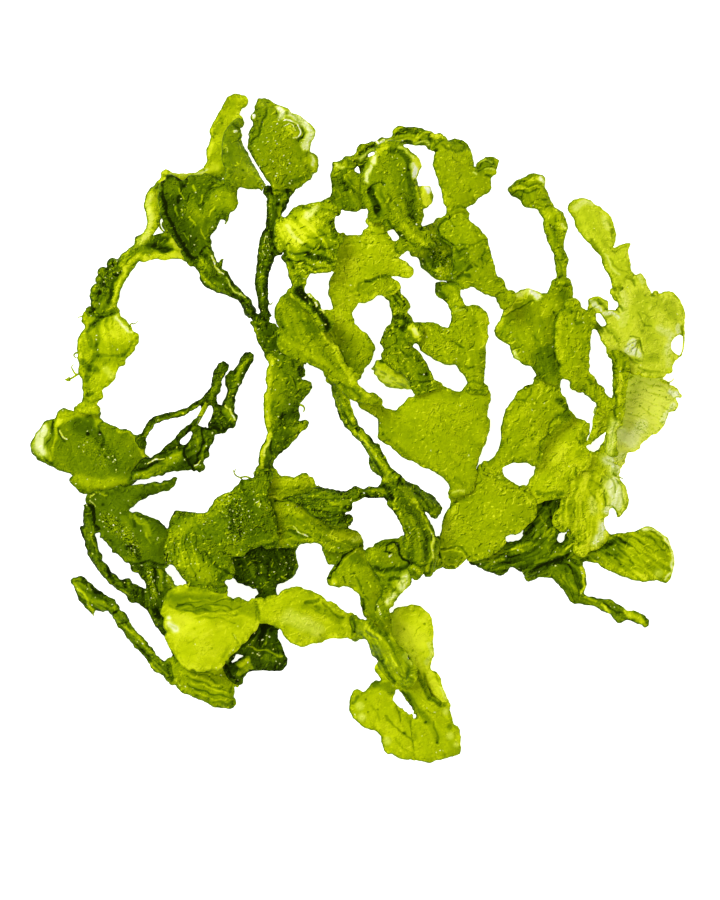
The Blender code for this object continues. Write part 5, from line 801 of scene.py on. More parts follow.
        "pale": [(0.2, 0.6, 20.3, 44.4, 21.4, 44.4, 22.3, 44.2), (0.18, 0.5, 21, 42.9, 22.6, 43.2),
            (0.3, 0.7, 19.1, 42.5, 19.7, 42.3)],
        "glint": [(0.22, 0.45, 18.6, 39.9, 15.1, 42.8)],
        "spot": [(0.5, 0.4, 12.95, 46.2), (0.25, 0.12, 18.8, 39.6, 17, 43.7, 15, 39.9)],
    },
    "shield": {
        "tone": 0.649, "crisp": 1.25, "ribs": 0.15, "speck": 0.08, "grain": (16, 34, 19, 28, 24.5, 21.5),
        "dark": [(0.5, 0.35, 16.4, 24.9, 17.5, 25.2, 18.4, 25.2),
            (1.6, 0.25, 15.8, 28.3, 17.3, 29, 17.8, 27.4, 16.2, 26.6), (0.8, 0.1, 23.3, 21.4, 24.6, 21)],
        "lit": [(1.6, 0.06, 17.5, 33, 18.5, 32)],
        "fold": [(0.28, 0.4, 15.2, 34.7, 13.8, 34, 13.1, 32.9, 13.5, 31.8, 14.8, 31, 15.7, 30.5),
            (0.25, 0.18, 15.7, 30.3, 18, 30.2, 20, 30.7, 21.6, 31.3), (0.22, 0.22, 15.3, 34.7, 15.8, 33.6),
            (0.25, 0.2, 20.9, 29.6, 20.6, 28.2, 20.9, 27), (0.3, 0.35, 16.6, 25.3, 17.4, 25.7, 18.7, 26.8),
            (0.3, 0.28, 19, 27.4, 19.8, 26.8), (0.3, 0.2, 15.9, 30.2, 16.4, 29.2, 17.9, 29.5),
            (0.3, 0.2, 20.2, 27.9, 21.4, 27.6), (0.25, 0.22, 22.9, 21.9, 24.2, 22.5)],
        "glint": [(0.2, 0.7, 18, 28.9, 16.8, 30.3, 15.7, 28.6, 15.5, 29.9, 19.5, 25.9)],
    },
    "cluster_dark": {
        "tone": 0.617, "crisp": 1.22, "ribs": 0.5, "speck": 0.35, "grain": (12, 34, 13, 29, 14, 25),
        "dark": [(0.6, 0.3, 11.2, 30.8, 12, 29.6, 13.8, 28.6, 15.4, 28.8),
            (0.7, 0.28, 11.3, 32.4, 12.3, 30.9, 13.6, 30.2), (1.1, 0.3, 12, 28.6, 13, 27.3, 14.2, 27.4),
            (0.7, 0.25, 10.5, 28, 11.5, 26.5, 12.6, 25.5)],
        "lit": [(0.8, 0.12, 13.2, 33.8, 12.8, 32.4), (0.9, 0.18, 14.2, 28.9)],
        "ridge": [(0.4, 0.2, 12.1, 33.8, 12.2, 31.4)],
        "glint": [(0.22, 0.8, 12.3, 31, 13.5, 29.6, 13.6, 26.9, 12.9, 25.5, 14.7, 27, 15.6, 25.6)],
        "sparkle": [(1.7, 0.9, 12.4, 31.6, 13, 28.8, 14.6, 27.4, 13.4, 26)],
        "lump": [(0.9, 0.4, 12.2, 27.9, 13.8, 27.3, 14.4, 28.9, 13.2, 25.9)],
    },
    "boot": {
        "tone": 0.655, "crisp": 1.39, "ribs": 0.2, "speck": 0.1,
        "grain": (14, 24, 16.5, 20, 19, 14, 20, 6.3),
        "balls": [(15.6, 24.8, 0.8)],
        "dark": [(0.9, 0.35, 13, 24.6, 13.5, 22.6, 14.4, 21.4), (0.5, 0.45, 10.4, 17.1, 10.6, 16.4)],
        "lit": [(0.7, 0.1, 15.6, 24, 16.3, 22, 16.8, 20.5), (1.6, 0.14, 20.4, 19, 21.3, 17, 20.8, 14.5),
            (1, 0.08, 11.7, 16.6), (0.35, 0.12, 18, 12.6, 18.4, 10.6)],
        "fold": [(0.25, 0.25, 15.1, 19.5, 16.4, 20.2, 17.9, 20.2),
            (0.35, 0.13, 13, 16.4, 15, 14.6, 17.5, 13.5), (0.25, 0.25, 16.6, 13.8, 17.8, 13.5),
            (0.25, 0.22, 18, 10.4, 18.6, 9.8, 19.6, 10.2), (0.3, 0.17, 18.3, 7.5, 19.6, 7.7, 20.9, 7.3),
            (0.3, 0.2, 11.4, 18.6, 12.6, 18)],
        "pale": [(0.25, 0.4, 16, 19.2, 17.7, 19.9)],
        "glint": [(0.2, 0.6, 13.7, 22.7, 16.4, 11.5, 18.3, 8.9, 15.5, 25.3)],
        "lump": [(0.9, 0.35, 13.2, 23.6, 13.9, 21.6, 12.9, 25)],
    },
    "chain_small": {
        "tone": 0.52, "crisp": 1.92, "ribs": 0.5, "speck": 0.15,
        "grain": (7, 22, 6.5, 18, 6, 14, 9, 11, 11.5, 7),
        "dark": [(0.35, 0.38, 5.8, 22.2, 6.2, 21, 7, 20.3), (0.25, 0.35, 6.3, 22.4, 7.4, 21, 7.9, 20.4),
            (0.7, 0.4, 6.2, 18.2, 7.4, 18.6, 8.1, 17.6, 7.6, 16.6, 6.6, 16.8),
            (0.25, 0.25, 6.3, 13.1, 7.7, 12.6), (0.6, 0.2, 8.4, 12.2, 9.8, 11.2)],
        "lit": [(0.3, 0.3, 6.4, 19.8, 6.2, 18.8), (0.5, 0.1, 7, 17.6),
            (0.8, 0.45, 8.8, 16.7, 9.6, 16.1, 9.6, 15.2), (0.8, 0.12, 8.4, 10.6, 9.4, 9.6)],
        "ridge": [(0.2, 0.25, 6.9, 22.3, 7.5, 21.4)],
        "fold": [(0.25, 0.25, 4.5, 15.6, 5.4, 16.1, 6.4, 15.3, 6.2, 14, 5, 13.3),
            (0.28, 0.3, 10.2, 9.1, 11.8, 8.9), (0.28, 0.3, 10.2, 7.8, 11.9, 7.6)],
        "pale": [(0.4, 0.6, 9.4, 16.3, 9.8, 15.6)],
        "glint": [(0.22, 0.85, 7.7, 11.5, 11, 8.9, 6.6, 19.4)],
    },
    "spoon": {
        "tone": 0.881, "crisp": 0.48, "ribs": 0.0, "speck": 0.05, "grain": (9.5, 6.5),
        "dark": [(0.42, 0.62, 3.7, 11.2, 4.7, 11.2, 5.5, 10.5, 7, 10, 8.9, 9.9),
            (0.35, 0.35, 6.4, 9.3, 7.3, 9.3), (1.2, 0.1, 9, 8.6), (1.2, 0.06, 6.8, 6.4, 9, 6)],
        "lit": [(1.2, 0.18, 3.1, 9.4, 4.6, 8.1, 6.4, 7.5)],
        "fold": [(0.22, 0.15, 3.2, 9.9, 4.4, 9.2)],
        "pale": [(0.9, 0.22, 3.6, 8.8, 5.2, 7.8)],
    },
    "big_fan": {
        "tone": 0.7, "crisp": 1.11, "ribs": 0.16, "speck": 0.04, "grain": (17.2, -10.5),
        "dark": [(0.9, 0.12, -0.8, 4.8, 1.2, 4.4, 3, 3.8), (0.6, 0.25, -3.4, 4.6, -2.2, 4.9),
            (0.8, 0.14, 16.4, -8.6, 17.6, -9.4), (1.8, 0.05, 4.6, 1.6, 5.6, -0.6)],
        "lit": [(0.8, 0.1, 0.8, 3.4), (1.6, 0.06, 22.4, 3, 20.4, -2), (2.4, 0.05, 9, 3.2, 14, 3.4)],
        "fold": [(0.4, 0.12, 4, -1, 6, -2.7, 8.5, -4.8), (0.25, 0.12, 3.2, 1.4, 4, -0.4),
            (0.28, 0.14, 6.7, -3.5, 7.5, -4.3), (0.3, 0.1, 19.8, 1.1, 21, 2.2),
            (0.22, 0.09, 12, 2.2, 13.4, 1.4, 14.2, 2.4), (0.2, 0.08, 10.2, -1.4, 11.6, -2.6),
            (0.22, 0.1, 15.5, -4.6, 16.3, -6.2), (0.2, 0.08, 7.8, 0.8, 9.6, 1.6)],
        "pale": [(0.35, 0.5, 15.9, -10.7, 17.6, -10.4)],
        "spot": [(0.4, 0.15, 4.2, -0.9, 5.2, -2.1), (0.22, 0.12, 18.6, -4.4, 13, -2.9, 20.2, -0.5)],
    },
    "centre_stalk": {
        "tone": 0.55, "crisp": 1.57, "core": 0.08, "ribs": 0.9,
        "grain": (-4.2, 8.3, -3, 5, -1.8, 2.5, 0.2, -1, 2.5, -4, 4.5, -7.5, 6, -10),
        "dark": [(0.7, 0.25, -3.8, 8, -2.6, 6.6, -1.6, 5.5), (0.7, 0.3, 2.4, -5.4, 3.2, -7, 4, -8),
            (0.35, 0.35, 5.6, -7.4, 6.6, -7.3, 7.2, -8.1, 6.9, -9, 5.9, -9.2)],
        "lit": [(0.3, 0.25, 6.4, -8.2), (0.5, 0.12, -3.4, 1.6, -1.8, -0.8, 0.6, -3.4)],
        "ridge": [(0.45, 0.28, -1.3, 4.4, -1, 3, -0.6, 1.4),
            (0.4, 0.34, -0.7, -0.4, 1.3, -2.4, 2.9, -4.5, 4.9, -7.5),
            (0.25, 0.2, 1.5, 0, 2.9, -1.6, 4.2, -3.4)],
        "fold": [(0.45, 0.15, -4.4, 7, -3.7, 3.8, -2.9, 1.5), (0.4, 0.25, -2.3, 2.4, -1.3, 1.2, -0.1, -0.4),
            (0.4, 0.34, 0.7, 0, 2, -1.5, 3.3, -3, 4.5, -5, 5.4, -6.8)],
        "glint": [(0.22, 0.8, 2.6, -6.5, -0.9, 3.4, 3, -4.7, 5.7, -8.2)],
    },
    "cap": {
        "tone": 0.65, "crisp": 1.22, "ribs": 0.3, "speck": 0.06, "grain": (30, 40.5, 33, 34, 33.8, 24),
        "balls": [(33.9, 24, 1), (33.6, 23.2, 0.9)],
        "dark": [(1.2, 0.12, 25.3, 38.9, 27.6, 38.9), (0.3, 0.3, 26.4, 41, 28, 41.4, 29, 42.1),
            (0.2, 0.25, 28.4, 40.5, 30.6, 40.6), (0.9, 0.16, 32.5, 33, 33.3, 31, 34, 29.5),
            (0.8, 0.1, 33.8, 30, 34, 28.5)],
        "lit": [(0.5, 0.3, 28.4, 41.6, 30.4, 41.7), (0.4, 0.2, 26, 40.3, 27.6, 40.3),
            (1.2, 0.14, 31.6, 36, 33.4, 35.6), (0.6, 0.2, 33.4, 34.1, 34.4, 33.5),
            (0.5, 0.12, 32.4, 27, 33, 25)],
        "ridge": [(0.16, 0.25, 26.2, 39.9, 28.4, 40.1, 30.2, 40.4)],
        "fold": [(0.2, 0.2, 25.4, 40.2, 28, 40.8, 30, 40.8, 31, 41), (0.24, 0.3, 25.2, 38.9, 26.6, 39.6,
            28.4, 39.5, 30.4, 39.9), (0.2, 0.26, 28.5, 37.2, 29.8, 38, 31.5, 38.3),
            (0.18, 0.26, 30.1, 37.2, 31.2, 37, 32.2, 37.2), (0.25, 0.3, 32.2, 34, 32.9, 32.9),
            (0.22, 0.22, 32.9, 35.4, 33.2, 34.3), (0.32, 0.25, 32.9, 28.6, 34, 27, 33.6, 25)],
        "pale": [(0.7, 0.85, 31.1, 41.3, 30.5, 41.8), (0.35, 0.5, 34.2, 34.1, 34.9, 33.2)],
        "glint": [(0.22, 0.6, 29.3, 37.2, 32.3, 33.6, 35.2, 28.9)],
    },
    "club": {
        "tone": 0.87, "crisp": 0.7, "bleach": 0.1, "ribs": 0.12, "speck": 0.02,
        "grain": (38, 37.5, 41, 31, 43.7, 22.5),
        "balls": [(43.4, 22.7, 0.8), (43.3, 21.9, 0.7)],
        "dark": [(0.9, 0.06, 38, 36, 40, 33, 41, 31.5), (0.5, 0.12, 40.8, 31.2, 41.8, 30.4)],
        "fold": [(0.35, 0.28, 42.7, 33.2, 42.3, 31.9), (0.22, 0.18, 41.7, 34.6, 42.4, 34),
            (0.2, 0.25, 42.4, 30.2, 43, 29.3, 44, 29.9, 45, 30.5), (0.2, 0.22, 42, 28.5, 43.5, 26.5, 45, 26),
            (0.35, 0.25, 39, 31.5, 40.7, 29, 41, 27, 42.2, 25, 43.2, 23)],
        "pale": [(1, 0.6, 36.6, 37, 38, 38, 39, 37.8), (0.9, 0.5, 41, 35, 41.8, 33.5),
            (0.35, 0.6, 41.3, 29, 42.5, 27, 43.5, 25.5)],
        "glint": [(0.24, 0.6, 39.5, 33.4)],
        "spot": [(0.3, 0.15, 39.4, 33.1, 40.2, 30, 44.3, 28)],
    },
    "pale_leaf": {
        "tone": 0.93, "crisp": 0.93, "bleach": 0.14, "ribs": 0.16, "speck": 0.02, "grain": (43.4, 12.6),
        "wisps": [(0.18, 54.3, 17, 54.5, 15.6, 54.5, 14.2, 54.2, 12.6, 53.7, 11.9),
            (0.14, 49.3, 22.2, 49.5, 22.8, 50.1, 22.8, 50.2, 22.3)],
        "holes": [(52.4, 13.2, 52.5, 14.4, 53.2, 15.2, 54, 15.5, 54.5, 15, 54.4, 12.8, 53.8, 12.2,
            53.1, 12.6), (39.4, 18.9, 40.3, 19, 41.3, 17.3, 40.6, 16.9, 39.8, 17.9)],
        "dark": [(1.6, 0.2, 50, 21, 52, 20.5, 52.5, 18.8), (1.6, 0.12, 50.5, 13, 49, 12), (0.9, 0.1, 46, 25),
            (0.32, 0.45, 43.8, 20.3, 44.3, 19.7), (0.5, 0.45, 38.4, 20.9, 39.5, 21.4, 40.5, 20.7),
            (0.8, 0.5, 39.1, 18.4, 39.9, 17, 40.6, 16.1), (0.5, 0.25, 47.4, 16.2), (0.5, 0.25, 47, 13.9),
            (1.8, 0.14, 47, 22, 47.6, 18, 48.6, 14.6), (0.9, 0.2, 42, 16.6, 43.2, 14.6),
            (1.2, 0.14, 46.6, 11.4, 49.4, 11.6)],
        "fold": [(0.3, 0.38, 45, 25.2, 46, 24.4, 46.3, 23.6), (0.35, 0.3, 43.7, 21.6, 43.2, 22.6),
            (0.25, 0.22, 42.8, 19.3, 43.8, 20, 45, 20), (0.3, 0.3, 39.1, 20, 40.2, 20.6, 41.4, 20.2),
            (0.22, 0.4, 41.4, 19.9, 42.3, 20.1, 43.6, 19.3), (0.3, 0.3, 41.2, 18.7, 42.4, 18.9),
            (0.25, 0.2, 40.8, 17.4, 42.4, 15.6, 43.6, 13.4), (0.16, 0.5, 46.9, 14.6, 45.6, 12.6),
            (0.14, 0.4, 46.9, 14.4, 46.3, 11.9), (0.14, 0.4, 46.7, 14.6, 44.6, 13.6),
            (0.14, 0.4, 46.8, 15, 45.2, 15.2), (0.16, 0.4, 47, 14.3, 47.8, 12.6),
            (0.2, 0.25, 46.9, 19.2, 47.4, 17.6, 49, 16.9), (0.2, 0.3, 45, 12, 45.6, 11, 46.6, 10.6),
            (0.18, 0.25, 44.6, 12.4, 45.4, 11.2, 47.2, 11.2), (0.28, 0.3, 46.8, 10.1, 49, 9.3, 50.5, 9.5),
            (0.2, 0.15, 47.6, 19.4, 48.8, 18.2), (0.2, 0.12, 49.5, 16.4, 51, 15.6)],
        "pale": [(0.5, 0.9, 38.7, 21.3, 39.6, 20.4, 40.6, 19.6),
            (0.6, 0.9, 41, 19, 42, 19.4, 42.8, 18.9, 43.2, 18.3),
            (1.4, 0.9, 45.6, 14.2, 45.3, 13, 46.6, 12.4), (1.3, 0.6, 50.5, 16.6, 52.4, 15.4, 51.6, 12.6),
            (1.2, 0.5, 44.2, 22.4, 44.6, 19.8, 44, 17.4), (0.8, 0.6, 46.8, 25.6, 47.4, 24.4),
            (0.9, 0.7, 53.5, 17.2, 53.8, 16), (0.9, 0.5, 51.5, 12, 52, 10.4)],
        "gleam": [(0.18, 0.5, 42.2, 19.2, 42.9, 18.6, 43.2, 18.1), (0.22, 0.7, 46, 14, 45, 12.7),
            (0.16, 0.7, 46.9, 13.4, 47.5, 12.2), (0.18, 0.7, 46.2, 14.6, 44.8, 14.2)],
        "spot": [(0.3, 0.14, 47.9, 22.1, 49.3, 19.9, 44.8, 17.3)],
    },
    "stem_right": {
        "tone": 0.7, "crisp": 1.6, "core": 0.05, "ribs": 0.5,
        "grain": (43.4, 13, 43.3, 8, 42.9, 2, 42.4, -4),
        "dark": [(0.3, 0.2, 44.2, 11, 44.1, 8.4)],
        "lit": [(0.45, 0.16, 43.8, 10, 43.7, 7, 43.5, 4)],
        "fold": [(0.4, 0.3, 42.7, 12, 42.8, 8, 42.9, 4, 42.8, 1.5),
            (0.16, 0.3, 42.9, 1.4, 42.5, -1, 41.9, -3.2)],
        "pale": [(1.3, 0.62, 42.6, 0.6, 42.2, -1, 41.8, -4.2)],
        "glint": [(0.22, 0.8, 43.6, 9.4, 43.6, 2.4, 43.1, 6.1)],
    },
    "pale_fan": {
        "tone": 1.124, "crisp": 2.22, "bleach": 0.28, "ribs": 0.7, "speck": 0.02,
        "grain": (42, 5.5, 54, 1.6),
        "wisps": [(0.14, 50.6, 8.2, 51.6, 7.7, 52.4, 7.8, 52.9, 8.3)],
        "lit": [(2.6, 0.34, 43.8, 0.6, 44, -1, 45.4, -2.2), (0.9, 0.1, 43.8, 4, 44, 1.6)],
        "fold": [(0.2, 0.27, 44.6, 7.6, 46.4, 8.9, 48.8, 9.1, 50.2, 8.6),
            (0.19, 0.24, 44.6, 6.8, 47.4, 7.7, 50.4, 6.9),
            (0.19, 0.24, 44.4, 5.8, 48, 6.3, 51.2, 5.2, 53.2, 4.6),
            (0.19, 0.26, 44.2, 4.7, 47, 5.1, 50, 3.8, 52.4, 3),
            (0.19, 0.24, 44.2, 3.5, 46.6, 3.7, 49, 2.5, 50.8, 1.3),
            (0.17, 0.24, 44, 2.4, 46, 2.5, 48.4, 1.2, 50.2, 0.1),
            (0.17, 0.24, 43.7, 1.4, 45.4, 1.1, 47.4, -0.4, 48.4, -0.8),
            (0.15, 0.2, 43.4, 0.2, 44.6, -0.6, 46.2, -1), (0.15, 0.22, 43.2, -1, 43.6, -2.4, 42.8, -3.6),
            (0.14, 0.2, 45.6, -1.8, 46, -2.9, 45.4, -3.7), (0.17, 0.24, 50.6, 7.2, 52.6, 5.6, 53.2, 4.8)],
        "pale": [(2.6, 0.62, 44, -1.2, 45.6, -2.2, 47.4, 0.4), (1.2, 0.6, 43.4, -4.6, 44.6, -4.8),
            (0.9, 0.8, 52.2, 6.2, 53.5, 5.4), (1, 0.8, 50.8, 8.6, 51.8, 8.2), (1, 0.7, 52.6, 3.8, 51, 1)],
        "gleam": [(0.16, 0.5, 45.4, 9.9, 46.2, 10.4)],
    },
    "green_fan": {
        "tone": 0.61, "crisp": 1.19, "ribs": 0.28, "speck": 0.1, "grain": (32, 6.3),
        "dark": [(3, 0.2, 31, 12, 31.2, 9.5), (1.4, 0.12, 33.4, 14, 33, 10),
            (1, 0.15, 34, 22.6, 35.2, 21.4)],
        "lit": [(1.7, 0.14, 32.4, 20.8, 31, 19.6), (1.3, 0.26, 22.9, 16.9, 24.2, 19.4, 26, 21.6, 28, 22.8),
            (1.6, 0.06, 27.6, 16, 28.6, 13)],
        "ridge": [(0.16, 0.35, 25, 19.2, 25.8, 20.6, 27.6, 21.2),
            (0.14, 0.4, 26.6, 22.6, 28.2, 21.4, 28.6, 22.8), (0.25, 0.2, 24.3, 19.3, 25.4, 20.7)],
        "fold": [(0.2, 0.3, 23.6, 18.4, 25, 18.9, 27.2, 20.4, 29.4, 21.2), (0.25, 0.14, 24, 16.9, 26.3, 18),
            (0.25, 0.12, 25, 14, 26.8, 13), (0.25, 0.2, 32.2, 19.5, 33.4, 18.6),
            (0.28, 0.38, 30.4, 7.4, 31.5, 6.5, 32.7, 6.7), (0.22, 0.15, 29, 15.4, 30.4, 14.4)],
        "pale": [(0.7, 0.5, 24.4, 20.4, 26, 22, 28, 23), (1, 0.9, 28.8, 22.8, 29.9, 22),
            (0.4, 0.7, 25.8, 12.6, 26.8, 11.4)],
        "glint": [(0.2, 0.7, 29.1, 11.2, 33, 17.1, 32.7, 15.3, 26.2, 22.6)],
    },
    "narrow_fan": {
        "tone": 0.695, "crisp": 1.42, "ribs": 0.2, "speck": 0.12, "grain": (36.8, 8),
        "wisps": [(0.75, 40.6, 2.6, 39.8, 1.6, 39.6, 0.2, 39, -1.4, 38.4, -2.6),
            (0.6, 39.4, 3, 40.6, 2.6, 41.8, 2.3, 43, 1.9)],
        "dark": [(0.8, 0.25, 34.2, 20.2, 35.3, 19.4), (0.8, 0.15, 38, 14, 37.5, 12, 37.8, 10.5),
            (0.5, 0.42, 38.4, 8.2, 39.7, 6.6, 40.7, 5.8, 41.2, 4.6, 41.5, 3.5),
            (1.6, 0.2, 39.6, 2, 39.4, -0.6, 38.6, -2.2), (0.3, 0.4, 39.5, 2.2, 39.4, 0.2, 39.9, -1),
            (0.6, 0.16, 40.8, 1.5, 40.6, 0), (0.9, 0.1, 37, 9.4)],
        "lit": [(0.6, 0.12, 33.5, 18, 33.3, 14, 34, 11), (0.4, 0.15, 40.3, 3, 40.4, 1)],
        "ridge": [(0.4, 0.22, 39.6, 5.6, 40.5, 4.2, 41.1, 2.5)],
        "fold": [(0.3, 0.22, 36.3, 19.3, 36, 18.2, 36.5, 17.2, 37.8, 17.5), (0.25, 0.15, 35, 15, 35.8, 11.8),
            (0.28, 0.4, 40, 3.6, 40.5, 2.4, 42.2, 2.2)],
        "glint": [(0.2, 0.85, 36.4, 17.5, 37.5, 17.5, 35.5, 17.3, 41.3, 1.2, 38.9, 6.8)],
        "spot": [(0.35, 0.25, 34.7, 18.1, 34.7, 16.9)],
    },
    "fan_right_mid": {
        "tone": 0.69, "crisp": 1.49, "ribs": 0.25, "speck": 0.05, "grain": (22, -6.8),
        "dark": [(0.8, 0.3, 33.3, 4.6, 34.8, 3.6, 34.8, 2.3, 33.2, 1.8), (0.8, 0.1, 23.6, -3.4, 22.2, -5.8)],
        "lit": [(0.8, 0.1, 29.2, 5.4, 30.4, 6.4), (1.8, 0.06, 26, 1.4, 28, 3)],
        "fold": [(0.4, 0.3, 25.6, 5.8, 28, 7, 30, 7.5),
            (0.25, 0.25, 26.4, 4.6, 27.7, 4.4, 28.2, 5.2, 28.9, 6.6), (0.25, 0.32, 32.5, 1.6, 31.8, 0.1,
            31.5, -1, 30.5, -2.3, 30.2, -4, 30, -5.5), (0.22, 0.1, 24, -3, 26.4, 1),
            (0.22, 0.1, 25.5, -4, 29, 0.4), (0.25, 0.16, 30.2, 2.8, 31.4, 3.4)],
        "spot": [(0.42, 0.3, 29, -1.8)],
    },
    "fan_right_low": {
        "tone": 0.812, "crisp": 1.44, "ribs": 0.28, "speck": 0.05, "grain": (28.7, -11.3),
        "dark": [(0.7, 0.28, 37.3, -0.9, 37.8, -1.7, 37, -2.2), (0.7, 0.14, 36.5, -4.5, 37.5, -3.5),
            (0.28, 0.45, 36.6, -6.6, 36.1, -7.7), (0.6, 0.35, 30, -10.9, 32, -11, 34, -10.8)],
        "lit": [(1.4, 0.06, 32.5, -5, 34.5, -3)],
        "fold": [(0.28, 0.25, 36.4, -1.6, 37.2, -2.6, 38.3, -2.4), (0.22, 0.12, 31, -8.6, 34, -5.6),
            (0.22, 0.1, 31, -9.6, 35, -8)],
        "glint": [(0.22, 0.7, 30.7, -11.6)],
    },
    "kite": {
        "tone": 0.7, "crisp": 1.52, "ribs": 0.15, "speck": 0.05, "grain": (15.2, -22),
        "dark": [(0.9, 0.12, 16, -12, 17.5, -11.5, 19, -11), (1.9, 0.15, 16, -21.8),
            (0.45, 0.62, 13.2, -18.6, 13.4, -20, 13.7, -21.8), (1, 0.22, 12, -23, 13.5, -23)],
        "lit": [(0.35, 0.15, 15.8, -14, 16.6, -13.4), (0.5, 0.22, 28, -11, 28.8, -12.5),
            (2.2, 0.05, 22, -13, 24, -15)],
        "ridge": [(0.22, 0.25, 14.2, -20.7, 15.5, -20.3, 17.4, -20.7, 18, -21.6)],
        "fold": [(0.3, 0.3, 14.8, -13.5, 15.6, -13.1, 16.2, -12.4), (0.25, 0.25, 20.2, -7, 20.5, -8.6,
            19.6, -9.8, 18.6, -10.4), (0.25, 0.22, 21, -7.6, 22.4, -8.4, 24.4, -8.6),
            (0.28, 0.25, 13.8, -20.2, 15.4, -19.8, 17.6, -20, 18.6, -21.4),
            (0.25, 0.25, 14.8, -22.8, 16.4, -23.4, 17.8, -22.8), (0.2, 0.1, 18, -15.6, 21, -13)],
        "pale": [(0.3, 0.5, 21.2, -7, 22.2, -7.5, 23.5, -8.1)],
        "glint": [(0.22, 0.6, 16.5, -22.2)],
        "spot": [(0.25, 0.12, 20.2, -15.4, 17.9, -17.6)],
    },
    "frayed_fan": {
        "tone": 0.86, "crisp": 1.49, "ribs": 0.6, "speck": 0.08, "grain": (37.4, -20, 37.2, -13, 39.4, -6),
        "wisps": [(0.13, 42.8, -7.6, 43.6, -8.1, 44.4, -8.5)],
        "holes": [(42.2, -13.6, 42.6, -13.4, 43.1, -14.1, 43.3, -15.4, 41.9, -15.3, 42, -14.4)],
        "dark": [(0.8, 0.2, 40.4, -9.6, 42.2, -7.4, 43.2, -7.4), (0.9, 0.15, 39.6, -6.4, 38.4, -9.4),
            (1.3, 0.12, 35.4, -17.6, 36.2, -13.6), (0.9, 0.25, 36, -18.4, 37, -18.4, 37.2, -17.5),
            (1.1, 0.12, 35, -13, 36.2, -10)],
        "lit": [(0.5, 0.2, 40.2, -11.2, 40.4, -14.2, 40, -17), (0.5, 0.16, 38.4, -7.6, 37.6, -10.4)],
        "ridge": [(0.3, 0.2, 36.8, -20.2, 38.2, -19.3, 39, -18)],
        "fold": [(0.2, 0.4, 42.4, -8.4, 43, -9.8, 43.2, -10.8),
            (0.16, 0.35, 43, -8.6, 44.2, -9.9, 44.4, -12.4),
            (0.18, 0.35, 41.2, -10.2, 41.4, -12.8, 42.8, -13.4),
            (0.2, 0.3, 41.4, -5.2, 42.6, -5.8, 43.4, -7.2), (0.3, 0.22, 37.3, -12, 38, -15, 38.2, -18),
            (0.28, 0.18, 36, -12, 36.3, -15), (0.28, 0.18, 38.6, -10, 40.2, -12.4, 40.8, -14.6),
            (0.25, 0.16, 38.6, -8.6, 41, -10, 42.4, -12), (0.25, 0.15, 37.6, -6.8, 40, -7.4, 42, -8.6),
            (0.3, 0.25, 36.3, -19.6, 37.4, -19.2, 38.2, -18.2),
            (0.22, 0.25, 36.5, -6.7, 38, -5.8, 39.5, -4.2, 40.8, -3.6)],
        "pale": [(1.5, 0.8, 41.6, -5.2, 42.8, -6, 43.3, -8), (2.2, 0.8, 42.4, -9.4, 43.4, -11, 43, -13),
            (1, 0.9, 41.6, -13.6, 42.8, -14.6), (1, 0.8, 40.8, -16, 40.7, -18, 39.5, -19.2),
            (0.9, 0.35, 39, -12, 39.5, -14)],
        "gleam": [(0.3, 0.6, 39.2, -19.5, 40.2, -19, 40.8, -18.2)],
        "lump": [(0.5, 0.3, 36.3, -19.4, 37.1, -17.6, 37.9, -18.8)],
    },
    "ribbed_chain": {
        "tone": 0.296, "crisp": 0.95, "core": 0.08, "ribs": 0.9, "speck": 0.45,
        "grain": (19.5, -22, 24, -21, 29, -19.5, 34, -15, 35, -11),
        "holes": [(25, -18.1, 27.2, -17.2, 27.6, -16.8, 26, -17)],
        "dark": [(0.8, 0.28, 31, -12.5, 33, -11.3, 34.3, -11), (0.9, 0.2, 29, -15.5, 28.5, -17.5),
            (0.7, 0.2, 33.5, -13.4, 34.6, -12)],
        "lit": [(0.7, 0.3, 33, -16.2, 33.6, -15.4), (1, 0.22, 31.5, -17.5, 33, -17.8),
            (0.6, 0.28, 34, -20.8, 35.6, -19.2, 37, -17.8)],
        "ridge": [(0.35, 0.22, 20, -21.6, 23, -21.2, 26, -20, 29, -19.2),
            (0.32, 0.25, 29.5, -22.6, 33, -21.3, 36, -20.6), (0.22, 0.26, 21.8, -22.2, 24.4, -22),
            (0.22, 0.26, 25.6, -20, 27.6, -20.6), (0.2, 0.24, 30.4, -14.4, 31.4, -16.4, 31, -18.2)],
        "fold": [(0.2, 0.22, 21.2, -21.6, 23.6, -22.6, 25.4, -22.4),
            (0.2, 0.22, 22.4, -20.8, 25, -21.4, 27.2, -21.2),
            (0.18, 0.24, 28.4, -14.8, 29.6, -17, 29.2, -18.8),
            (0.18, 0.24, 32, -13.6, 32.6, -15.6, 32.2, -17.4)],
        "pale": [(0.4, 0.5, 36, -18.6, 36.8, -17.6)],
        "glint": [(0.24, 0.85, 35.6, -20.5, 22.8, -22.4, 20.5, -22.7, 33, -20.6, 30.4, -18.4, 26.7, -20.4,
            24.7, -21.4, 31.4, -16.3, 33.9, -15)],
        "lump": [(0.75, 0.5, 20.7, -22.2, 22.4, -22, 24.2, -21.6, 25.8, -20.6, 27.2, -20.1, 28.8, -20.2,
            30.3, -19.6, 31.8, -19.8, 33.4, -20.2, 30, -18, 31.2, -16.6, 33.6, -15.4)],
    },
    "fin": {
        "tone": 0.431, "crisp": 0.59, "depth": 1.3, "ribs": 0.4, "speck": 0.3,
        "grain": (28, -24.5, 33, -23, 38, -27, 44, -30),
        "dark": [(0.7, 0.15, 29, -24.4, 31.5, -23.5)],
        "lit": [(1, 0.1, 34.5, -25, 36, -27), (0.3, 0.2, 37.6, -28.3, 40, -28.9),
            (0.5, 0.36, 40.8, -29.6, 42, -31, 42.4, -32.2),
            (0.8, 0.34, 44.8, -30.8, 46.6, -31.6, 47.6, -32.6)],
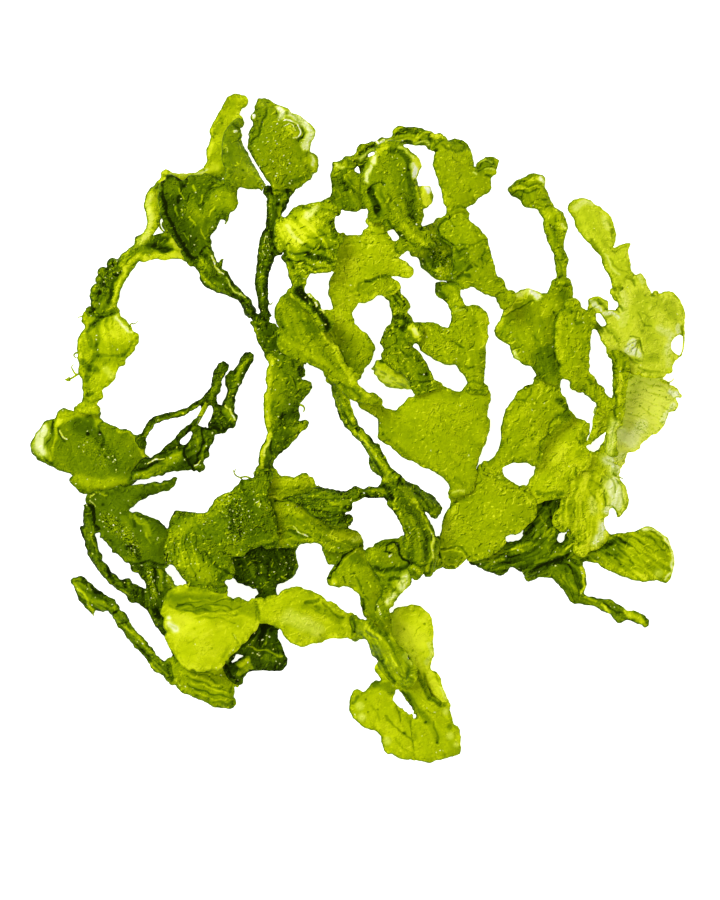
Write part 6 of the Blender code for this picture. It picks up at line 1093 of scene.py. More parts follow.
        "ridge": [(0.4, 0.4, 37.2, -23.2, 37.9, -24.8, 37.8, -26.5, 37.3, -27.5),
            (0.3, 0.22, 29, -24, 31.5, -22.8, 33.5, -22.2)],
        "fold": [(0.35, 0.18, 33.6, -22.2, 36, -23.5, 37, -25.5, 37.2, -26.8),
            (0.22, 0.15, 34.5, -23.5, 35.3, -26, 36.2, -28),
            (0.22, 0.3, 41.2, -29.4, 43.2, -30.8, 44.4, -31),
            (0.16, 0.24, 35.2, -22.9, 36.4, -25, 36.9, -27.6),
            (0.14, 0.2, 33.8, -24.4, 35.4, -27.2, 36.4, -29.2), (0.22, 0.2, 38.6, -28, 40.2, -28.3)],
        "glint": [(0.22, 0.8, 37.5, -24.3, 33, -23, 30.3, -24)],
    },
    "paddle": {
        "tone": 0.715, "crisp": 1.0, "ribs": 0.7, "speck": 0.05, "grain": (40, -16.4, 53, -25.6),
        "dark": [(1.8, 0.24, 37.6, -21, 40.5, -20.4, 43.4, -20.8),
            (0.7, 0.25, 38.3, -20.2, 40.5, -20, 43, -18.8, 45, -18.8),
            (0.7, 0.28, 41, -19, 43, -19.2, 45, -19.6), (0.5, 0.3, 37, -22.6, 38.4, -21.8)],
        "lit": [(0.4, 0.15, 47.2, -16.8, 49, -16.9, 51, -17.8, 52.3, -19.5, 52.8, -22, 52.5, -24),
            (0.8, 0.14, 44, -24, 48, -24.8)],
        "ridge": [(0.3, 0.14, 43.6, -19.1, 46.2, -20.4, 48, -22.6),
            (0.28, 0.14, 45.8, -18.4, 48.3, -19.8, 50.2, -22)],
        "fold": [(0.3, 0.26, 43, -18.2, 45.5, -19.3, 47, -21),
            (0.28, 0.26, 44.5, -17.8, 47.5, -19, 49.5, -21), (0.28, 0.26, 46, -17.3, 49, -18.3, 51.3, -20.5),
            (0.25, 0.24, 48, -17, 50.5, -18, 52, -20), (0.3, 0.26, 41.5, -20.8, 43, -21.5, 44.3, -23),
            (0.28, 0.26, 43.5, -20, 45.3, -21.5, 46.3, -23)],
        "pale": [(0.4, 0.7, 47.2, -16.8, 49, -16.9, 51, -17.8, 52.3, -19.5, 52.8, -22, 52.5, -24,
            51.5, -25.2), (1, 0.45, 50.3, -24.3)],
        "glint": [(0.2, 0.6, 40.2, -20.1, 42.8, -20.3)],
    },
    "centre_trunk": {
        "tone": 0.435, "crisp": 1.43, "core": 0.1, "ribs": 0.4, "speck": 0.1,
        "grain": (6, -11, 8.5, -14, 10.5, -18, 11, -22, 10.6, -25),
        "dark": [(0.8, 0.12, 7, -11.4, 8.2, -13)],
        "lit": [(0.5, 0.18, 5.9, -12, 6.9, -14.6, 7.9, -17, 8.2, -19), (0.6, 0.25, 9, -23, 10.3, -24),
            (0.5, 0.28, 9, -12, 9.8, -12.5)],
        "ridge": [(0.4, 0.3, 10, -13, 11.5, -15.5, 12.4, -18, 12.5, -20, 12, -22, 11.5, -23.5),
            (0.25, 0.15, 8.6, -14.6, 9.8, -17, 10.4, -19.6, 10.2, -22)],
        "fold": [(0.6, 0.22, 8.5, -13.5, 10.4, -16, 11.3, -18.5, 11.2, -21.5),
            (0.35, 0.2, 9.5, -10.8, 11, -11.8, 12.5, -13.5),
            (0.3, 0.25, 9, -22.4, 10.4, -22.9, 11.8, -22.4)],
        "pale": [(0.3, 0.3, 11.9, -16.6, 12.5, -19, 12.2, -21.6)],
        "glint": [(0.2, 0.7, 8.5, -16.4, 10.1, -18, 12.2, -17.5, 7.5, -10.5, 9.3, -12.3, 12.4, -20.3)],
    },
    "twigs": {
        "tone": 0.232, "crisp": 1.43, "core": 0.12, "ribs": 0.4, "speck": 0.3,
        "grain": (-20, 12, -22, 2.5, -28, -1),
        "wisps": [(0.4, -25.2, 4.2, -26.4, 1.9, -27.3, 0.5, -28.9, -0.3, -29.7, -1.4, -30.8, -2.6,
            -32.8, -4.2)],
        "holes": [(-26.8, 0.7, -25.8, 2, -25.3, 3.4, -24.5, 3.8, -24.3, 2.7, -24.7, 1.3, -25.6, 0.2)],
        "dark": [(0.5, 0.2, -24.4, 2.6, -24.2, 1, -25, 0), (0.6, 0.22, -23.8, 0.6, -22.8, -0.4)],
        "lit": [(0.9, 0.25, -21.8, 3.2, -21, 1.6), (0.5, 0.2, -23, 8.6, -24, 6.4, -24.6, 4.8),
            (0.3, 0.25, -35.6, -1.6, -33.8, 1, -30, 2.2, -26.6, 3.6),
            (0.5, 0.25, -18.6, 11.4, -20.2, 8.6, -20.9, 6)],
        "fold": [(0.25, 0.2, -22.8, 2.8, -22, 1.2)],
        "pale": [(0.25, 0.5, -23.9, 9.9, -23.3, 10.6)],
        "gleam": [(0.3, 0.6, -21.2, 3, -20.6, 1.4), (0.2, 0.5, -22.2, 3.8, -21.6, 3.2)],
        "glint": [(0.22, 0.8, -19.3, 9.2, -20, 7.3, -22, 0.8, -24.6, 0.9, -20.9, 5.4)],
        "spot": [(0.5, 0.3, -23.9, 0.5)],
    },
    "dark_pod": {
        "tone": 0.215, "crisp": 0.75, "ribs": 0.6, "speck": 0.35,
        "grain": (-39, -9, -34, -6, -29, -3.5, -25.5, -2),
        "holes": [(-29.7, -2.6, -28.9, -1.5, -27.7, -0.6, -28.2, -1.7, -28.8, -2.8),
            (-26.8, 0.7, -25.8, 2, -25.3, 3.4, -24.5, 3.8, -24.3, 2.7, -24.7, 1.3, -25.6, 0.2)],
        "dark": [(0.7, 0.12, -36, -5.5, -33, -4, -30, -3), (0.3, 0.4, -27.9, 0.2, -28.6, -1.6, -29, -4.2,
            -28.2, -6.2, -27.3, -7), (0.3, 0.35, -25.9, 0.3, -25.9, -2.4, -26.6, -4.6, -27.2, -6)],
        "lit": [(1.5, 0.1, -26.9, -1.6, -26.8, -4.4), (0.25, 0.2, -27, 0.6, -27.9, -0.8, -28.3, -3.4),
            (1.1, 0.34, -38.6, -8.6, -34, -7.3, -31, -5.3, -29.9, -4.3),
            (0.35, 0.22, -26.8, -1.8, -26.9, -3), (0.3, 0.25, -25.2, -2, -26, -5)],
        "ridge": [(0.3, 0.12, -34, -4.4, -31, -3.2, -29, -2.9)],
        "fold": [(0.35, 0.18, -37.8, -8, -36, -6.9, -34.5, -6.5),
            (0.28, 0.2, -35, -6.4, -33.3, -5.9, -32.3, -5.8)],
        "gleam": [(0.18, 0.7, -35.2, -5.8, -33.5, -5.2, -32.3, -5), (0.14, 0.7, -26.3, -5.3, -27.3, -6.4)],
        "glint": [(0.2, 0.8, -31.2, -5, -28.9, -5.3, -30.2, -3.2, -36.6, -8, -25.3, -3)],
    },
    "hub_left": {
        "tone": 0.361, "crisp": 0.46, "ribs": 0.12, "speck": 0.5, "grain": (-45, -12, -41, -15, -37, -21),
        "dark": [(0.5, 0.45, -44, -16.5, -43.4, -16.9), (0.8, 0.3, -38.5, -19.8, -37, -20.5, -36.5, -21.5),
            (1.2, 0.14, -36, -11.5, -33, -12.5)],
        "lit": [(0.9, 0.12, -39, -15, -38.3, -17), (0.8, 0.2, -37.4, -14.8, -35.6, -15.8, -34.8, -17.8),
            (0.2, 0.16, -37, -15.6, -35.8, -16), (0.2, 0.16, -35.2, -17.6, -34.6, -19.2),
            (0.5, 0.12, -39.5, -21.3, -37.5, -22.3)],
        "ridge": [(0.2, 0.35, -43.8, -10.9, -41.8, -11.1), (0.32, 0.25, -39, -9.5, -35, -9.2, -32, -9.4)],
        "fold": [(0.28, 0.22, -37.5, -14.6, -37.3, -16.5), (0.3, 0.2, -37.4, -14.2, -35, -15, -33, -15.6,
            -31.6, -17.4)],
        "gleam": [(0.28, 0.6, -44.7, -11.5, -44, -11.2), (0.14, 0.5, -44.8, -12, -44, -13.2)],
        "glint": [(0.22, 0.9, -41.6, -14.4, -40.8, -16.2, -39.5, -18.2, -38.6, -16.6, -37.5, -19.4,
            -42.6, -15.6, -36.2, -17.1, -38.4, -20.7)],
        "spot": [(0.4, 0.2, -41.3, -18.8, -42.6, -12.8)],
        "sparkle": [(1.8, 1, -42, -15, -40, -17, -38, -18.5, -37, -21)],
        "lump": [(0.6, 0.4, -42.3, -14.2, -41, -15.4, -40.2, -17, -38.9, -17.6, -38.2, -19.2, -39.4, -16,
            -37.4, -18)],
    },
    "stalk_thin": {
        "tone": 0.296, "crisp": 0.96, "core": 0.2, "ribs": 0.6, "speck": 0.2,
        "grain": (-45.5, -14, -44, -20, -42, -26, -38, -28),
        "wisps": [(0.24, -45.6, -18.3, -46, -17.2, -46.4, -16.4)],
        "dark": [(0.5, 0.28, -42, -24, -40.8, -25.5), (0.5, 0.3, -39.2, -25.2, -38.9, -26.6)],
        "lit": [(0.4, 0.25, -38.3, -25.9)],
        "ridge": [(0.28, 0.3, -44.4, -16.5, -44.3, -18.5, -44, -20, -43.5, -21.3),
            (0.28, 0.22, -44, -22.5, -42.5, -25, -40, -27, -38, -28)],
        "glint": [(0.2, 0.8, -39, -25.8, -44.4, -21, -44.6, -17.4)],
    },
    "stalk_dark": {
        "tone": 0.256, "crisp": 1.13, "ribs": 0.6, "speck": 0.6, "grain": (-36, -21, -34, -26, -33.5, -31),
        "holes": [(-32, -23.2, -31.2, -22.8, -30.5, -23.1, -29.5, -24, -28.9, -25, -28.2, -26,
            -29.9, -26.7, -31.2, -24.4)],
        "dark": [(0.6, 0.3, -34, -30.4, -33.2, -31.6)],
        "lit": [(0.8, 0.06, -35.3, -22.4, -34.6, -25, -34.1, -28),
            (0.5, 0.28, -33.5, -22.5, -32.8, -25, -33, -27),
            (0.9, 0.35, -31.5, -24.8, -30.9, -27, -31.8, -28.4)],
        "fold": [(0.3, 0.25, -34.4, -22.4, -33.8, -25, -33.5, -28)],
        "glint": [(0.2, 0.95, -35.3, -22.8, -35.1, -24, -34.5, -24.9, -34.9, -26.1, -34.1, -27.2,
            -34.5, -28.4, -33.8, -29.4, -34.8, -21.6)],
        "sparkle": [(1, 1, -35.5, -22, -34.6, -25, -34, -28)],
    },
    "crown": {
        "tone": 0.44, "crisp": 1.83, "ribs": 0.05, "speck": 0.3, "grain": (-29, -27),
        "wisps": [(0.16, -17.4, -8.6, -18.6, -8.1, -19.7, -8.2, -20.4, -7.8, -20.8, -7),
            (0.13, -20.4, -7.8, -20.6, -7.4, -20.3, -6.8), (0.14, -19.6, -8.2, -19.2, -8.7, -19, -9.4)],
        "dark": [(3.2, 0.13, -19.6, -11.6, -18.8, -14, -18.8, -16.6, -16.4, -16),
            (0.9, 0.14, -21.4, -13.4, -20.8, -16.8), (0.9, 0.16, -22, -24, -23, -25),
            (1.5, 0.1, -20.6, -12.2, -20, -17.4), (1, 0.12, -30, -25.4, -28, -26.6)],
        "lit": [(1.5, 0.16, -31, -18, -27, -15.5, -23, -12.5, -20.5, -10.6), (2.8, 0.2, -29, -22, -26, -24),
            (0.6, 0.25, -16.5, -12.7), (0.2, 0.16, -29.6, -18.4, -29.4, -21, -28.4, -23.6),
            (0.2, 0.16, -27.8, -18, -27.4, -20.6, -26.2, -23.4)],
        "ridge": [(0.3, 0.1, -22, -19, -17, -19.3, -14, -18.5)],
        "fold": [(0.35, 0.2, -25.6, -20.6, -24, -22.4, -22, -24, -20.6, -24.4),
            (0.3, 0.2, -24.6, -26, -23, -26.6, -21.8, -26.4), (0.25, 0.15, -27.4, -15, -25.4, -17.6),
            (0.16, 0.24, -30.4, -18.2, -30.6, -20.8, -29.4, -23.6), (0.16, 0.24, -28.8, -17.6,
            -28.6, -20.4, -27.6, -23.4, -26.8, -25.4), (0.16, 0.22, -27.2, -17.2, -26.6, -20, -25.4, -22.6),
            (0.25, 0.15, -23.6, -12.9, -22, -15.6)],
        "gleam": [(0.13, 0.6, -16.9, -12.5, -16.4, -12.3), (0.13, 0.6, -16, -12.7, -16.3, -13.2)],
        "glint": [(0.15, 0.85, -21.4, -11.4, -20.6, -11.8, -19.8, -11.9, -20.9, -13.2, -19.6, -12.9,
            -18.6, -13, -20.1, -14.2, -19.2, -14.6, -18.2, -13.8, -20.6, -15.2, -19.4, -15.6, -18.5, -15.9,
            -19.9, -16.8, -18.9, -17.4, -20.4, -18, -21.8, -14.6, -17.4, -15.6), (0.2, 0.85, -20.4, -12.6,
            -19.1, -13.5, -18, -14.7, -20.3, -16.1, -17.7, -16.9, -22.5, -13.9, -25.3, -15.6, -29.6, -19.2,
            -31.5, -20.6, -27.8, -22.6, -23.2, -21.5, -16.9, -14.4, -21.6, -18.2, -24.8, -24.1)],
        "sparkle": [(3, 0.8, -21.5, -12.4, -19.8, -14, -20.2, -17.5), (2.4, 0.4, -33, -21, -28, -20)],
    },
    "strap_leaf": {
        "tone": 0.574, "crisp": 1.56, "ribs": 0.5, "speck": 0.25,
        "grain": (-17, -12, -10, -11.5, -4, -16, 0, -18),
        "dark": [(0.9, 0.12, -6, -15.5, -4, -16)],
        "lit": [(1.3, 0.2, -14, -9, -10, -9, -8, -9), (1.1, 0.14, -13, -13.5, -9.5, -13.8, -7, -15),
            (1.3, 0.22, -4, -18, -1, -18, 0, -18)],
        "ridge": [(0.2, 0.4, -16, -9.2, -15.2, -11.4, -13.5, -11.8, -11.9, -12, -9.7, -11.4),
            (0.2, 0.25, -10.9, -16.3, -12, -16.5, -13.4, -17.2),
            (0.3, 0.15, -14, -18.7, -9, -18.5, -6, -19)],
        "fold": [(0.4, 0.25, -14, -12, -10, -12, -7, -13, -4, -14),
            (0.4, 0.22, -14, -17.8, -12, -17, -10.5, -17.5, -8, -18.2),
            (0.28, 0.2, -4.6, -16.6, -2.6, -16.8, -0.6, -16.4)],
        "pale": [(0.5, 0.3, -1, -18.6, 0.4, -18)],
        "gleam": [(0.16, 0.8, -10.7, -16.4, -9.5, -17.4, -8.5, -18.1)],
        "glint": [(0.2, 0.85, -3.2, -15.5, -3, -15.1, -5.3, -17.8, -5.4, -19.1, -10.7, -16.4, -13.9, -16.5,
            -14.2, -18, -7.6, -15.8, -11.6, -12.8)],
    },
    "strand_dark": {
        "tone": 0.351, "crisp": 1.86, "core": 0.12, "ribs": 0.9, "speck": 0.3,
        "grain": (-10, -12, -5, -12.4, 1.5, -10.8, 6, -10.6),
        "dark": [(0.4, 0.22, 1.5, -10.8, 1.8, -11.6)],
        "lit": [(0.4, 0.14, 2.6, -10.6, 4.6, -10.2)],
        "ridge": [(0.2, 0.2, -10, -11.8, -7, -11, -5, -10.7), (0.4, 0.25, -5, -12, -2, -13.5),
            (0.3, 0.3, -3, -13.7, -1.8, -13.9)],
        "fold": [(0.35, 0.22, -8, -13, -6, -14, -3, -14.6), (0.35, 0.22, -4, -12.9, -1, -13.4, 1, -12.6)],
        "glint": [(0.2, 0.8, -2.5, -11.8, 1, -10.8, -6, -13, -5.6, -14.2, 3.4, -10.9)],
    },
    "dark_leaf": {
        "tone": 0.218, "crisp": 1.52, "ribs": 0.35, "speck": 0.22,
        "grain": (-19, -21.5, -15.5, -25, -15.3, -30),
        "dark": [(0.9, 0.14, -20.5, -21.3, -17.5, -20.6, -14, -19.8, -12, -20)],
        "lit": [(0.8, 0.1, -16, -25.5, -15, -27), (1, 0.06, -13, -21.8, -12.4, -23.2)],
        "ridge": [(0.7, 0.18, -18, -22.6, -17.3, -24.6), (0.35, 0.16, -16.3, -22.8, -15.8, -24.2),
            (0.28, 0.25, -10.5, -20, -10.3, -22.5, -10.7, -24.3), (0.3, 0.4, -12.6, -25, -11.5, -25.3),
            (0.3, 0.15, -20.8, -21.5, -19, -22, -18.6, -23.4)],
        "fold": [(0.35, 0.14, -17.1, -22, -16.6, -24.6), (0.35, 0.14, -15.2, -22.2, -14.8, -25.4),
            (0.35, 0.12, -13.8, -20.6, -13.2, -23), (0.35, 0.12, -11.9, -21, -11.7, -23.4)],
        "glint": [(0.2, 0.8, -14.5, -22.4, -12, -22.5, -11.5, -23.4, -12.5, -23.7, -12, -24.5, -14, -24,
            -16.2, -23.2, -12.6, -19.6, -11.6, -19.5, -20.5, -22, -16, -27.3, -17.6, -25.8, -18.9, -21.6,
            -15, -26.6, -13.2, -25.2, -10.8, -22)],
        "sparkle": [(2.2, 0.35, -13, -23.4)],
    },
    "bright_leaf": {
        "tone": 0.87, "crisp": 0.39, "ribs": 0.14, "speck": 0.04, "grain": (-16.8, -30.5),
        "dark": [(1.1, 0.12, -30.6, -28.2, -27, -27.6, -23.4, -28.4),
            (1.9, 0.28, -31, -28.6, -27, -29, -22, -28.9, -18, -29.5), (0.9, 0.2, -30, -29.9, -25, -30.2),
            (0.6, 0.15, -20, -30.8, -17, -31), (1.4, 0.1, -24, -31.4, -20, -32.6),
            (0.5, 0.12, -21.4, -36, -22.4, -38.2)],
        "lit": [(0.22, 0.14, -30, -30.2, -26.6, -29.5, -22.8, -29.6),
            (0.25, 0.16, -28, -28.6, -25, -28.9, -22, -28.4), (2.6, 0.1, -30, -32.4, -26, -33.6)],
        "fold": [(0.2, 0.22, -30.4, -29.6, -27, -28.9, -23.6, -28.9, -20.6, -28.4),
            (0.2, 0.2, -29.6, -30.8, -26.4, -30.2, -22.6, -30.6, -19.6, -29.8),
            (0.18, 0.16, -26.6, -31.8, -23, -31.4, -20, -31),
            (0.2, 0.24, -30, -29.2, -27, -29.7, -24, -29.3, -21, -30),
            (0.18, 0.2, -29, -30.4, -26, -30.9, -23, -30.3, -20, -31.2),
            (0.16, 0.16, -27, -31.6, -24, -31.4, -20.5, -32.4),
            (0.25, 0.2, -31.4, -29.8, -28, -30.6, -25, -30.4),
            (0.25, 0.22, -20.9, -34, -19.9, -35.6, -21.2, -38), (0.2, 0.1, -28.4, -36, -26.4, -34.6),
            (0.2, 0.1, -25.6, -38, -24.4, -36.4)],
        "pale": [(1, 0.75, -31.4, -32.9, -30.5, -33.4), (0.6, 0.8, -31.5, -31.6)],
        "gleam": [(0.4, 0.3, -31.3, -32.9, -30.5, -33.3), (0.16, 0.45, -20.6, -34.2, -20.2, -35),
            (0.14, 0.45, -20.6, -36.4, -21.3, -37.5)],
        "glint": [(0.22, 0.6, -31.4, -30.8, -20, -33)],
        "spot": [(0.3, 0.14, -27.2, -33.4, -24.3, -36.7)],
    },
    "yellow_leaf": {
        "tone": 0.825, "crisp": 0.75, "depth": 1.3, "ribs": 0.2, "speck": 0.04, "grain": (-16.8, -30.5),
        "dark": [(0.9, 0.15, -9, -29.8, -7, -30), (1.1, 0.2, -6.5, -30, -4, -31.5, -3, -32),
            (1.8, 0.06, 0.4, -36, 2.4, -37.4)],
        "lit": [(1.4, 0.04, -9, -36)],
        "fold": [(0.4, 0.28, -8.6, -29.2, -7.4, -29, -6.4, -28.5),
            (0.28, 0.2, -5.6, -29.4, -4.2, -30.8, -2.4, -31.8), (0.25, 0.2, -1, -34, -0.8, -33),
            (0.28, 0.3, 2.2, -33, 4, -34, 4.9, -35.2, 5.3, -36), (0.2, 0.1, -4, -36.4, -2, -36.8)],
        "pale": [(1.8, 0.35, -11.5, -31.5, -9, -32.5, -7, -33.5)],
        "spot": [(0.35, 0.18, -6.3, -34.5, -2.6, -33.4)],
    },
    "dark_wedge": {
        "tone": 0.192, "crisp": 0.75, "depth": 1.5, "ribs": 0.4, "speck": 0.4, "grain": (-14.8, -32),
        "dark": [(1.4, 0.14, -16.5, -32.5, -15, -33.5, -18, -34.5)],
        "lit": [(0.9, 0.42, -19.5, -39.5, -18.5, -39), (0.7, 0.3, -20, -41, -18, -40),
            (0.9, 0.1, -15.6, -38.4, -14, -38.6)],
        "ridge": [(0.28, 0.3, -18.4, -36.5, -17, -36.9, -15.5, -37.2, -12.8, -38.2),
            (0.35, 0.16, -16.5, -33.4, -17.6, -36), (0.3, 0.14, -15.2, -33.8, -15.4, -36.2)],
        "fold": [(0.35, 0.14, -16, -33.4, -16.4, -36.2)],
        "pale": [(0.7, 0.55, -22, -38.9)],
        "glint": [(0.24, 0.95, -15.3, -34.7, -14.8, -34.9, -17.5, -35.5, -18.3, -36.2, -16.5, -38,
            -16.8, -37.8, -18.4, -39.2, -14.2, -37, -16, -35.4, -17.6, -37.6, -19.4, -38.4)],
    },
    "lower_bar": {
        "tone": 0.43, "crisp": 0.69, "core": 0.06, "ribs": 0.9, "speck": 0.15,
        "grain": (-47, -27, -42, -30, -37, -35, -31.5, -40.5),
        "wisps": [(0.15, -44.7, -30.4, -44.4, -31, -44.2, -31.5)],
        "dark": [(0.4, 0.45, -40.9, -30.9, -40.4, -30.7), (0.6, 0.22, -31.3, -39.5, -30, -39),
            (0.6, 0.15, -38.8, -31.4, -36.4, -33.4)],
        "lit": [(0.5, 0.14, -42, -31, -40, -31.8), (0.3, 0.3, -34.8, -39.5, -33.5, -40.7)],
        "ridge": [(0.45, 0.32, -47.3, -26, -45.5, -28.5, -44.4, -30.4),
            (0.4, 0.25, -39, -32.7, -36.5, -35.3, -34.5, -37.5, -33, -39)],
        "fold": [(0.5, 0.25, -46, -25.5, -43, -28, -41, -29.5), (0.4, 0.18, -44.5, -28, -42, -29),
            (0.28, 0.24, -40, -33, -38.6, -32.3), (0.4, 0.28, -38.5, -34.5, -36, -37.3, -34.5, -39)],
        "pale": [(0.3, 0.4, -45, -26.2, -44.6, -27)],
        "glint": [(0.2, 0.8, -36.7, -35.3, -36, -36, -35.2, -36.8, -34.2, -39.2, -32.6, -39.5,
            -44.5, -29.6, -46.9, -26.8)],
    },
    "lower_fan": {
        "tone": 0.645, "crisp": 0.84, "ribs": 0.4, "speck": 0.1, "grain": (-31.5, -41),
        "dark": [(0.25, 0.34, -28.5, -43, -25, -44.3, -21.5, -45.1),
            (0.8, 0.16, -27, -44.8, -23, -46.2, -21, -46.3), (0.7, 0.3, -21, -45.8)],
        "lit": [(0.3, 0.16, -29.6, -40.8, -26.4, -41.9, -22.8, -43.2), (0.6, 0.25, -20, -40.5, -19.2, -39.7),
            (0.8, 0.18, -24, -40.3, -22.5, -40)],
        "ridge": [(0.22, 0.2, -28, -42.5, -25, -43.3, -22, -44.3),
            (0.22, 0.22, -27, -44.3, -24.6, -45.2, -22, -45.8)],
        "fold": [(0.18, 0.22, -28.5, -40.5, -25, -41.5, -22.5, -43.5),
            (0.18, 0.24, -29, -41.5, -26, -42.5, -22, -44),
            (0.14, 0.2, -27.6, -40.4, -24.6, -40.9, -21.6, -42.2),
            (0.3, 0.2, -21.5, -41, -20.8, -42.5, -21.3, -44)],
        "pale": [(0.5, 0.3, -23.6, -40, -21, -40.4, -19.6, -41)],
        "glint": [(0.22, 0.85, -30.3, -42.3, -29.8, -43, -28.9, -43.2, -27.6, -43.5, -29.3, -39.6)],
        "lump": [(0.5, 0.35, -30.2, -42, -29.4, -42.8, -28.6, -43.5, -29.6, -41.2)],
    },
    "lower_leaf": {
        "tone": 0.635, "crisp": 1.0, "depth": 1.5, "ribs": 0.2, "speck": 0.15,
        "grain": (-2, -20, -1, -27, 3, -32, 4.6, -34),
        "dark": [(1.7, 0.1, -4.5, -21, -3.5, -22), (1.3, 0.12, -0.5, -21.5, 0.5, -22.5),
            (0.5, 0.3, 0.7, -28.5, 0.8, -30.5), (0.6, 0.12, 2.6, -31.4, 4, -33)],
        "lit": [(0.8, 0.14, -4, -25.6), (1.2, 0.08, -1, -27, 0, -29)],
        "ridge": [(0.2, 0.14, 0.2, -20, -1.6, -21.4, -3.1, -23.2)],
        "fold": [(0.25, 0.34, 0, -19.5, -2, -21, -3.5, -23, -4.8, -25), (0.25, 0.22, -2.3, -25, -2.2, -26),
            (0.25, 0.16, -0.6, -24, 0.2, -26.4, 1.6, -28.6)],
        "glint": [(0.2, 0.8, -1.3, -25.5, 1.3, -21.3, 1.4, -22.3, -2.1, -20.2, -0.4, -20.6, -3.4, -21.5)],
    },
    "cup_leaf": {
        "tone": 0.555, "crisp": 1.1, "depth": 1.2, "ribs": 0.2, "speck": 0.15,
        "grain": (6, -20, 5, -26, 4.3, -31),
        "dark": [(0.7, 0.12, 3, -19.5, 4.5, -18.7, 6.5, -18.8), (0.28, 0.48, 5.5, -21, 4.5, -20.4,
            4.7, -19.6, 5.6, -19.1, 6.4, -19.2, 6.7, -20, 7, -20.9, 8, -22, 9, -23.2),
            (0.6, 0.3, 2.8, -23.3, 5, -23.6, 8.5, -23), (0.4, 0.32, 5.3, -25.3, 6.6, -24.9, 7.8, -25)],
        "lit": [(1, 0.14, 2.6, -21), (0.9, 0.12, 6.4, -25.6, 4.8, -28.4), (0.8, 0.1, 3.4, -26)],
        "ridge": [(0.2, 0.2, 5.2, -20.1, 5.8, -19.8, 6.2, -20.4), (0.25, 0.25, 2.5, -24.1, 4.5, -24.3)],
        "fold": [(0.16, 0.35, 7, -24.6, 7.2, -26.2), (0.16, 0.35, 6.2, -26.4, 5.6, -28.2),
            (0.35, 0.2, 5, -26, 5.8, -27, 5.4, -28.4)],
        "pale": [(1.2, 0.75, 8, -24.8, 7.2, -26.4), (0.8, 0.7, 6.2, -27.8, 4.9, -29)],
        "gleam": [(0.24, 0.9, 5.3, -21.4, 5.7, -21.2), (0.14, 0.5, 8, -25.2, 7.8, -26.2),
            (0.14, 0.9, 3, -29.4, 3.4, -30.4, 4.2, -31.2), (0.16, 0.6, 3.3, -30, 4.2, -31.5)],
        "glint": [(0.2, 0.8, 5.7, -22.3, 8.6, -23.1, 3.5, -23.1, 6.2, -24.4)],
    },
    "low_trunk": {
        "tone": 0.687, "crisp": 0.51, "ribs": 0.6, "speck": 0.12, "grain": (4, -34, 6, -38, 8, -42.5),
        "dark": [(0.8, 0.32, 2.8, -36.4, 3.4, -38, 4.2, -38.6), (0.8, 0.12, 6, -37.6, 8, -39.8, 8.6, -41.6)],
        "lit": [(0.8, 0.15, 1.4, -33.4, 3.6, -35), (0.6, 0.12, 4.5, -38, 5, -39)],
        "ridge": [(0.3, 0.16, 5.2, -37.4, 6.6, -39.6, 7.6, -41.6)],
        "fold": [(0.55, 0.22, 3.5, -33.5, 5.5, -36, 8, -38.5, 9.5, -41),
            (0.38, 0.32, 4, -39, 4.7, -40.8, 6, -42, 7, -43.5), (0.25, 0.28, 8, -42.8, 9.2, -41.8),
            (0.35, 0.22, 8.5, -40, 8, -40.9)],
        "pale": [(0.7, 0.5, 8, -38, 8.8, -39)],
        "glint": [(0.2, 0.8, 5.5, -42.7, 5.2, -35.5, 5.6, -43.1, 8.9, -41.2)],
    },
    "round_leaf": {
        "tone": 0.955, "crisp": 0.81, "ribs": 0.1, "speck": 0.04, "grain": (13.5, -46),
        "dark": [(1.7, 0.08, 8, -31, 10, -30.5), (0.25, 0.35, 12.4, -38, 12.5, -38.6),
            (0.5, 0.34, 11, -41, 11.8, -43.5)],
        "lit": [(0.6, 0.1, 12.7, -42.5, 14, -44.5), (2.2, 0.05, 8.6, -34.4, 10.4, -36)],
        "fold": [(0.28, 0.28, 5.2, -33, 5.3, -35, 6.5, -37), (0.3, 0.45, 8, -37.5, 9, -39, 10, -41,
            11.5, -43.5, 12.5, -45, 13.7, -46), (0.25, 0.2, 12.6, -40.6, 13.6, -42.4)],
        "pale": [(0.6, 0.5, 12, -36, 12.3, -38, 11.5, -39), (0.5, 0.4, 14, -43.5, 14.8, -45.2)],
        "glint": [(0.2, 0.5, 12.9, -46)],
        "spot": [(0.34, 0.3, 5.5, -33.3, 11.1, -32.7, 7.7, -33.6, 9.2, -37.2)],
    },
    "foot_left": {
        "tone": 0.811, "crisp": 0.43, "ribs": 0.15, "speck": 0.06, "grain": (5.5, -42.5),
        "holes": [(6.6, -44.1, 5.9, -45.4, 7.2, -46.6, 9.4, -48.2, 8.3, -46, 7.4, -44.8)],
        "dark": [(1.1, 0.3, 3, -43, 5, -43, 5.5, -44), (0.5, 0.3, -0.6, -45.9, -0.2, -45.2),
            (0.5, 0.28, 7.8, -51), (0.7, 0.18, 8, -48, 9, -49.5), (0.8, 0.3, 11.7, -55.2)],
        "lit": [(1.4, 0.05, 3.8, -50, 5.4, -51.2)],
        "fold": [(0.28, 0.3, 6.6, -46.8, 7.2, -49), (0.25, 0.28, 4.5, -48, 6, -49.8, 7.5, -51, 10, -53),
            (0.25, 0.16, 6.3, -52, 7.5, -53.5, 9, -54.5), (0.22, 0.14, 2.4, -46.4, 3.6, -49)],
        "pale": [(1, 0.5, 0.3, -46.5), (1, 0.5, 0.6, -48.4), (1, 0.5, 4.8, -52.4)],
        "spot": [(0.28, 0.3, 1.7, -47.5, 3.3, -47.1, 1.3, -45.4)],
    },
    "foot_right": {
        "tone": 0.771, "crisp": 0.43, "ribs": 0.25, "speck": 0.06, "grain": (8, -42.5),
        "holes": [(6.6, -44.1, 5.9, -45.4, 7.2, -46.6, 9.4, -48.2, 8.3, -46, 7.4, -44.8)],
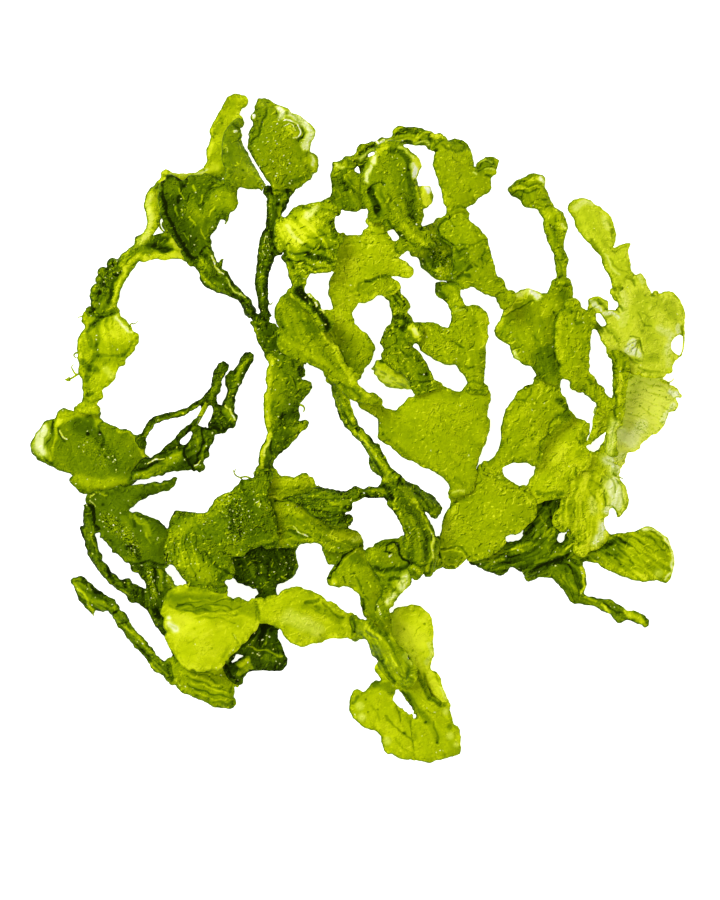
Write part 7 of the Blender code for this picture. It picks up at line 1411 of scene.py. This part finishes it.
        "dark": [(0.9, 0.2, 7.4, -43.4, 9.4, -46.2, 11.6, -49.2),
            (0.8, 0.12, 8, -44.5, 10.5, -47.5, 12.5, -50, 13, -52), (0.7, 0.28, 15.3, -50),
            (0.5, 0.22, 14.5, -54.6)],
        "fold": [(0.35, 0.32, 7.5, -44, 9, -46.5, 9.8, -48.3),
            (0.28, 0.24, 12.6, -49, 13.1, -50.8, 13.3, -52.5), (0.25, 0.18, 11.4, -47.4, 12.8, -47.6)],
        "pale": [(0.9, 0.45, 15.4, -51.5), (0.7, 0.45, 16.4, -53), (0.8, 0.5, 14.7, -47.4)],
        "glint": [(0.22, 0.85, 13.7, -54, 13.1, -54.3, 10.7, -51.5)],
        "spot": [(0.35, 0.3, 13.3, -52.7, 11.3, -49.2)],
    },
}

# ribs to a radian of a fan, and to a millimetre outwards, across or along
grainLook = {"fanTurns": 11.0, "fanOutward": 0.2, "across": 1.5, "along": 0.22}


def grainPlace(plan, grain, seed):
    # pattern place along the ribs of a segment: they fan out from a point, or follow a line of points
    stops = stopsOf(grain)
    apiece = np.full(len(plan), seed)
    if len(stops) == 1:
        offset = plan - stops[0]
        turn = np.arctan2(offset[:, 1], offset[:, 0])
        outward = np.hypot(*offset.T)
        return np.column_stack([turn * grainLook["fanTurns"], outward * grainLook["fanOutward"], apiece])
    nearest = np.full(len(plan), np.inf)
    side = np.zeros(len(plan))
    along = np.zeros(len(plan))
    passed = 0.0
    for start, end in zip(stops[:-1], stops[1:]):
        line = end - start
        length = np.hypot(*line)
        share = np.clip((plan - start) @ line / (length * length), 0.0, 1.0)
        offset = plan - start - share[:, None] * line
        away = np.hypot(*offset.T)
        closer = away < nearest
        nearest = np.where(closer, away, nearest)
        side = np.where(closer, np.sign(line[0] * offset[:, 1] - line[1] * offset[:, 0]) * away, side)
        along = np.where(closer, passed + share * length, along)
        passed += length
    return np.column_stack([side * grainLook["across"], along * grainLook["along"], apiece])


# how painted marks lie: stray is how far lines wander, and full is their strength on the route itself,
# where more than 1 makes a flat middle
markLook = {"stray": 0.14, "shortWave": 0.6, "full": 1.35}
glintLook = {"turn": 2.4, "narrow": 1.9, "size": 0.85, "sizeWave": 0.3, "sizeTurn": 1.7}


def strayed(plan, seed):
    # plan points nudged by slow and short waves, out of step with each other, as grown lines wander
    x, y = plan.T
    short = markLook["shortWave"]
    rightwards = np.sin(1.9 * y + seed) + short * np.sin(4.3 * x + 2.1 * y + 2 * seed)
    upwards = np.sin(2.1 * x + 1.7 * seed) + short * np.sin(4.7 * y - 1.8 * x + seed)
    return plan + markLook["stray"] * np.column_stack([rightwards, upwards])


def streakDistance(plan, stop, order):
    # distance from a wet point, each of its own size and drawn out its own way
    turn = glintLook["turn"] * order
    x, y = (plan - stop).T
    along = x * math.cos(turn) + y * math.sin(turn)
    across = y * math.cos(turn) - x * math.sin(turn)
    size = glintLook["size"] + glintLook["sizeWave"] * math.sin(glintLook["sizeTurn"] * order)
    return np.hypot(along, glintLook["narrow"] * across) / size


def markShare(plan, wandering, kind, width, amount, stops):
    # how strongly a mark covers each point: soft edges, full on its route
    if kind == "glint":
        away = np.min([streakDistance(plan, stop, order) for order, stop in enumerate(stops)], axis=0)
    elif kind in ("spot", "lump") or len(stops) == 1:
        away = np.min([np.hypot(*(plan - stop).T) for stop in stops], axis=0)
    else:
        away = lineDistance(wandering, stops[:-1], stops[1:])
    return amount * fade(markLook["full"] * (1.0 - away / width))


def addUp(plan, seed, look):
    # the tone that all marks add at each point, and the strongest pale, gleam, speck and lift
    wandering = strayed(plan, seed)
    totals = np.zeros((5, len(plan)))
    for kind, effects in markKinds.items():
        for width, amount, *numbers in look.get(kind, []):
            share = markShare(plan, wandering, kind, width, amount, stopsOf(numbers))
            totals[0] += effects[0] * share
            for row in range(1, 5):
                effect = effects[row] * share
                totals[row] = np.where(np.abs(effect) > np.abs(totals[row]), effect, totals[row])
    return totals


def inside(points, starts, ends):
    # whether plan points lie within a closed outline: an odd number of its lines is crossed on the way out
    odd = np.zeros(len(points), dtype=bool)
    for (x0, y0), (x1, y1) in zip(starts, ends):
        crossed = (y0 > points[:, 1]) != (y1 > points[:, 1])
        rise = y1 - y0 if y1 != y0 else 1.0
        odd ^= crossed & (points[:, 0] < x0 + (x1 - x0) * (points[:, 1] - y0) / rise)
    return odd


outlines = {name: wallEdges(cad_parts[name].data) for name in segments}
levels = {name: readPoints(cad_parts[name].data, "co")[:, 2].mean() for name in segments}
farAway = 9.0  # further than any shade or line reaches


def crossing(name, points):
    # the outlines of other segments whose box meets the box of these plan points
    low, high = points.min(axis=0), points.max(axis=0)
    return {other: (starts, ends) for other, (starts, ends) in outlines.items()
            if other != name and (starts.max(axis=0) > low).all() and (starts.min(axis=0) < high).all()}


def overOthers(name, points):
    # whether plan points lie over or under any other segment
    found = np.zeros(len(points), dtype=bool)
    for starts, ends in crossing(name, points).values():
        found |= inside(points, starts, ends)
    return found


def edgesAbove(name, points):
    # distance in millimetres to the nearest margin of a segment that lies higher
    nearest = np.full(len(points), farAway)
    for other, (starts, ends) in crossing(name, points).items():
        if levels[other] > levels[name] + sheet["above"] * mm:
            nearest = np.minimum(nearest, lineDistance(points, starts, ends) / mm)
    return nearest


def nearOthers(name, others, near):
    # places on a segment's outline that lie near the outline of one of the others
    starts, ends = outlines[name]
    steps = np.linspace(0.0, 1.0, sheet["outlineSteps"])[:, None, None]
    samples = (starts + (ends - starts) * steps).reshape(-1, 2)
    if not others:
        return samples[:0]
    away = lineDistance(samples, np.concatenate([outlines[other][0] for other in others]),
                        np.concatenate([outlines[other][1] for other in others]))
    return samples[away < near * mm]


def tearPoints(holes):
    # places all along the outlines of torn holes
    found = [inFrame(start + (end - start) * share) for hole in holes
             for start, end in zip(hole, np.roll(hole, -1, axis=0)) for share in sheet["tearSteps"]]
    return np.array(found).reshape(-1, 2)


def closeness(places, marks, reach, full):
    # strongest at the marked places, fading out round them
    if len(marks) == 0:
        return np.zeros(len(places))
    tree = planTree(marks)
    away = np.array([tree.find((x, y, 0.0))[2] for x, y in places[:, :2]]) / mm
    return fade(full - away / reach)


def joinShare(places, touching):
    return closeness(places, touching, sheet["joinReach"], sheet["joinFull"])


def isPair(name, other, pairs):
    return any({name, other} == set(pair.split()) for pair in pairs)


def tissuePiece(name, look, seed):
    # the bare surface: the CAD solid with its tears and buds, remeshed and spread towards its neighbours
    starts, ends = outlines[name]
    stem = "core" in look
    holes = [stopsOf(hole) for hole in look.get("holes", [])]
    piece = bpy.data.objects.new(name + "Tissue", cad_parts[name].data.copy())
    bpy.context.scene.collection.objects.link(piece)
    piece.data.materials.clear()
    pickOnly(piece)
    bpy.ops.object.mode_set(mode="EDIT")
    bpy.ops.mesh.select_all(action="SELECT")
    bpy.ops.mesh.remove_doubles(threshold=sheet["weld"] * mm)
    bpy.ops.object.mode_set(mode="OBJECT")
    cutHoles(piece, holes)
    addBalls(piece, look.get("balls", []))
    pickOnly(piece)
    addModifier(piece, "REMESH", mode="VOXEL", voxel_size=sheet["voxel"] * mm)
    addModifier(piece, "SMOOTH", factor=sheet["smoothShare"], iterations=sheet["smoothing"])
    places = readPoints(piece.data, "co")
    flat = readPoints(piece.data, "normal")[:, :2]
    flat = flat * np.minimum(1.0, sheet["growTilt"] * np.hypot(*flat.T))[:, None]
    others = [other for other in outlines if other != name]
    distant = [other for other in others if isPair(name, other, apart)]
    level = [other for other in others if abs(levels[other] - levels[name]) < sheet["seamLevel"] * mm
             and not isPair(name, other, apart + unseamed)]
    touching = nearOthers(name, [other for other in others if other not in distant], sheet["joinNear"])
    meeting = nearOthers(name, level, sheet["joinNear"])
    parting = np.concatenate([nearOthers(name, distant, sheet["apartNear"]), tearPoints(holes)])
    parted = closeness(places, parting, sheet["apartReach"], sheet["joinFull"])
    joined = joinShare(places, touching) * (1.0 - parted)
    grow = sheet["stemGrow" if stem else "grow"]
    spread = (grow + sheet["joinGrow"] * joined) * (1.0 - parted) + sheet["apartGrow"] * parted
    places[:, :2] += flat * spread[:, None] * mm
    setPoints(piece.data, places)

    # the relief: uneven margins, bends and puckers, then the folds and ridges of the marks
    rim = lineDistance(places[:, :2], starts, ends) / mm
    marginGroup(piece, rim, 1.0 - sheet["joinCalm"] * joined)
    displace(piece, crinkleTexture, "NORMAL", sheet["crinkle"], "margin")
    if not stem:
        displace(piece, ruffleTexture, "Z", sheet["ruffle"], "margin")
        displace(piece, swellTexture, "Z", sheet["swell"])
    displace(piece, puckerTexture, "NORMAL", sheet["stemPucker" if stem else "pucker"])
    upwards = readPoints(piece.data, "normal")[:, 2]
    settled = places[:, 2]
    places = readPoints(piece.data, "co")
    places[:, 2] = np.where(upwards < sheet["underside"], np.minimum(places[:, 2], settled), places[:, 2])
    upper = fade(upwards * sheet["upperTilt"])
    lift = addUp(places[:, :2] / mm - np.array(planShift), seed, look)[4]
    places[:, 2] += lift * upper * mm
    places[:, 2] = np.maximum(places[:, 2], sheet["thinnest"] * upper * mm)
    setPoints(piece.data, places)
    piece.vertex_groups.clear()
    body = len(piece.data.vertices)
    if "wisps" in look:
        addWisps(piece, look["wisps"])
    paintTissue(piece.data, name, look, seed, touching, meeting, body)
    piece.data.materials.append(algaTissue)
    pickOnly(piece)
    bpy.ops.object.shade_smooth()
    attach(piece, "root")
    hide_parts(name)
    return piece


paintLook = {
    "contrast": 1.15,  # strength of all painted marks
    "paleTone": 0.93,  # tone that pale tissue takes
    "seam": 0.32, "seamWidth": 0.24, "seamFull": 1.2,  # dark crease along a join of two that lie level
    "shade": 0.24, "shadeWidth": 0.5, "shadeFull": 1.2,  # dark line under the margin of a higher segment
    "coreReach": 0.8, "coreMiddle": 0.5,  # how far in a stem its painted light is strongest, and what counts as neither
    "ball": 0.08, "ballFull": 1.4, "ballFade": 2.0,  # painted light on the top of a bud
    "ballRing": 0.13, "ringAt": 0.98, "ringWidth": 0.35,  # and a ring of painted shade at its foot, in radii
    "wispTone": 0.74, "wispLine": 0.3,  # tone of loose strands, and their share of the dark line
    "speckShare": 0.6, "speckAll": 0.35,  # painted glints of wet grains under a sparkle, and on a whole segment
    "rimWidth": 0.24, "rimFull": 1.25,  # painted shade as a dark line along each margin
    "rimSide": 0.9,  # how much stronger that painted shade is on left-facing sides, and weaker on right-facing ones
    "rimFaint": 0.02,  # a line weaker than this is left as it is
    "overlap": 2.2,  # strength of the painted shade line where it lies over another segment
    "inwardLimit": 3.0,
}


def paintTissue(mesh, name, look, seed, touching, meeting, body):
    # what the material reads at each point; the points from body on belong to loose strands
    places = readPoints(mesh, "co")
    plan = places[:, :2] / mm - np.array(planShift)
    tone, pale, gleam, speck, lift = addUp(plan, seed, look)
    # the marks add their tone, among it painted light from lit, ridge and lump marks and painted shade from
    # folds
    tone = look["tone"] + paintLook["contrast"] * look.get("depth", 1.0) * tone
    tone += pale * (paintLook["paleTone"] - look["tone"])
    tone -= paintLook["seam"] * closeness(places, meeting, paintLook["seamWidth"], paintLook["seamFull"])
    overhead = edgesAbove(name, places[:, :2])
    tone -= paintLook["shade"] * fade(paintLook["shadeFull"] - overhead / paintLook["shadeWidth"])
    # painted light on the middle of a stem, painted shade towards its sides
    if "core" in look:
        rim = lineDistance(places[:, :2], *outlines[name]) / mm
        tone += look["core"] * (fade(rim / paintLook["coreReach"]) - paintLook["coreMiddle"])
    # buds: painted light on the top and a ring of painted shade round the foot
    for x, y, radius in look.get("balls", []):
        away = np.hypot(*(plan - np.array((x, y))).T) / radius
        ring = fade(1.0 - np.abs(away - paintLook["ringAt"]) / paintLook["ringWidth"])
        top = fade(paintLook["ballFull"] - paintLook["ballFade"] * away)
        tone += paintLook["ball"] * top - paintLook["ballRing"] * ring
    tone[body:] = np.maximum(tone[body:], paintLook["wispTone"])
    # painted shade along the margins, stronger on left-facing sides and where a margin lies over another
    # segment
    margin, facing = marginDistance(plan, readPoints(mesh, "normal"))
    line = fade(paintLook["rimFull"] - margin / paintLook["rimWidth"]) * (1.0 - paintLook["rimSide"] * facing)
    near = line > paintLook["rimFaint"]
    calm = 1.0 - sheet["joinCalm"] * joinShare(places[near], touching)
    line[near] *= np.where(overOthers(name, places[near, :2]), paintLook["overlap"], calm)
    line[body:] *= paintLook["wispLine"]
    allSpeck = look.get("speck", 0.0) * paintLook["speckAll"]
    setAttribute(mesh, "tone", tone)
    setAttribute(mesh, "pale", np.clip(np.maximum(pale, look.get("bleach", 0.0)), 0, 1))
    setAttribute(mesh, "gleam", np.clip(gleam, 0, 1))
    setAttribute(mesh, "speck", np.clip(paintLook["speckShare"] * speck + allSpeck, 0, 1))
    setAttribute(mesh, "glitter", np.clip(speck, 0, 1))
    setAttribute(mesh, "rim", line)
    setAttribute(mesh, "inward", np.minimum(margin, paintLook["inwardLimit"]))
    setAttribute(mesh, "crisp", np.full(len(places), look["crisp"]))
    setAttribute(mesh, "ribAmount", np.full(len(places), look["ribs"]))
    setAttribute(mesh, "ribPlace", grainPlace(plan, look["grain"], seed))


triangles = 0
for seed, (name, look) in enumerate(segments.items()):
    piece = tissuePiece(name, look, float(seed))
    triangles += sum(len(face.vertices) - 2 for face in piece.data.polygons)
print("segments made:", len(segments), "pieces,", triangles, "triangles")

# pale matt board that the weed lies on, bright enough to read as a plain light ground
boardLook = {"size": 1.4, "drop": 0.03, "colour": "#F6F6F4", "glow": 1.0, "roughness": 0.95, "specular": 0.05,
             "fibres": 300.0, "darkest": 0.96}
bpy.ops.object.select_all(action="DESELECT")
bpy.ops.mesh.primitive_plane_add(size=boardLook["size"], location=(0, 0, -boardLook["drop"] * mm))
board = bpy.context.object
board.name = "floorBoard"
paleMattBoard = bpy.data.materials.new("paleMattBoard")
paleMattBoard.use_nodes = True
tree = paleMattBoard.node_tree
shader = tree.nodes["Principled BSDF"]
grain = addNode(tree, "TexNoise", {"Scale": boardLook["fibres"]},
                Vector=addNode(tree, "TexCoord").outputs["Object"])
paper = addNode(tree, "MapRange", {"To Min": boardLook["darkest"], "To Max": 1.0}, Value=grain)
boardColour = linear(boardLook["colour"])
paperColour = addNode(tree, "Mix", {"data_type": "RGBA", "blend_type": "MULTIPLY", 0: 1.0, 6: boardColour},
                      in7=paper)
tree.links.new(paperColour.outputs[2], shader.inputs["Base Color"])
shader.inputs["Roughness"].default_value = boardLook["roughness"]
shader.inputs["Specular IOR Level"].default_value = boardLook["specular"]
shader.inputs["Emission Color"].default_value = boardColour
shader.inputs["Emission Strength"].default_value = boardLook["glow"]
board.data.materials.append(paleMattBoard)

# even daylight with one soft key from the upper left
lightLook = {
    "sky": 0.3,
    "key": ((-0.34, 0.36, 0.46), 0.4, 3.4),  # place and width in metres, and watts
    "fill": ((0.5, -0.42, 0.5), 0.6, 2.3),
    "side": ((-0.45, -0.5, 0.5), 0.6, 1.8),
}
world = bpy.context.scene.world or bpy.data.worlds.new("softDaylight")
bpy.context.scene.world = world
world.use_nodes = True
world.node_tree.nodes["Background"].inputs["Color"].default_value = (1.0, 1.0, 1.0, 1.0)
world.node_tree.nodes["Background"].inputs["Strength"].default_value = lightLook["sky"]


def softLamp(name, place, size, power):
    lamp = bpy.data.lights.new(name, "AREA")
    lamp.shape = "DISK"
    lamp.size = size
    lamp.energy = power
    lampObject = bpy.data.objects.new(name, lamp)
    lampObject.location = place
    lampObject.rotation_euler = (-Vector(place)).to_track_quat("-Z", "Y").to_euler()
    bpy.context.scene.collection.objects.link(lampObject)


for name in ("key", "fill", "side"):
    softLamp(name + "Lamp", *lightLook[name])
print("floor and lights made")

# looking straight down, from far enough away that nothing leans outwards
cameraLook = {"lens": 180.0, "aim": (0.483, -3.667, 4.0), "height": 750.0}
camera = bpy.data.cameras.new("overheadCamera")
camera.lens = cameraLook["lens"]
camera.sensor_width = 36.0
camera.clip_start = 0.01
cameraObject = bpy.data.objects.new("overheadCamera", camera)
aim = cameraLook["aim"]
cameraObject.location = (aim[0] * mm, aim[1] * mm, (aim[2] + cameraLook["height"]) * mm)
bpy.context.scene.collection.objects.link(cameraObject)
bpy.context.scene.camera = cameraObject
bpy.context.scene.view_settings.view_transform = "Standard"
